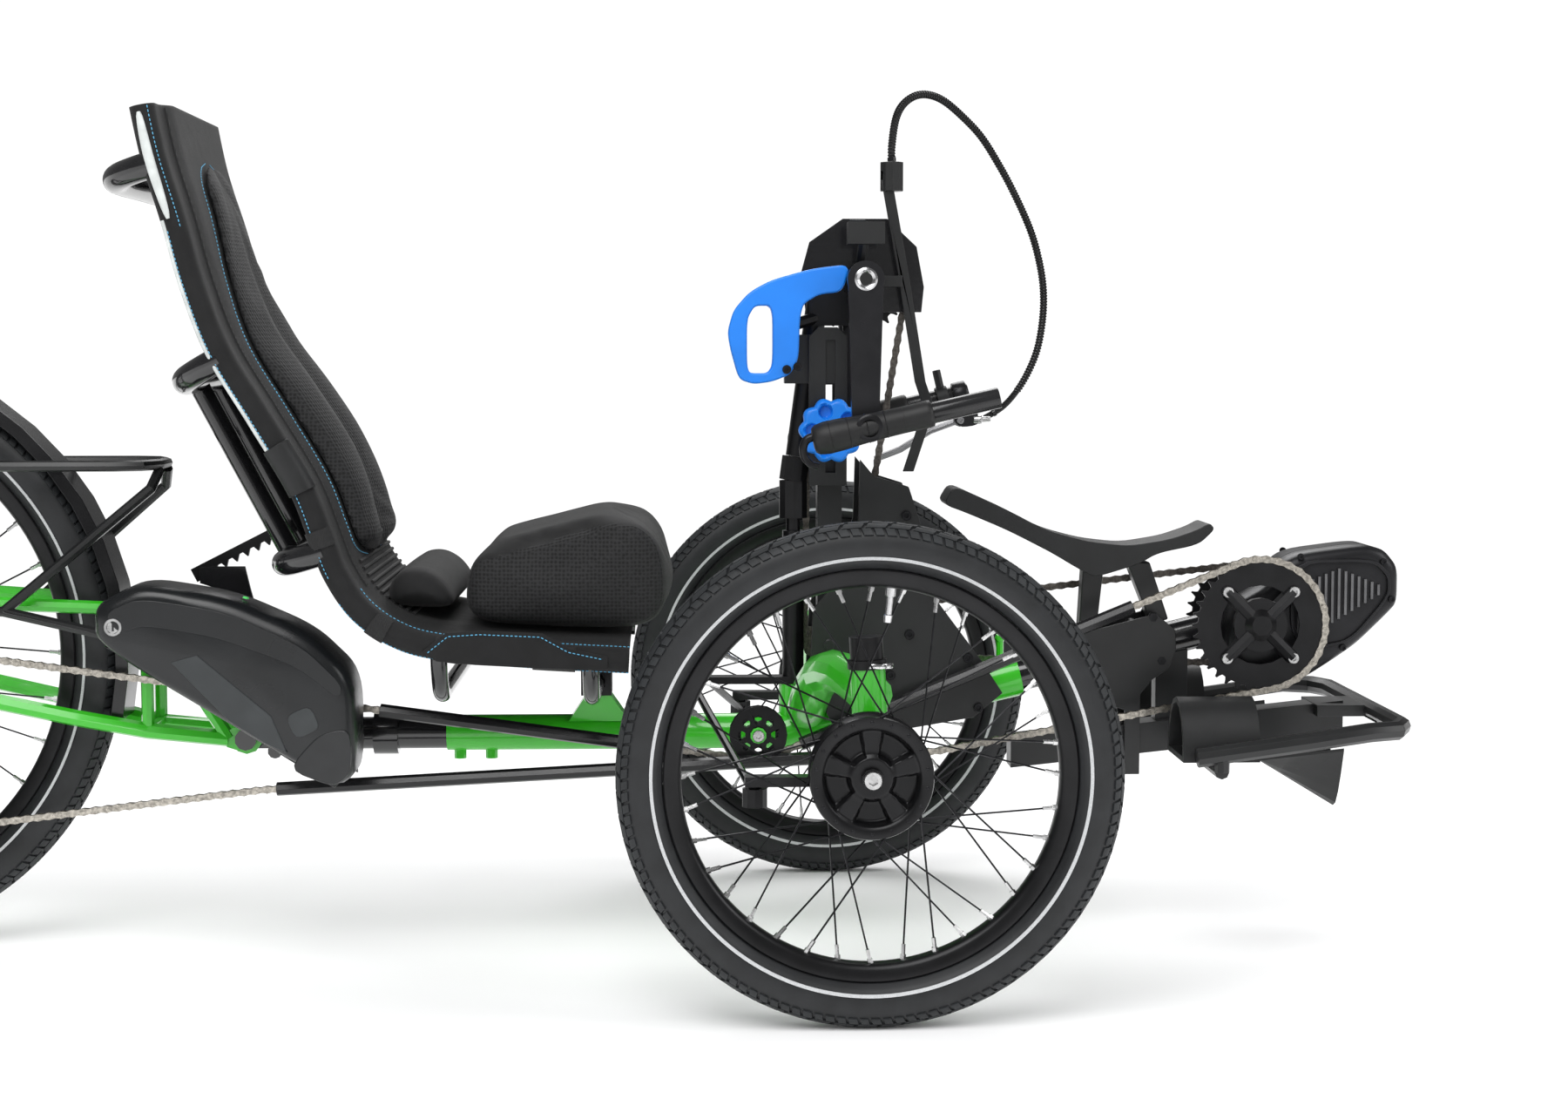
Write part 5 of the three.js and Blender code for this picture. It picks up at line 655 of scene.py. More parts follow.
def tread_form(wheel, name):
    """One pitch of the tread, on both sides of the crown, round a wheel axle at zero."""
    surface = tread_surface(wheel)
    pitch = 2 * math.pi / wheel["treads"]
    parts = []
    for side in (RIGHT, LEFT):
        stagger = 0.5 if side == RIGHT else 0.0
        for start, end, slant, inner, outer in TREAD_BLOCKS:
            rows = []
            for k in range(4):
                arc = inner + (outer - inner) * k / 3
                lift = TREAD_HEIGHT if k in (1, 2) else TREAD_HEIGHT * 0.94
                lean = slant * k / 3 + stagger
                base = on_tread(surface, side * arc, BLOCK_ROOT)
                top = on_tread(surface, side * arc, lift)
                row = []
                for share, (r, y), edge in ((start, base, 0), (start, top, BLOCK_DRAFT),
                                            (end, top, -BLOCK_DRAFT), (end, base, 0)):
                    angle = (share + lean + edge) * pitch
                    row.append(Vector((r * math.cos(angle), y, r * math.sin(angle))) / 1000)
                rows.append(row)
            vertices, faces = grid(rows)
            faces += [[0, 1, 2, 3], [12, 13, 14, 15]]
            parts.append((vertices, faces))
    return form_of(name, *gather(parts))


def make_tyre(name, wheel, centre, body):
    profile = [tuple(p) for p in smooth_line(carcass_profile(wheel), 3)]
    carcass = piece(f"{name}_tyre_carcass", *turned(profile, centre, WHEEL_SEGMENTS), body,
                    "sidewall_rubber", sharp=60)
    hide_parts(f"{name}_tyre")
    form = tread_form(wheel, f"{name}_tread_form")
    ring(f"{name}_tyre_tread", form, wheel["treads"], centre, body, "tread_rubber")
    depth = wheel["radius"] - wheel["bead"]
    stripes = []
    for side in (RIGHT, LEFT):
        inner = wheel["bead"] + 0.20 * depth
        y = side * wheel["half_width"]
        profile = [(inner, y * 0.80), (inner + 0.3, y * 0.93), (inner + 3.4, y * 0.988),
                   (inner + 3.8, y * 0.85)]
        stripes.append(turned(profile, centre, WHEEL_SEGMENTS))
    piece(f"{name}_tyre_stripe", *gather(stripes), body, "reflective_band")


def rim_radii(wheel):
    """The rim's outer and inner radius."""
    outer = wheel["bead"] - RIM_GAP
    return outer, outer - wheel["rim_depth"]


def make_rim(name, wheel, centre, body):
    outer, inner = rim_radii(wheel)
    half = wheel["rim_half"]
    profile = [(inner, -5), (inner + 2, -9), (inner + 6, -half + 0.6), (outer - 1.5, -half),
               (outer, -half + 1), (outer, half - 1), (outer - 1.5, half), (inner + 6, half - 0.6),
               (inner + 2, 9), (inner, 5)]
    rim = piece(f"{name}_rim_shell", *turned(profile, centre, WHEEL_SEGMENTS), body, "black_anodised")
    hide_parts(f"{name}_rim")


def spoke_ends(wheel):
    """Four spokes that cross, as (hub end, rim end) round an axle at zero, in metres."""
    ends = []
    seat = wheel["flange"] - 3
    rim_radius = rim_radii(wheel)[1]
    for i in range(4):
        outward = 1 if i % 2 == 0 else -1
        lead = 1 if i % 4 < 2 else -1
        rim_angle = i / wheel["spokes"] * 2 * math.pi
        hub_angle = rim_angle + lead * wheel["lead"] * 2 * math.pi
        hub_y = outward * (wheel["flange_half"] - 3 + lead * 1.5)
        rim_y = outward * 2.7
        at_hub = Vector((seat * math.cos(hub_angle), hub_y, seat * math.sin(hub_angle))) / 1000
        at_rim = Vector((rim_radius * math.cos(rim_angle), rim_y, rim_radius * math.sin(rim_angle))) / 1000
        ends.append((at_hub, at_rim))
    return ends


def make_spokes(name, wheel, centre, body):
    ends = spoke_ends(wheel)
    wires = form_of(f"{name}_wire_form", *gather([tube([a, b], SPOKE_RADIUS, 6) for a, b in ends]))
    ring(f"{name}_spokes", wires, wheel["spokes"] // 4, centre, body, "black_bolt")
    nipples = []
    for a, b in ends:
        along = (a - b).normalized()
        line = [b - along * 0.001, b + along * 0.004, b + along * 0.0042, b + along * 0.014]
        nipples.append(tube(line, NIPPLE_RADIUS, 6, share=lambda t: 1.35 if t < 0.5 else 0.9))
    form = form_of(f"{name}_nipple_form", *gather(nipples))
    ring(f"{name}_nipples", form, wheel["spokes"] // 4, centre, body, "zinc_bolt")


def dished(centre, side, face, radii, height, segments=180):
    """A round face across Y: height gives how far each place lies under the face, from radius and angle."""
    x, y, z = centre
    rows = []
    for k in range(segments):
        angle = 2 * math.pi * k / segments
        rows.append([at(x + r * math.cos(angle), y + side * (face - height(r, angle)),
                        z + r * math.sin(angle)) for r in radii])
    return grid(rows, close_rows=True)


def ease(low, high, value):
    t = min(1, max(0, (value - low) / (high - low)))
    return t * t * (3 - 2 * t)


DISH_ARMS, WINDOW_DEPTH, DISH_DEPTH = 5, 9.5, 3.0


def star_dish(radius, angle):
    """The front hub's cover: a shallow dish with deep windows between its arms."""
    arm = abs(((angle / (2 * math.pi) * DISH_ARMS + 0.25) % 1) - 0.5) * 2
    arm_width = 0.50 - 0.0042 * (radius - 16)
    window = ease(arm_width - 0.08, arm_width + 0.08, arm)
    inside = ease(20, 25, radius) * (1 - ease(44, 48, radius))
    return WINDOW_DEPTH * window * inside + DISH_DEPTH * ease(19, 25, radius) * (1 - ease(46, 50, radius))


FRONT_BORE, REAR_BORE = 8.6, 5.6
STUD_RING, STUD_COUNT, STUD_SIZE = 55, 18, 0.55
DISH_RADII = [FRONT_BORE, 14, 18, 19, 20, 21, 22, 23, 24, 25.5, 28, 31, 34, 37, 40, 42, 43.5, 45, 46, 47, 48,
              49, 50]


def make_hub(name, wheel, centre, side, body):
    half = wheel["flange_half"]
    flange = wheel["flange"]
    x, y, z = centre
    if wheel is FRONT:
        back = [(FRONT_BORE, -half), (flange, -half), (flange + 1, -half + 2), (flange, -half + 5),
                (50, -half + 9), (48, 0), (50, half - 9), (flange, half - 5), (flange + 1, half - 2.5),
                (flange, half), (52, half + 0.6), (50, half - 0.4)]
        body_parts = turned([(r, across * side) for r, across in back], centre, 120, closed=False)
        dish = dished(centre, side, half - 0.4, DISH_RADII, star_dish)
        hub = piece(f"{name}_hub_shell", *gather([body_parts, dish]), body, "black_anodised", sharp=50)
        studs = [((x + STUD_RING * math.cos(a), y + side * half, z + STUD_RING * math.sin(a)), (0, side, 0),
                  STUD_SIZE) for a in (2 * math.pi * (k + 0.5) / STUD_COUNT for k in range(STUD_COUNT))]
        fixings(f"{name}_hub_studs", FORMS["dome"], studs, body, "black_bolt")
    else:
        profile = [(REAR_BORE, -28), (16, -28), (18, -26), (34, -26), (35, -23), (33, -20), (24, -18),
                   (21, 0), (24, 18), (33, 20), (35, 23), (34, 26), (18, 26), (16, 28), (REAR_BORE, 28)]
        hub = piece(f"{name}_hub_shell", *turned(profile, centre, 96), body, "black_anodised")
    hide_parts(f"{name}_hub")


def make_valve(name, wheel, centre, body):
    inner = rim_radii(wheel)[1]
    out = Vector((math.cos(VALVE_ANGLE), 0, math.sin(VALVE_ANGLE)))
    stem = [at(*(Vector(centre) + out * (inner - down))) for down in (-3, 8, 9, 26, 27, 34)]
    shares = (1.5, 1.5, 0.95, 0.95, 1.3, 1.1)
    steps = len(stem) - 1
    piece(f"{name}_valve", *tube(stem, VALVE_RADIUS, 16, share=lambda t: shares[round(t * steps)]), body,
          "polished_alloy")


def make_wheels():
    for name, wheel, centre, side, body in WHEELS:
        make_tyre(name, wheel, centre, body)
        make_rim(name, wheel, centre, body)
        make_spokes(name, wheel, centre, body)
        make_hub(name, wheel, centre, side, body)
        make_valve(name, wheel, centre, body)


# Small forms that are repeated, each turned about its own Z, which points outwards
FORM_ROOT = -1


def turned_form(name, profile, sides, closed=False):
    """A form from a profile of (radius, height) in millimetres, or of a profile for each angle."""
    rows = []
    for k in range(sides):
        angle = 2 * math.pi * k / sides
        rows.append([Vector((r * math.cos(angle), r * math.sin(angle), h)) / 1000
                     for r, h in (profile(angle) if callable(profile) else profile)])
    return form_of(name, *grid(rows, close_rows=True, close_columns=closed))


def hex_cosine(angle):
    """A hexagon's half width divided by this is its reach at an angle."""
    return math.cos((angle + math.pi / 6) % (math.pi / 3) - math.pi / 6)


def screw_form(name, radius, height, socket, socket_depth):
    """A round head with a six-sided socket."""
    def profile(angle):
        reach = socket * (0.9 * (1 / hex_cosine(angle)))
        return [(0, height - socket_depth), (reach, height - socket_depth), (reach, height),
                (radius - 0.5, height), (radius, height - 0.7), (radius, FORM_ROOT), (0, FORM_ROOT)]

    return turned_form(name, profile, 24)


def dome_form(name, radius, height):
    crown = [(radius * math.cos(t), height * math.sin(t)) for t in (0, 0.4, 0.8, 1.2, math.pi / 2)]
    return turned_form(name, [(radius, FORM_ROOT), *crown, (0, FORM_ROOT)], 16, closed=True)


def hex_form(name, radius, height):
    profile = [(0, height), (radius * 0.86, height), (radius, height - 0.8), (radius, FORM_ROOT),
               (0, FORM_ROOT)]
    return turned_form(name, profile, 6)


def stitch_form(name):
    return turned_form(name, [(0, -1.6), (0.45, -1.1), (0.55, 0), (0.45, 1.1), (0, 1.6)], 6)


def coil_form(name, radius, wire):
    """One turn of the spiral wrap."""
    profile = [(radius + wire * math.cos(t), wire * math.sin(t)) for t in (0, 1.57, 3.14, 4.71)]
    return turned_form(name, profile, 14, closed=True)


# Chains and sprockets
PITCH = 12.7
BOOM_ANGLE = math.radians(13.5)
MOTOR_AXLE = (-62 + 531 * math.cos(BOOM_ANGLE), 238 + 531 * math.sin(BOOM_ANGLE))
CRANK = (14, 741)
JACKSHAFT = (-22, 340)
IDLER = (-101, 243)
GUIDE_PULLEY = (-1128, 252)
TENSION_PULLEY = (-1112, 150)
DRIVE_Y, CASSETTE_Y, RETURN_Y, CRANK_Y, BOOM_Y = -62, -48, -80, 22.5, 54
# Each wheel of a chain: x, z, y, teeth (0 is a plain bend) and the way it turns
DRIVE_CHAIN = [(*MOTOR_AXLE, DRIVE_Y, 36, 1), (*IDLER, DRIVE_Y, 14, -1), (*REAR_AXLE, CASSETTE_Y, 13, 1),
               (*GUIDE_PULLEY, CASSETTE_Y, 11, -1), (*TENSION_PULLEY, CASSETTE_Y, 11, 1),
               (-640, 188, RETURN_Y, 0, 1), (95, 226, RETURN_Y, 0, 1)]
CRANK_CHAIN = [(*CRANK, CRANK_Y, 27, 1), (*JACKSHAFT, CRANK_Y, 12, 1)]
BOOM_CHAIN = [(*MOTOR_AXLE, BOOM_Y, 28, 1), (*JACKSHAFT, BOOM_Y, 12, 1)]


def pitch_radius(teeth):
    return teeth * PITCH / (2 * math.pi)


def chain_path(wheels):
    """Points of a chain's middle line round its wheels, in millimetres."""
    runs = []
    for (x, z, y, teeth, turn), (x2, z2, y2, teeth2, turn2) in zip(wheels, wheels[1:] + wheels[:1]):
        leave, arrive = pitch_radius(teeth) * turn, pitch_radius(teeth2) * turn2
        angle = math.atan2(z2 - z, x2 - x) + math.asin((leave - arrive) / math.hypot(x2 - x, z2 - z))
        out = (math.sin(angle), -math.cos(angle))
        runs.append(((x + leave * out[0], y, z + leave * out[1]),
                     (x2 + arrive * out[0], y2, z2 + arrive * out[1])))
    points = []
    for i, (x, z, y, teeth, turn) in enumerate(wheels):
        arriving, leaving = runs[i - 1][1], runs[i][0]
        points.append(arriving)
        if teeth == 0:
            continue
        first = math.atan2(arriving[2] - z, arriving[0] - x)
        swept = ((math.atan2(leaving[2] - z, leaving[0] - x) - first) * turn) % (2 * math.pi)
        steps = max(2, math.ceil(swept / math.radians(7)))
        radius = pitch_radius(teeth)
        for k in range(1, steps + 1):
            angle = first + turn * swept * k / steps
            points.append((x + radius * math.cos(angle), y, z + radius * math.sin(angle)))
    return points


def link_form(name, plate_y, thick):
    """Two plates with waisted sides and a roller, one pitch long, round the link's middle."""
    half, eye, waist = PITCH / 2, 4.1, 2.9
    outline = []
    for centre, start in ((half, -90), (-half, 90)):
        outline += [(centre + eye * math.cos(a), eye * math.sin(a))
                    for a in (math.radians(start + d) for d in (0, 45, 90, 135, 180))]
        outline.append((0, waist if start == -90 else -waist))
    parts = []
    for side in (RIGHT, LEFT):
        y0, y1 = side * plate_y, side * (plate_y + thick)
        vertices = [Vector((x, y, z)) / 1000 for y in (y0, y1) for x, z in outline]
        count = len(outline)
        faces = [list(range(count)), [count + k for k in range(count)]]
        faces += [[k, (k + 1) % count, count + (k + 1) % count, count + k] for k in range(count)]
        parts.append((vertices, faces))
    pin = [Vector((-half, y, 0)) / 1000 for y in (-plate_y - thick - 0.5, plate_y + thick + 0.5)]
    roller = [Vector((-half, y, 0)) / 1000 for y in (-1.2, 1.2)]
    parts += [tube(pin, 1.7, 8), tube(roller, 3.8, 10)]
    return form_of(name, *gather(parts))


def make_chain(name, wheels, body, finish):
    path = chain_path(wheels)
    mesh = bpy.data.meshes.new(f"{name}_path")
    edges = [(i, (i + 1) % len(path)) for i in range(len(path))]
    mesh.from_pydata([tuple(at(*p)) for p in path], edges, [])
    length = sum((Vector(a) - Vector(b)).length for a, b in zip(path, path[1:] + path[:1]))
    links = 2 * round(length / PITCH / 2)
    inputs = {"Form": FORMS["inner_link"], "Other Form": FORMS["outer_link"], "Count": links}
    made = grown(f"{name}_links", CHAIN, mesh, inputs, body, finish)
    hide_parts(name)


def tooth_form(name, teeth, thick, root):
    """One tooth of a sprocket and the stretch of ring under it, round an axle at zero."""
    step = 2 * math.pi / teeth
    radius = pitch_radius(teeth)
    half = [(root, 0.5), (radius - 3.9, 0.5), (radius - 3.7, 0.30), (radius - 1.2, 0.17),
            (radius + 2.6, 0.07)]
    outline = [(r, -share) for r, share in half] + half[::-1]
    vertices = []
    for y in (-thick / 2, thick / 2):
        vertices += [Vector((r * math.cos(share * step), y, r * math.sin(share * step))) / 1000
                     for r, share in outline]
    count = len(outline)
    faces = [list(range(count)), [count + k for k in range(count)]]
    faces += [[k, k + 1, count + k + 1, count + k] for k in range(count - 1)]
    return form_of(name, vertices, faces)


# Toothed rings: name, x, z, y, teeth, thickness, body, finish
SPROCKETS = [
    ("motor_ring_teeth", *MOTOR_AXLE, DRIVE_Y, 36, 3.2, "chainring", "black_anodised"),
    ("boom_ring_teeth", *MOTOR_AXLE, BOOM_Y, 28, 3.2, "chainring", "black_anodised"),
    ("crank_ring_teeth", *CRANK, CRANK_Y, 27, 3.2, "crank", "black_anodised"),
    ("shaft_ring_teeth", *JACKSHAFT, CRANK_Y, 12, 3.2, "jackshaft", "chain_dark"),
    ("shaft_boom_ring_teeth", *JACKSHAFT, BOOM_Y, 12, 3.2, "jackshaft", "chain_dark"),
    ("idler_teeth", *IDLER, DRIVE_Y, 14, 3.0, "idler", "black_bolt"),
    ("cassette_teeth", *REAR_AXLE, CASSETTE_Y, 13, 2.0, "rear_wheel", "chain_nickel"),
    ("cassette_mid_teeth", *REAR_AXLE, CASSETTE_Y + 5.5, 17, 2.0, "rear_wheel", "chain_nickel"),
    ("cassette_large_teeth", *REAR_AXLE, CASSETTE_Y + 11, 21, 2.0, "rear_wheel", "chain_nickel"),
    ("guide_pulley_teeth", *GUIDE_PULLEY, CASSETTE_Y, 11, 2.6, "frame", "moulded_black"),
    ("tension_pulley_teeth", *TENSION_PULLEY, CASSETTE_Y, 11, 2.6, "frame", "moulded_black"),
]


def make_sprockets():
    for name, x, z, y, teeth, thick, body, finish in SPROCKETS:
        root = max(6, pitch_radius(teeth) - 9)
        ring(name, tooth_form(name + "_form", teeth, thick, root), teeth, (x, y, z), body, finish)


def make_chains():
    make_chain("drive_chain", DRIVE_CHAIN, "frame", "chain_nickel")
    make_chain("boom_chain", BOOM_CHAIN, "frame", "chain_dark")
    make_chain("crank_chain", CRANK_CHAIN, "crank_head", "chain_dark")


def spun(profile, origin, axis, segments=40):
    """A shape turned about any axis from a profile of [along it, radius], in millimetres."""
    axis = Vector(axis).normalized()
    across = axis.orthogonal().normalized()
    up = axis.cross(across)
    rows = []
    for k in range(segments):
        angle = 2 * math.pi * k / segments
        out = across * math.cos(angle) + up * math.sin(angle)
        rows.append([at(*origin) + (axis * along + out * radius) / 1000 for along, radius in profile])
    return grid(rows, close_rows=True)


# Seat: the rail in side view from the head down to the front edge
RAIL_SHARES = [(0, 1), (0.022, 0.908), (0.059, 0.8), (0.095, 0.683), (0.147, 0.563), (0.228, 0.445),
               (0.313, 0.32), (0.352, 0.233), (0.384, 0.16), (0.438, 0.092), (0.519, 0.045), (0.616, 0.024),
               (0.798, 0.01), (1, 0)]
RAIL = [(-735 + across * 495, 340 + up * 575) for across, up in RAIL_SHARES]
RAIL_HALF = 182
CLOTH_LIFT = 12.6
CLOTH_THICKNESS = 0.0014
PAD_RISE = 8.6
PAD_BASE = 24.2
STEPS = 10


def rail_line(first, last):
    """Places along the rail between two of its corners, as (x, z, facing x, facing z, run)."""
    curve = smooth_line([Vector(p) for p in RAIL], STEPS)
    places = []
    run = 0.0
    for i in range(round(first * STEPS), round(last * STEPS) + 1):
        before, after = curve[max(i - 1, 0)], curve[min(i + 1, len(curve) - 1)]
        along = (after - before).normalized()
        if places:
            run += (curve[i] - curve[i - 1]).length
        places.append((curve[i][0], curve[i][1], -along[1], along[0], run))
    return places


def on_rail(place, y, lift):
    x, z, facing_x, facing_z, _ = place
    return at(x + facing_x * lift, y, z + facing_z * lift)


def sling_lift(y):
    """How far the cloth stands off the rail's middle: it lies on the rails and rises under the pads."""
    return CLOTH_LIFT + PAD_RISE * (1 - ease(128, 170, abs(y)))


def sling_section():
    """Half of the cloth's way across, as (y, lift): from under the rail, round it and to the middle."""
    wrap = [(RAIL_HALF + CLOTH_LIFT * math.sin(a), CLOTH_LIFT * math.cos(a))
            for a in (math.radians(d) for d in range(210, 0, -14))]
    return wrap + [(y, sling_lift(y)) for y in (*range(180, 123, -8), 105, 85, 65, 45, 22)]


def make_sling():
    half = sling_section()
    section = [*half, (0, sling_lift(0)), *((-y, lift) for y, lift in reversed(half))]
    places = rail_line(0, len(RAIL) - 1)
    rows = [[on_rail(p, y, lift) for y, lift in section] for p in places]
    across = [0.0]
    for (y0, l0), (y1, l1) in zip(section, section[1:]):
        across.append(across[-1] + math.hypot(y1 - y0, l1 - l0) / 1000)
    uv = [(a, p[4] / 1000) for p in places for a in across]
    vertices, faces = grid(rows)
    sling = piece("seat_sling", vertices, faces, "seat", "seat_cloth", sharp=80, uv=uv)
    thick = sling.modifiers.new("cloth", "SOLIDIFY")
    thick.thickness = CLOTH_THICKNESS
    thick.offset = 0
    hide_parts("seat_fabric")


# Padded pieces: a rough closed form, remeshed and blown up a little as cloth, then painted by panels
def stuffed(name, rough, voxel, pressure, limit, held, body):
    """A padded form from (vertices, faces). held says which points of it stay still."""
    mesh = mesh_of(name, *rough)
    clean(mesh, PAD_MERGE)
    holder = in_scene(name + "_rough", mesh)
    remesh = holder.modifiers.new("remesh", "REMESH")
    remesh.mode = "VOXEL"
    remesh.voxel_size = voxel / 1000
    made = in_scene(name, settled(holder))
    bpy.data.objects.remove(holder)
    relax(made, 0.5, 4)
    inflate(made, pressure, limit / 1000, held)
    relax(made, 0.5, 3)
    finer = made.modifiers.new("finer", "SUBSURF")
    finer.levels = finer.render_levels = 1
    made.data.shade_smooth()
    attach(made, body)
    return made


def relax(obj, factor, times):
    work = bmesh.new()
    work.from_mesh(obj.data)
    for _ in range(times):
        bmesh.ops.smooth_vert(work, verts=work.verts, factor=factor, use_axis_x=True, use_axis_y=True,
                              use_axis_z=True)
    work.to_mesh(obj.data)
    work.free()


FILLING_FRAMES = 20


def inflate(obj, pressure, limit, held):
    """Blows the cloth up from inside, with its held points pinned, and lets no point move past the limit."""
    start = [v.co.copy() for v in obj.data.vertices]
    group = obj.vertex_groups.new(name="held")
    group.add([i for i, co in enumerate(start) if held(co)], 1.0, "REPLACE")
    cloth = obj.modifiers.new("filling", "CLOTH")
    settings = cloth.settings
    settings.quality = 4
    settings.mass = 0.3
    settings.use_pressure = True
    settings.uniform_pressure_force = pressure
    settings.vertex_group_mass = "held"
    settings.effector_weights.gravity = 0
    for number in range(1, FILLING_FRAMES + 1):
        scene.frame_set(number)
    mesh = settled(obj)
    for i, vertex in enumerate(mesh.vertices):
        moved = vertex.co - start[i]
        if moved.length > limit:
            vertex.co = start[i] + moved.normalized() * limit
    obj.modifiers.remove(cloth)
    obj.vertex_groups.clear()
    obj.data = mesh
    scene.frame_set(1)


def panels(obj, chosen, finish_names):
    """Paints each face with the finish that chosen gives it, and lays a pattern on it in metres."""
    mesh = obj.data
    mesh.materials.clear()
    for name in finish_names:
        mesh.materials.append(finishes[name])
    layer = mesh.uv_layers.new(name="UVMap")
    for face in mesh.polygons:
        face.material_index = chosen(face.center, face.normal)
        size = [abs(c) for c in face.normal]
        first, second = ((1, 2), (0, 2), (0, 1))[size.index(max(size))]
        for corner in face.loop_indices:
            co = mesh.vertices[mesh.loops[corner].vertex_index].co
            layer.data[corner].uv = (co[first], co[second])
    mesh.shade_smooth()


PAD_LINE = rail_line(1.0, 8.0)
CHANNEL_HALF = 0.014


def pad_half(share):
    """Half the back pad's width: a rounded tongue that widens towards the waist."""
    top = math.sqrt(1 - (1 - min(1, share / 0.09)) ** 2)
    end = math.sqrt(1 - (1 - min(1, (1 - share) / 0.06)) ** 2)
    return (72 + 50 * ease(0.02, 0.55, share)) * max(0.12, top) * max(0.3, end)


def pad_height(share, across):
    """The back pad's height over the sling: two bolsters with a channel between them."""
    thick = 9 + 15 * ease(0.15, 0.75, share)
    thick = thick * min(1, 0.35 + share / 0.1) * min(1, 0.45 + (1 - share) / 0.08)
    edge = (1 - min(1, abs(across)) ** 5) ** 0.5
    channel = 1 - 0.62 * math.exp(-(across / 0.24) ** 2)
    return thick * edge * channel


def make_back_pad():
    rows = []
    total = PAD_LINE[-1][4]
    for place in PAD_LINE:
        share = place[4] / total
        half = pad_half(share)
        shares = [k / 12 for k in range(-12, 13)]
        row = [on_rail(place, a * half, PAD_BASE + 1 + pad_height(share, a)) for a in shares]
        row += [on_rail(place, a * half, PAD_BASE) for a in reversed(shares[1:-1])]
        rows.append(row)
    vertices, faces = grid(rows, close_columns=True)
    lines = [(Vector(((p[0] + SHIFT_X) / 1000, 0, p[1] / 1000)), Vector((p[2], 0, p[3]))) for p in PAD_LINE]

    def near_sling(co):
        spot, facing = min(lines, key=lambda line: ((co[0] - line[0][0]) ** 2 + (co[2] - line[0][2]) ** 2))
        return (co - spot).dot(facing) < (PAD_BASE + 3) / 1000

    pad = stuffed("back_bolsters", (vertices, faces + caps(rows)), 4.5, 4, 6, near_sling, "seat")
    panels(pad, lambda centre, normal: 1 if abs(centre[1]) < CHANNEL_HALF else 0,
           ["spacer_mesh", "seat_cloth"])
    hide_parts("back_pad")


CUSHION_SHARES = [(0, 0), (0, 0.64), (0.29, 0.79), (0.71, 1), (0.88, 1), (0.98, 0.79), (1, 0.47),
                  (0.99, 0.16), (0.94, 0), (0.83, -0.06), (0.53, -0.06)]
CUSHION_BOX = (-417, 374, 220, 116)
CUSHION_LEVELS = [(-158, 26), (-156, 12), (-149, 3), (-138, 0), (-70, -1), (0, -2), (70, -1), (138, 0),
                  (149, 3), (156, 12), (158, 26)]
ROLL_LEVELS = [(-150, 20), (-146, 8), (-136, 1), (-60, 0), (60, 0), (136, 1), (146, 8), (150, 20)]


def make_cushion():
    x, z, length, height = CUSHION_BOX
    outline = smooth_outline(outline_of(CUSHION_SHARES, x + 3, z + 3, length - 6, height - 8))
    cushion = stuffed("seat_wedge", shell(outline, CUSHION_LEVELS), 6, 4, 8, lambda co: co[2] < 0.384, "seat")

    def panel(centre, normal):
        """Mesh on the sides, under a seam that climbs to the front, and cloth elsewhere."""
        seam = 0.374 + 0.062 + 0.30 * max(0, centre[0] - at(x, 0, 0)[0])
        return 1 if abs(normal[1]) > 0.45 and centre[2] < seam else 0

    panels(cushion, panel, ["seat_cloth", "spacer_mesh"])
    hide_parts("seat_cushion")


def make_roll():
    """The small roll that fills the bend behind the wedge."""
    outline = smooth_outline([(-497, 392), (-498, 414), (-484, 432), (-462, 436), (-440, 424), (-426, 404),
                              (-424, 391)])
    roll = stuffed("waist_roll", shell(outline, ROLL_LEVELS), 5, 4, 6, lambda co: co[2] < 0.393, "seat")
    panels(roll, lambda centre, normal: 0, ["seat_cloth"])


def evenly(points, step):
    """Places along a line of points in metres, a step in millimetres apart, as (place, direction)."""
    places = []
    left = 0.0
    for a, b in zip(points, points[1:]):
        length = (b - a).length * 1000
        while left < length:
            places.append((a.lerp(b, left / length), (b - a).normalized()))
            left += step
        left -= length
    return places


STITCH_STEP = 4.6


def stitched(name, lines):
    """Rows of short stitches on the seat along lines of points in metres."""
    places = [(*place, 1.0) for line in lines for place in evenly(line, STITCH_STEP)]
    return spread(name, FORMS["stitch"], places, "seat", "stitch_thread")


def pad_border(side, extra):
    """A line on the sling round one side of the back pad."""
    total = PAD_LINE[-1][4]
    points = []
    for place in PAD_LINE:
        y = side * (pad_half(place[4] / total) + extra)
        points.append(on_rail(place, y, sling_lift(y) + 1.0))
    return points


def around_rail(place, side, degrees, lift=CLOTH_LIFT + 1.2):
    angle = math.radians(degrees)
    return on_rail(place, side * (RAIL_HALF + lift * math.sin(angle)), lift * math.cos(angle))


def make_seams():
    lines = []
    for side in (RIGHT, LEFT):
        lines.append(pad_border(side, 6))
        lines.append([around_rail(p, side, 120) for p in rail_line(2.2, 8.0)])
        lines.append([around_rail(p, side, 60) for p in rail_line(0.1, 2.2)])
        lines.append([around_rail(p, side, 150) for p in rail_line(8.6, 13)])
        lines.append([on_rail(p, side * (RAIL_HALF - 6), CLOTH_LIFT + 1.2) for p in rail_line(8.6, 13)])
    stitched("seat_stitches", lines)


def rail_wrap(places, side, degrees, inner, outer):
    """A strap round a rail along its places, between two lifts over the cloth."""
    rows = []
    for p in places:
        under = [around_rail(p, side, d, CLOTH_LIFT + inner) for d in degrees]
        over = [around_rail(p, side, d, CLOTH_LIFT + outer) for d in degrees]
        rows.append([*under, *reversed(over)])
    vertices, faces = grid(rows, close_columns=True)
    return vertices, faces + caps(rows)


WELT_Y = RAIL_HALF - 30
STRAP_STARTS, STRAP_LENGTH = (6.9, 9.3, 10.8, 12.0), 0.4


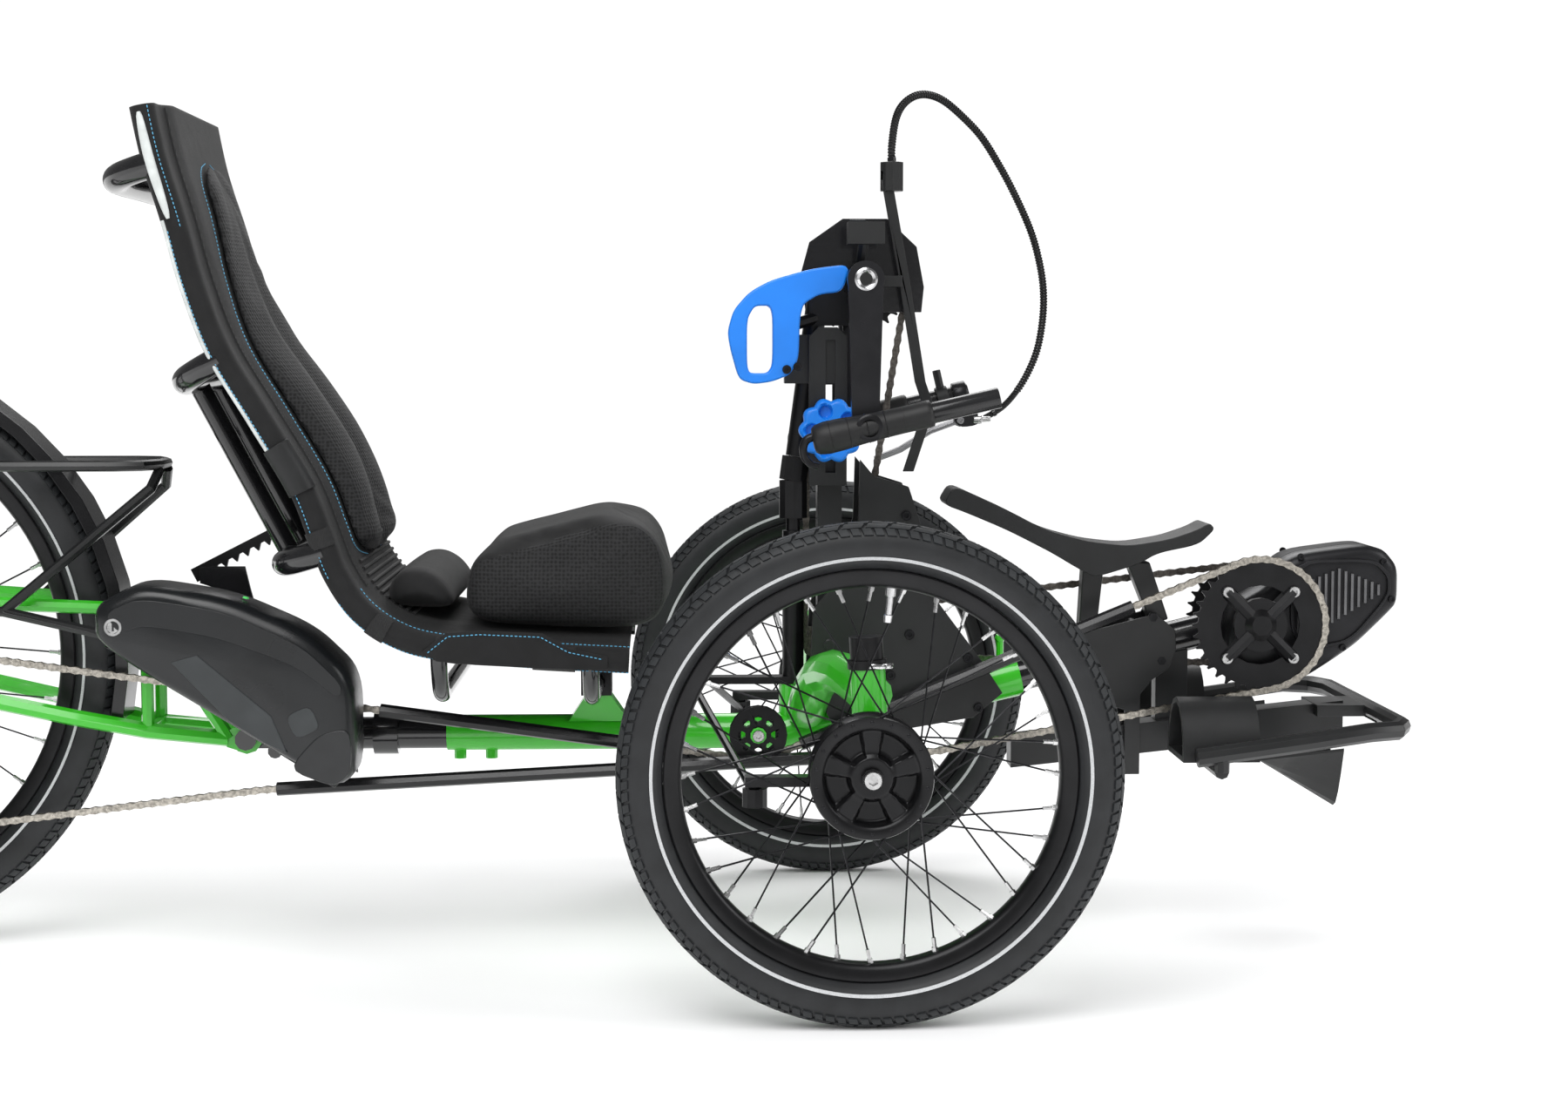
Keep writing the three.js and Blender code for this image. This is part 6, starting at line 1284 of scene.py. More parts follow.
def make_seat_trim():
    """Silver piping by the head, welts down the back, straps and clips round the rails, ribs in the bend."""
    piping = []
    for side in (RIGHT, LEFT):
        line = [around_rail(p, side, 100, CLOTH_LIFT + 1.6) for p in rail_line(0.2, 2.0)]
        piping.append(tube(line, 5.2, 12, share=lambda t: 0.35 + 0.65 * math.sin(math.pi * t) ** 0.5))
        line = [around_rail(p, side, 135, CLOTH_LIFT + 0.6) for p in rail_line(2.0, 5.4)]
        piping.append(tube(line, 2.4, 10))
    piece("silver_piping", *gather(piping), "seat", "silver_piping")
    welts = []
    for side in (RIGHT, LEFT):
        line = [on_rail(p, side * WELT_Y, sling_lift(WELT_Y) + 0.8) for p in rail_line(0.1, 8.6)]
        welts.append(tube(line, 1.6, 8))
    piece("sling_welts", *gather(welts), "seat", "webbing")
    straps = [rail_wrap(rail_line(first, first + STRAP_LENGTH), side, range(30, 240, 14), 0.5, 2.2)
              for side in (RIGHT, LEFT) for first in STRAP_STARTS]
    piece("rail_straps", *gather(straps), "seat", "webbing")
    ribs = [tube([on_rail(p, y, sling_lift(y) + 1.2) for y in range(-136, 137, 8)], 2.1, 8)
            for p in rail_line(8.0, 10.0)[::2]]
    piece("bend_ribs", *gather(ribs), "seat", "webbing")
    clips = [rail_wrap(rail_line(5.35, 6.1), side, range(15, 160, 12), 0.6, 3.4) for side in (RIGHT, LEFT)]
    round_edges(piece("sling_clips", *gather(clips), "seat", "moulded_black"), 0.8)


def make_flaps():
    """The trapezoid side flaps of the base, each a stitched panel that hangs from the rail."""
    outline = [(-455, 352), (-430, 372), (-395, 374), (-330, 371), (-300, 354), (-262, 346), (-262, 332),
               (-330, 334), (-400, 338), (-440, 342)]
    panels_made = []
    lines = []
    for side in (RIGHT, LEFT):
        y = side * (RAIL_HALF + CLOTH_LIFT)
        panels_made.append(slab(outline, y + side * 0.3, y + side * 2.6))
        inset = [(-448, 352), (-428, 368), (-395, 370), (-332, 367), (-303, 351), (-266, 343)]
        lines.append([at(px, y + side * 3.0, pz) for px, pz in inset])
    round_edges(piece("base_flaps", *gather(panels_made), "seat", "seat_cloth"), 0.8)
    stitched("flap_stitches", lines)


def make_seat():
    make_sling()
    make_back_pad()
    make_cushion()
    make_roll()
    make_seams()
    make_seat_trim()
    make_flaps()


# Battery
BATTERY_SHARES = [(0, 0.89), (0.17, 1), (0.51, 0.93), (0.82, 0.76), (1, 0.54), (1, 0.07), (0.92, 0), (0, 0.7)]
BATTERY_BOX = (-799, 204, 271, 219)
BATTERY_LEVELS = [(-92.3, 9), (-93.5, 4), (-97, 1), (-102, 0), (-160, 0), (-168, 2.5), (-173, 7), (-176, 13),
                  (-177.5, 21)]
BAND_SHARES = [(0.30, 0.62), (0.40, 0.655), (0.68, 0.36), (0.74, 0.18), (0.66, 0.225), (0.52, 0.335)]
CREST_SHARES = [(0.05, 0.86), (0.18, 0.93), (0.50, 0.865), (0.80, 0.70), (0.955, 0.51), (0.94, 0.44),
                (0.78, 0.60), (0.48, 0.74), (0.20, 0.80), (0.10, 0.76)]
NOSE_SHARES = [(0.985, 0.30), (0.985, 0.08), (0.915, 0.015), (0.74, 0.10), (0.86, 0.27)]
PORT_SHARES = [(0.735, 0.36), (0.83, 0.41), (0.87, 0.30), (0.775, 0.245)]
FOOT_SHARES = [(0.02, 0.685), (0.055, 0.66), (0.905, -0.012), (0.93, 0.02), (0.10, 0.665)]
LOCK_PROFILE = [(-3, 0), (-3, 9.5), (0.4, 9.5), (1.2, 9), (1.2, 6.6), (0.2, 6), (0.2, 0)]
LOCK_X, LOCK_Z = -777, 377


def battery_part(name, outline, inner, outer, finish, rounding):
    """A flat part on the battery between two sides, its edges rounded."""
    round_edges(piece(f"battery_{name}", *slab(outline, inner, outer), "frame", finish), rounding)


def make_battery():
    outline = smooth_outline(outline_of(BATTERY_SHARES, *BATTERY_BOX), 6)
    case = piece("battery_case", *shell(outline, BATTERY_LEVELS), "frame", "battery_case", sharp=60)
    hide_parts("battery")
    band = outline_of(BAND_SHARES, *BATTERY_BOX)
    crest = smooth_outline(outline_of(CREST_SHARES, *BATTERY_BOX), 4)
    nose = smooth_outline(outline_of(NOSE_SHARES, *BATTERY_BOX), 3)
    port = smooth_outline(outline_of(PORT_SHARES, *BATTERY_BOX), 3)
    battery_part("band", band, -176.6, -178.6, "battery_band", 0.9)
    battery_part("crest", crest, -176.4, -178.2, "battery_case", 0.8)
    battery_part("nose", nose, -174.5, -178.9, "gloss_black_shell", 1.2)
    battery_part("port", port, -176.9, -178.9, "battery_band", 0.6)
    lock = spun(LOCK_PROFILE, (LOCK_X, -177.6, LOCK_Z), (0, -1, 0))
    piece("battery_lock_ring", *lock, "frame", "battery_bright")
    # The lock's keyway is a raised gloss black bar: painted shade standing in for the slot's recess
    key = block((LOCK_X - 1, -177.4, LOCK_Z - 4), (LOCK_X + 1, -178.6, LOCK_Z + 4))
    piece("battery_key_slot", *key, "frame", "gloss_black_shell")
    (lamp_x, lamp_z), = outline_of([(0.565, 0.912)], *BATTERY_BOX)
    lamp = spun([(-1, 0), (-1, 3.4), (0.6, 3.0), (1.0, 0)], (lamp_x, -135, lamp_z), (0.25, 0, 0.97))
    piece("battery_lamp", *lamp, "frame", "green_lamp")
    battery_part("foot", outline_of(FOOT_SHARES, *BATTERY_BOX), -96, -150, "gloss_black_shell", 0.8)


# Motor
MOTOR_SHARES = [(0.25, 0.72), (0.37, 0.93), (0.81, 1), (0.92, 0.96), (1, 0.84), (1, 0.59), (0.94, 0.51),
                (0.77, 0.31), (0.64, 0.2), (0.46, 0.06), (0.26, 0), (0.08, 0.09), (0, 0.31), (0.06, 0.59)]
MOTOR_BOX = (421, 289, 193, 160)
MOTOR_LEVELS = [(-43.5, 14), (-43, 8), (-40, 3), (-35, 0), (-4, 0), (-3.4, 1.2), (-2.2, 1.2), (-1.6, 0),
                (33, 0), (38, 3), (41, 8), (41.5, 14)]
MOTOR_SCREWS = ((503, 436), (596, 430), (606, 388), (552, 334))
GRILLE = [(493, 432), (585, 434), (604, 416), (604, 392), (560, 340), (520, 333), (491, 350)]
RIB_START, RIB_STEP, RIB_WIDTH, RIB_COUNT = 500, 7.4, 3.2, 13
RING_BOLTS_RADIUS = 52


def make_motor():
    outline = smooth_outline(outline_of(MOTOR_SHARES, *MOTOR_BOX), 5)
    case = piece("motor_case", *shell(outline, MOTOR_LEVELS), "frame", "motor_black", sharp=50)
    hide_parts("motor")
    ribs = []
    for side, face in ((RIGHT, -43.4), (LEFT, 41.4)):
        for k in range(RIB_COUNT):
            rib_x = RIB_START + k * RIB_STEP
            top = 423 - 3.0 * abs(k - 6)
            low = max(340 + k * 4.4, 349)
            if top - low > 8:
                ribs.append(block((rib_x, face, low), (rib_x + RIB_WIDTH, face + side * 3.4, top)))
    round_edges(piece("motor_ribs", *gather(ribs), "frame", "motor_fins"), 0.5)
    rim = smooth_outline(GRILLE, 4)
    middle = sum((Vector(p) for p in rim), Vector((0, 0))) / len(rim)
    inner = [tuple(middle + (Vector(p) - middle) * 0.93) for p in rim]
    ring_parts = []
    for side, face in ((RIGHT, -43.0), (LEFT, 41.0)):
        rows = [[at(a[0], face, a[1]), at(a[0], face + side * 4.4, a[1]), at(b[0], face + side * 4.4, b[1]),
                 at(b[0], face, b[1])] for a, b in zip(rim, inner)]
        ring_parts.append(grid(rows, close_rows=True, close_columns=True))
    round_edges(piece("motor_grille_rim", *gather(ring_parts), "frame", "motor_black"), 0.8)
    screws = [((px, face, pz), (0, side, 0), 0.7) for side, face in ((RIGHT, -43.5), (LEFT, 41.5))
              for px, pz in MOTOR_SCREWS]
    fixings("motor_screws", FORMS["screw"], screws, "frame", "black_bolt")
    chainring_bolts = []
    for k in range(4):
        angle = math.radians(45 + 90 * k)
        spot = (MOTOR_AXLE[0] + RING_BOLTS_RADIUS * math.cos(angle), -64.8,
                MOTOR_AXLE[1] + RING_BOLTS_RADIUS * math.sin(angle))
        chainring_bolts.append((spot, (0, -1, 0), 1.15))
    fixings("chainring_bolts", FORMS["screw"], chainring_bolts, "chainring", "zinc_bolt")


# Grips, levers, knob and cable
GRIP_TILT = math.radians(13)
GRIP_AXIS = (math.cos(GRIP_TILT), 0, math.sin(GRIP_TILT))
GRIP_X, GRIP_Y, GRIP_Z = 14, 150, 583
GRIP_PROFILE = [(-61, 0), (-61, 9), (-60, 13), (-56, 16), (-46, 17.6), (-30, 17.2), (-10, 15.6), (12, 14.6),
                (36, 14.2), (56, 14.4), (64, 14.8), (68, 14.3), (69.5, 12.2), (69.5, 11.2), (60, 11.2)]
HOOK_LINE = [(-52, 2), (-60, 4), (-68, 2), (-73, -6), (-73, -16), (-68, -24), (-61, -28)]


def grip_place(side, along, up=0.0):
    """A place beside a grip, in millimetres: along its tube from the pivot, and square to the tube."""
    return (GRIP_X + along * math.cos(GRIP_TILT) - up * math.sin(GRIP_TILT), side * GRIP_Y,
            GRIP_Z + along * math.sin(GRIP_TILT) + up * math.cos(GRIP_TILT))


def make_grip(side):
    body = f"{SIDE_NAMES[side]}_grip"
    origin = grip_place(side, 0)
    grip = piece(f"{body}_rubber", *spun(GRIP_PROFILE, origin, GRIP_AXIS, 48), body, "soft_rubber", sharp=50)
    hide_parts(body)
    bar = [(60, 0), (60, 11.2), (141, 11.2), (142, 10.8), (142, 9.6), (141, 9.2), (132, 9.0), (132, 0)]
    piece(f"{body}_tube", *spun(bar, origin, GRIP_AXIS, 40), body, "grip_tube", sharp=40)
    hook = smooth_line([at(*grip_place(side, a, u)) for a, u in HOOK_LINE], 4)
    piece(f"{body}_hook", *tube(hook, 4.6, 14, share=lambda t: 1.1 - 0.3 * t), body, "grip_hook")
    eye = [(-15, 9.4), (-15, 13), (-14, 14.8), (14, 14.8), (15, 13), (15, 9.4)]
    barrel = spun(eye, origin, (0, 1, 0), 40)
    piece(f"{body}_pivot", *barrel, body, "grip_hook")
    rings = []
    for k in range(5):
        a = -42 + k * 20
        radius = 17.9 - 0.55 * k * 1.6
        ridge = [(a - 1.0, radius - 1.4), (a, radius), (a + 1.0, radius - 1.4)]
        rings.append(spun(ridge, origin, GRIP_AXIS, 40))
    piece(f"{body}_ridges", *gather(rings), body, "soft_rubber")


def make_lever_clamp():
    """The left hand's lever clamp, hose stub and adjuster."""
    ring_profile = [(124, 11.4), (124, 14.4), (125, 15), (139, 15), (140, 14.4), (140, 11.4)]
    piece("lever_clamp", *spun(ring_profile, grip_place(LEFT, 0), GRIP_AXIS), "left_grip", "grip_hook")
    lug = [(134, 615), (153, 617), (164, 589), (164, 577), (144, 574), (135, 581)]
    round_edges(piece("lever_lug", *slab(smooth_outline(lug, 2), 141, 146), "left_grip", "grip_hook"), 0.8)
    stub_profile = [(0, 0), (0, 4.4), (1, 5), (9, 5), (10, 4.2), (10, 3.2), (20, 3.2), (20, 0)]
    stub = spun(stub_profile, (158, 143.5, 583), (1, 0, 0.05))
    piece("hose_adjuster", *stub, "left_grip", "grip_bright")
    pin = [((142.6, y, 582.7), (0, facing, 0), 0.8) for y, facing in ((141, -1), (154, 1))]
    fixings("lever_pin", FORMS["screw"], pin, "left_grip", "grip_pin")


KNOB_PLACE, KNOB_FACE, KNOB_BACK = (-20, 577), -55.4, -34
KNOB_RADIUS, KNOB_LOBES, LOBE_HEIGHT, KNOB_CUPS = 31.8, 10, 4.0, 5
KNOB_SEGMENTS = 200


def knob_radius(angle):
    wave = 0.5 + 0.5 * math.cos(KNOB_LOBES * angle)
    return KNOB_RADIUS + LOBE_HEIGHT * wave ** 0.6


def knob_dip(radius, angle):
    """How deep the knob's face lies at a place: a ring of cups round a raised middle."""
    cup = abs(((angle / (2 * math.pi) * KNOB_CUPS) % 1) - 0.5) * 2 * math.pi / KNOB_CUPS
    away = math.hypot(radius * math.cos(cup) - 21.5, radius * math.sin(cup))
    return 8.0 * (1 - ease(6.0, 8.4, away))


def make_knob():
    x, z = KNOB_PLACE
    rows = []
    for k in range(KNOB_SEGMENTS):
        angle = 2 * math.pi * k / KNOB_SEGMENTS
        edge = knob_radius(angle)
        edge_points = [(0, KNOB_BACK), (7.5, KNOB_BACK), (edge - 4, KNOB_BACK), (edge - 1, -35.4),
                       (edge, -38), (edge, -50), (edge - 1.2, -53.4), (edge - 4, KNOB_FACE)]
        inner = [30 - i * 1.25 for i in range(1, 18)]
        top = [(min(r, edge - 4.5), KNOB_FACE + knob_dip(r, angle)) for r in inner]
        reach = 6.2 / hex_cosine(angle)
        hole = [(reach, KNOB_FACE), (reach, -50), (0, -50)]
        rows.append([at(x + r * math.cos(angle), y, z + r * math.sin(angle))
                     for r, y in [*edge_points, *top, *hole]])
    knob = piece("knob_body", *grid(rows, close_rows=True), "clamp_knob", "blue_nylon", sharp=40)
    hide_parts("clamp_knob")
    bolt = spun([(0, 0), (0, 4.6), (3.2, 4.6), (3.8, 4.0), (3.8, 0)], (x, -50, z), (0, -1, 0), 24)
    piece("knob_stud", *bolt, "clamp_knob", "blue_steel")


CABLE_ROUTE = [(49, -5, 873), (49, -3, 889), (54, 9, 919), (63, 24, 937), (77, 35, 948), (93, 46, 951),
               (112, 60, 946), (134, 75, 931), (159, 90, 908), (182, 104, 876), (201, 114, 844),
               (220, 124, 806), (231, 131, 774), (238, 137, 740), (239, 142, 706), (234, 146, 669),
               (224, 149, 641), (210, 150, 617), (193, 150, 598), (172, 150, 585)]
CABLE_RADIUS, CABLE_SIDES = 3.6, 16
WRAP_STEP = 3.4


def make_cable():
    line = smooth_line([at(*p) for p in CABLE_ROUTE], 8)
    sleeve = piece("cable_sleeve", *tube(line, CABLE_RADIUS, CABLE_SIDES), "crank_head", "braided_sleeve",
                   uv=tube_uv(line, CABLE_RADIUS, CABLE_SIDES))
    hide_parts("cable_loop")
    ends = [tube([line[-6], line[-5]], 4.6, 14), tube([line[0], line[3]], 4.8, 14)]
    piece("cable_ferrules", *gather(ends), "crank_head", "gloss_black")
    lean = Vector((0.25, 0.4, 0.1))
    turns = [(place, (along + lean).normalized(), 1.0) for place, along in evenly(line[2:-16], WRAP_STEP)]
    spread("cable_turns", FORMS["coil"], turns, "crank_head", "gloss_black")


# Finish and edge rounding in millimetres of each node of the source that stays in view
NODE_FINISHES = {
    "main_frame": ("green_powder_coat", 1.2), "rear_inner_tube": ("gloss_black_tube", 0.8),
    "rear_frame": ("green_powder_coat", 1.0), "luggage_rack": ("black_powder_coat", 0.6),
    "mudguard": ("gloss_black", 0.8), "boom_tube": ("gloss_black_tube", 0.8),
    "boom_cover": ("black_powder_coat", 0.8), "foot_hoop": ("black_powder_coat", 0.8),
    "right_heel_cup": ("moulded_black", 0.8), "left_heel_cup": ("moulded_black", 0.8),
    "mast_plates": ("black_powder_coat", 0.8),
    "mast_post": ("black_powder_coat", 0.8), "seat_clamp": ("black_anodised", 0.8),
    "drive_tube_front": ("gloss_black", 0.4), "drive_tube_rear": ("gloss_black", 0.4),
    "return_tube": ("gloss_black", 0.4), "cassette": ("chain_nickel", 0.3),
    "derailleur": ("black_anodised", 0.6),
    "drive_idler": ("black_anodised", 0.6), "jackshaft": ("black_anodised", 0.6),
    "chainring": ("black_anodised", 0.8), "right_knuckle": ("black_anodised", 0.8),
    "left_knuckle": ("black_anodised", 0.8), "right_tie_rod": ("black_anodised", 0.4),
    "left_tie_rod": ("black_anodised", 0.4), "tower": ("black_powder_coat", 0.8),
    "steering_shaft": ("black_anodised", 0.6), "drop_arm": ("black_anodised", 0.8),
    "crank_head": ("black_anodised", 0.8), "crank_guard": ("guard_gloss", 0.5),
    "display": ("moulded_black", 1.2), "guide_bar": ("black_powder_coat", 0.6),
    "right_crank": ("crank_grey", 2.2), "left_crank": ("crank_grey", 2.2),
    "brake_lever": ("lever_alloy", 0.8),
    "shifter": ("moulded_black", 1.0),
}


def finish_nodes():
    for name, (finish, width) in NODE_FINISHES.items():
        node = nodes[name]
        node.data.materials.clear()
        node.data.materials.append(finishes[finish])
        normals = node.data.attributes.get("custom_normal")
        if normals is not None:
            node.data.attributes.remove(normals)
        weld = node.modifiers.new("weld", "WELD")
        weld.merge_threshold = NODE_MERGE
        node.data.shade_smooth()
        round_edges(node, width)


# Bent tubes and moulded pieces
CROSS_TUBES = [0.065, 0.31, 0.575]
HALF_CROSS_SHARES = [(1, 0), (0.97, 0.35), (0.88, 0.74), (0.74, 0.95), (0.55, 1)]
HALF_UNDER_SHARES = [(1, 0), (0.98, 0.4), (0.9, 0.8), (0.78, 0.98), (0.6, 1)]
UNDER_BARS = ((-280, 296), (-439, 300))
TUBE_BULGE = 55
RAIL_RADIUS, CROSS_RADIUS, UNDER_RADIUS = 11, 14, 9
LADDER_PLACE, LADDER_Y = (-624, 467), 20
LADDER_LENGTH, LADDER_HEIGHT, LADDER_ANGLE = 118, 16, math.radians(27)
LADDER_TEETH = 7


def both_halves(half_shares):
    """A bow's shares from one rail to the other."""
    return [*((-across, out) for across, out in half_shares), (0, 1), *reversed(half_shares)]


def rail_place(share):
    """The place and the backward direction at a share of the rail's length."""
    line = rail_line(0, len(RAIL) - 1)
    wanted = share * line[-1][4]
    place = next(p for p in line if p[4] >= wanted)
    return Vector(place[:2]), -Vector(place[2:4])


def make_seat_frame():
    """Two bent rails, three bowed cross tubes, two stays and two bars under the base."""
    parts = []
    for side in (RIGHT, LEFT):
        line = [on_rail(p, side * RAIL_HALF, 0) for p in rail_line(0, len(RAIL) - 1)]
        parts.append(tube(line, RAIL_RADIUS, 20))
    backs = []
    for share in CROSS_TUBES:
        here, back = rail_place(share)
        backs.append(here + back * TUBE_BULGE)
        bow = [at(here[0] + back[0] * TUBE_BULGE * out, across * RAIL_HALF,
                  here[1] + back[1] * TUBE_BULGE * out) for across, out in both_halves(HALF_CROSS_SHARES)]
        parts.append(tube(smooth_line(bow, 4), CROSS_RADIUS, 24))
    for side in (RIGHT, LEFT):
        y = side * RAIL_HALF * 0.33
        parts.append(tube([at(b[0], y, b[1]) for b in backs[1:]], RAIL_RADIUS, 24))
    for x, z in UNDER_BARS:
        rail_z = min((abs(p[0] - x), p[1]) for p in rail_line(8, len(RAIL) - 1))[1]
        bow = [at(x, across * RAIL_HALF, rail_z + (z - rail_z) * down)
               for across, down in both_halves(HALF_UNDER_SHARES)]
        parts.append(tube(smooth_line(bow, 4), UNDER_RADIUS, 20))
    tubes = piece("seat_tubes", *gather(parts), "seat", "gloss_black_tube", sharp=60)
    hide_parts("seat_frame")
    joint = backs[-1]
    cap = [(0, 0), (0, 13), (1.5, 15), (7, 15), (8.5, 13), (8.5, 0)]
    heads = [spun(cap, (joint[0], y, joint[1]), (0, 1, 0)) for y in (-72, 62)]
    piece("stay_caps", *gather(heads), "seat", "black_anodised")


def make_ladder():
    """The toothed bar that sets the seat's angle."""
    along = Vector((math.cos(LADDER_ANGLE), math.sin(LADDER_ANGLE)))
    down = Vector((along[1], -along[0]))
    outline = [(0.0, -LADDER_HEIGHT / 2), (0.0, LADDER_HEIGHT / 2)]
    step = -LADDER_LENGTH * 0.8 / LADDER_TEETH
    for k in range(LADDER_TEETH):
        start = -LADDER_LENGTH * (0.12 + 0.8 * k / LADDER_TEETH)
        outline += [(start, LADDER_HEIGHT / 2), (start + step * 0.2, LADDER_HEIGHT * 0.1),
                    (start + step * 0.55, LADDER_HEIGHT * 0.1), (start + step * 0.95, LADDER_HEIGHT / 2)]
    outline += [(-LADDER_LENGTH, LADDER_HEIGHT / 2), (-LADDER_LENGTH, -LADDER_HEIGHT / 2)]
    places = [tuple(Vector(LADDER_PLACE) + along * a + down * b) for a, b in outline]
    bar = piece("seat_ladder", *slab(places[::-1], LADDER_Y - 3, LADDER_Y + 3), "seat", "black_anodised")
    round_edges(bar, 0.5)


HANDLE_SHARES = [(0.02, 0.30), (0, 0.44), (0.05, 0.62), (0.18, 0.77), (0.36, 0.87), (0.68, 0.96), (1, 1),
                 (0.94, 0.77), (0.75, 0.75), (0.62, 0.67), (0.59, 0.55), (0.58, 0.21), (0.51, 0.08),
                 (0.36, 0.02), (0.21, 0), (0.09, 0.04)]
HANDLE_BOX = (-134, 628, 133, 130)
WINDOW_SHARES = [(0, 0.12), (0.1, 0), (0.8, 0), (1, 0.12), (1, 1), (0.3, 1), (0, 0.8)]
WINDOW_BOX = (-113, 640, 28, 73)


def make_loop_handle():
    """The blue handle: an eased outline with a finger window."""
    outline = smooth_outline(outline_of(HANDLE_SHARES, *HANDLE_BOX), 5)
    window = smooth_outline(outline_of(WINDOW_SHARES, *WINDOW_BOX), 5)
    body = piece("handle_body", *slab(outline, -72, -48), "crank_head", "blue_nylon")
    hole = piece("handle_hole", *slab(window, -90, -30), "crank_head", "blue_nylon")
    cut = body.modifiers.new("window", "BOOLEAN")
    cut.operation = "DIFFERENCE"
    cut.solver = "EXACT"
    cut.object = hole
    bpy.context.view_layer.update()
    made = settled(body)
    body.modifiers.remove(cut)
    body.data = made
    bpy.data.objects.remove(hole)
    round_edges(body, 4, 3)
    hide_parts("loop_handle")


CALF_SHARES = [(0.04, 1), (0.13, 0.88), (0.24, 0.73), (0.38, 0.51), (0.53, 0.39), (0.68, 0.34), (0.83, 0.41),
               (0.93, 0.51), (0.98, 0.59), (1, 0.52), (0.94, 0.35), (0.79, 0.26), (0.72, 0.14), (0.6, 0.03),
               (0.55, 0), (0.41, 0.25), (0.24, 0.51), (0.09, 0.7), (0, 0.8)]
CALF_BOX = (105, 413, 304, 102)


def make_calf_rest():
    """The black moulded rest, its side outline smooth and its top edges round, on two legs."""
    outline = smooth_outline(outline_of(CALF_SHARES, *CALF_BOX), 4)
    rest = piece("calf_rest_shell", *slab(outline, -34, 34), "frame", "moulded_black")
    round_edges(rest, 5, 3)
    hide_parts("calf_rest")
    legs = gather([slab([(260, 338.5), (280, 343.3), (289, 428), (265, 428)], -12, 12),
                   slab([(342, 358.2), (362, 363), (340, 428), (314, 428)], -12, 12)])
    round_edges(piece("calf_rest_legs", *legs, "frame", "black_powder_coat"), 2)


# Bolts and caps
MAST_BOLTS = ((63, 483), (67, 351), (132, 325), (46, 306), (144, 269))
COVER_BOLTS = ((342, 367), (352, 318))
HANDLE_BOLTS = ((-70, 644), (-58, 647))
HINGE = (-664, 238)
AXLE_BOLT_Y = 408.4


def pairs(places, y, size=1.0):
    """Fixings at places of the side view on both sides, facing outwards."""
    return [((x, side * y, z), (0, side, 0), size) for side in (RIGHT, LEFT) for x, z in places]


def make_bolts():
    screw = FORMS["screw"]
    right_axle, left_axle = pairs([(0, FRONT["radius"])], AXLE_BOLT_Y, 1.7)
    fixings("mast_bolts", screw, pairs(MAST_BOLTS, 46.2), "frame", "black_bolt")
    fixings("cover_bolts", FORMS["hex"], pairs(COVER_BOLTS, 23.4), "frame", "black_bolt")
    fixings("axle_bolts", screw, [right_axle], "right_wheel", "zinc_bolt")
    fixings("left_axle_bolt", screw, [left_axle], "left_wheel", "zinc_bolt")
    handle = [((x, -72.2, z), (0, -1, 0), 0.9) for x, z in HANDLE_BOLTS]
    fixings("handle_bolts", screw, handle, "crank_head", "black_bolt")
    fixings("hinge_bolts", screw, pairs([HINGE], 30.5, 1.3), "frame", "zinc_bolt")
    idler = [((IDLER[0], -72.5, IDLER[1]), (0, -1, 0), 1.2)]
    fixings("idler_bolt", screw, idler, "idler", "zinc_bolt")
    ring_profile = [(0, 6.5), (1.6, 8.2), (2.4, 10.2), (1.6, 12.4), (0, 12.8)]
    for side in (RIGHT, LEFT):
        name = f"{SIDE_NAMES[side]}_crank"
        place = (CRANK[0], side * 102.6, CRANK[1])
        piece(f"{name}_cap_ring", *spun(ring_profile, place, (0, side, 0)), "crank", "crank_bright")
        # The cap ring's middle is filled with a flat near-black disc: painted shade standing in for the
        # hole's recess
        hole = spun([(0, 0), (0.4, 0), (0.4, 7.2), (0, 7.4)], place, (0, side, 0))
        piece(f"{name}_cap_hole", *hole, "crank", "crank_dark")


KINGPIN_LEAN = math.radians(3)
HEADSET_PROFILE = [(0, 14), (0, 20.4), (1, 20.8), (4, 20.8), (5, 20.2), (5, 14)]


def make_kingpins():
    """Polished headset rings on the front kingpins."""
    for side in (RIGHT, LEFT):
        lean = Vector((0, -side * math.sin(KINGPIN_LEAN), math.cos(KINGPIN_LEAN)))
        headset = spun(HEADSET_PROFILE, (6, side * 318, 348.5), lean)
        piece(f"{SIDE_NAMES[side]}_headset_ring", *headset, "frame", "polished_alloy")


def make_display():
    """A glass face on the display."""
    screen = block((-1, -66, 790), (16, -65.4, 806))
    round_edges(piece("display_glass", *screen, "crank_head", "screen_glass"), 0.5)


# Floor and light
FLOOR_HALF = 40
FADE_START, FADE_END = 1.3, 3.0
WHITE = 1.05
LAMP_TARGET = Vector((0.2, 0, 0.4))
# Lamps: name, place in metres, size and power
LAMPS = (("key", (-0.6, -2.6, 3.4), 2.6, 105), ("back", (0.6, 2.6, 2.8), 2.2, 55),
         ("side", (3.2, -1.2, 1.9), 1.6, 30))


def fade_floor(paint, shader):
    """Lets the floor turn into the plain white of the background well away from the part."""
    tree = paint.node_tree
    places = tree.nodes.new("ShaderNodeTexCoord").outputs["Object"]
    far = tree.nodes.new("ShaderNodeVectorMath")
    far.operation = "LENGTH"
    tree.links.new(places, far.inputs[0])
    share = tree.nodes.new("ShaderNodeMapRange")
    share.interpolation_type = "SMOOTHSTEP"
    share.inputs["From Min"].default_value = FADE_START
    share.inputs["From Max"].default_value = FADE_END
    tree.links.new(far.outputs["Value"], share.inputs["Value"])
    white = tree.nodes.new("ShaderNodeEmission")
    white.inputs["Strength"].default_value = WHITE
    mixed = tree.nodes.new("ShaderNodeMixShader")
    tree.links.new(share.outputs[0], mixed.inputs[0])
    tree.links.new(shader.outputs[0], mixed.inputs[1])
    tree.links.new(white.outputs[0], mixed.inputs[2])
    tree.links.new(mixed.outputs[0], tree.nodes["Material Output"].inputs["Surface"])


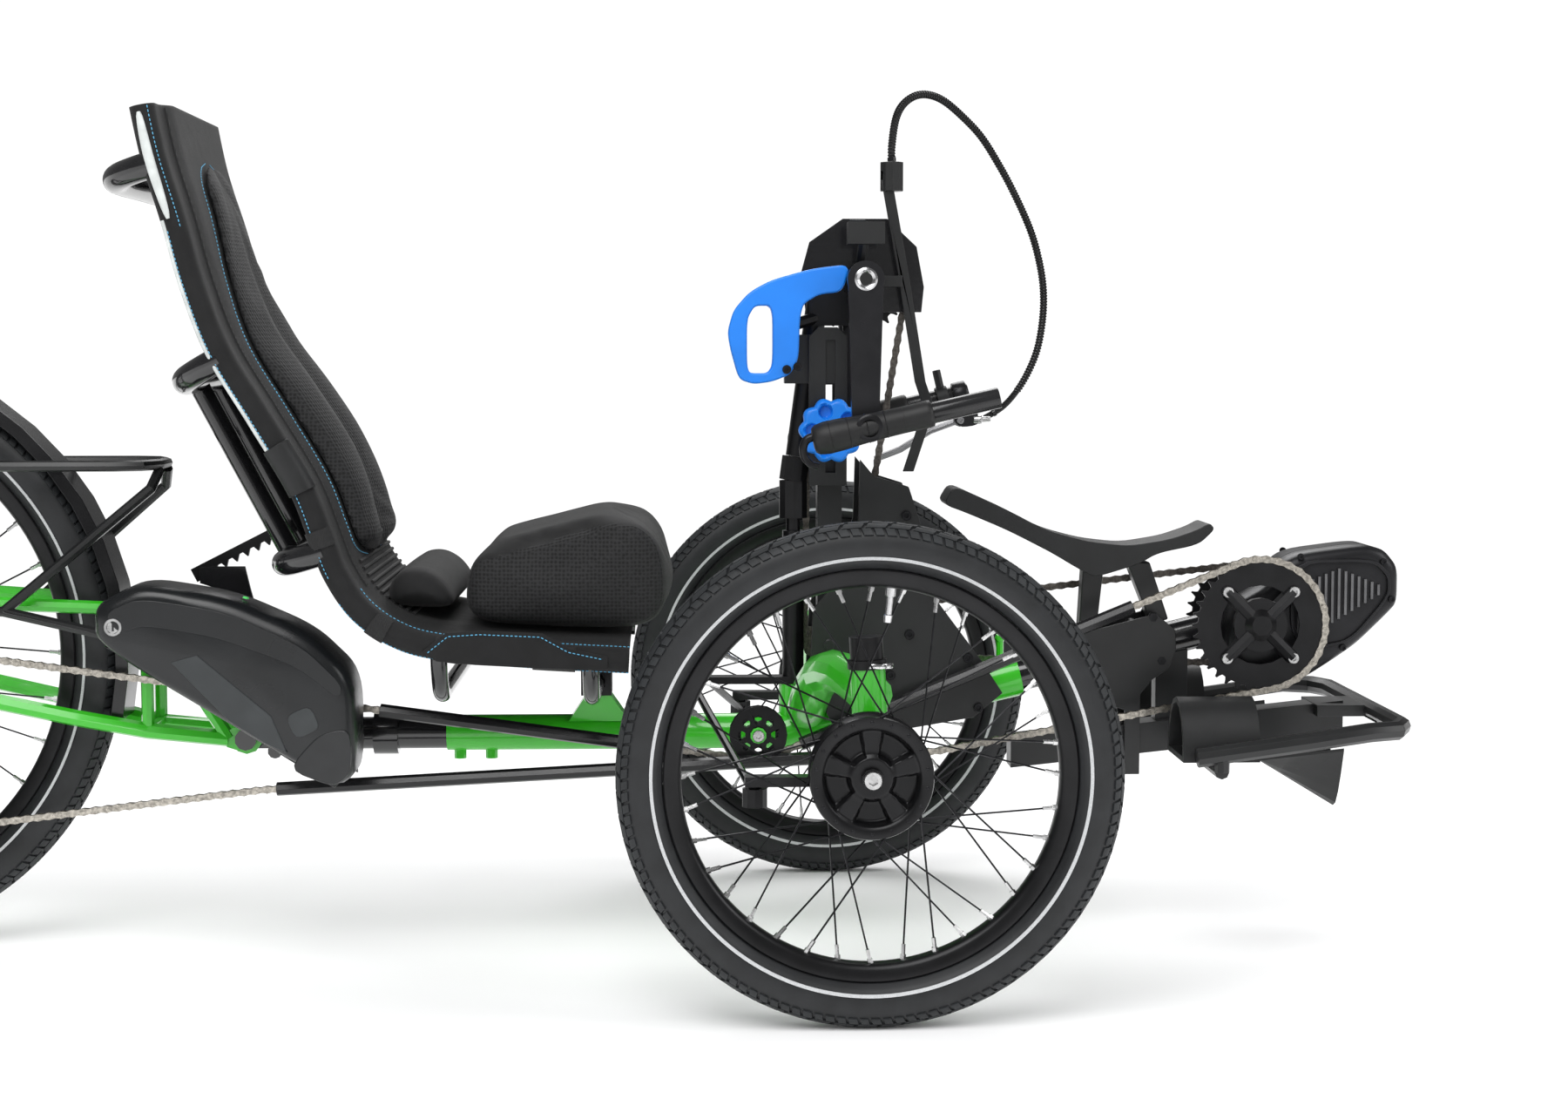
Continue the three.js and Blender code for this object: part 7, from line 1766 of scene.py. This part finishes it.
def make_stage():
    corners = [(-FLOOR_HALF, -FLOOR_HALF, 0), (FLOOR_HALF, -FLOOR_HALF, 0), (FLOOR_HALF, FLOOR_HALF, 0),
               (-FLOOR_HALF, FLOOR_HALF, 0)]
    floor_mesh = mesh_of("floor", corners, [(0, 1, 2, 3)])
    floor = in_scene("floor", floor_mesh)
    paint = bpy.data.materials.new("floor_white")
    paint.use_nodes = True
    shader = paint.node_tree.nodes["Principled BSDF"]
    shader.inputs["Base Color"].default_value = (0.93, 0.93, 0.935, 1)
    shader.inputs["Roughness"].default_value = 0.6
    shader.inputs["Specular IOR Level"].default_value = 0.2
    floor_mesh.materials.append(paint)
    fade_floor(paint, shader)
    world = bpy.data.worlds.new("studio")
    scene.world = world
    world.use_nodes = True
    tree = world.node_tree
    background = tree.nodes["Background"]
    background.inputs["Color"].default_value = (1, 1, 1, 1)
    path = tree.nodes.new("ShaderNodeLightPath")
    dimmed = tree.nodes.new("ShaderNodeMapRange")
    dimmed.inputs["To Min"].default_value = 0.85
    dimmed.inputs["To Max"].default_value = 0.16
    tree.links.new(path.outputs["Is Glossy Ray"], dimmed.inputs["Value"])
    level = tree.nodes.new("ShaderNodeMapRange")
    level.inputs["To Max"].default_value = WHITE
    tree.links.new(path.outputs["Is Camera Ray"], level.inputs["Value"])
    tree.links.new(dimmed.outputs[0], level.inputs["To Min"])
    tree.links.new(level.outputs[0], background.inputs["Strength"])
    for name, place, size, power in LAMPS:
        data = bpy.data.lights.new(name, "AREA")
        data.size = size
        data.energy = power
        lamp = in_scene(name, data)
        lamp.location = place
        lamp.rotation_euler = (LAMP_TARGET - Vector(place)).to_track_quat("-Z", "Y").to_euler()
    scene.view_settings.view_transform = "Standard"


make_camera()
finishes = make_finishes()
RING = ring_tree()
CHAIN = chain_tree()
FACING = facing_tree()
FORMS = {"dome": dome_form("dome_form", 4, 2), "inner_link": link_form("inner_link_form", 1.5, 0.9),
         "outer_link": link_form("outer_link_form", 2.5, 0.9),
         "screw": screw_form("screw_form", 5.4, 3.6, 2.8, 2.4), "hex": hex_form("hex_form", 6, 4),
         "stitch": stitch_form("stitch_form"), "coil": coil_form("coil_form", 4.1, 0.5)}
finish_nodes()
make_wheels()
make_sprockets()
make_chains()
make_seat_frame()
make_ladder()
make_seat()
make_calf_rest()
make_loop_handle()
make_battery()
make_motor()
make_grip(RIGHT)
make_grip(LEFT)
make_lever_clamp()
make_knob()
make_cable()
make_bolts()
make_kingpins()
make_display()
make_stage()
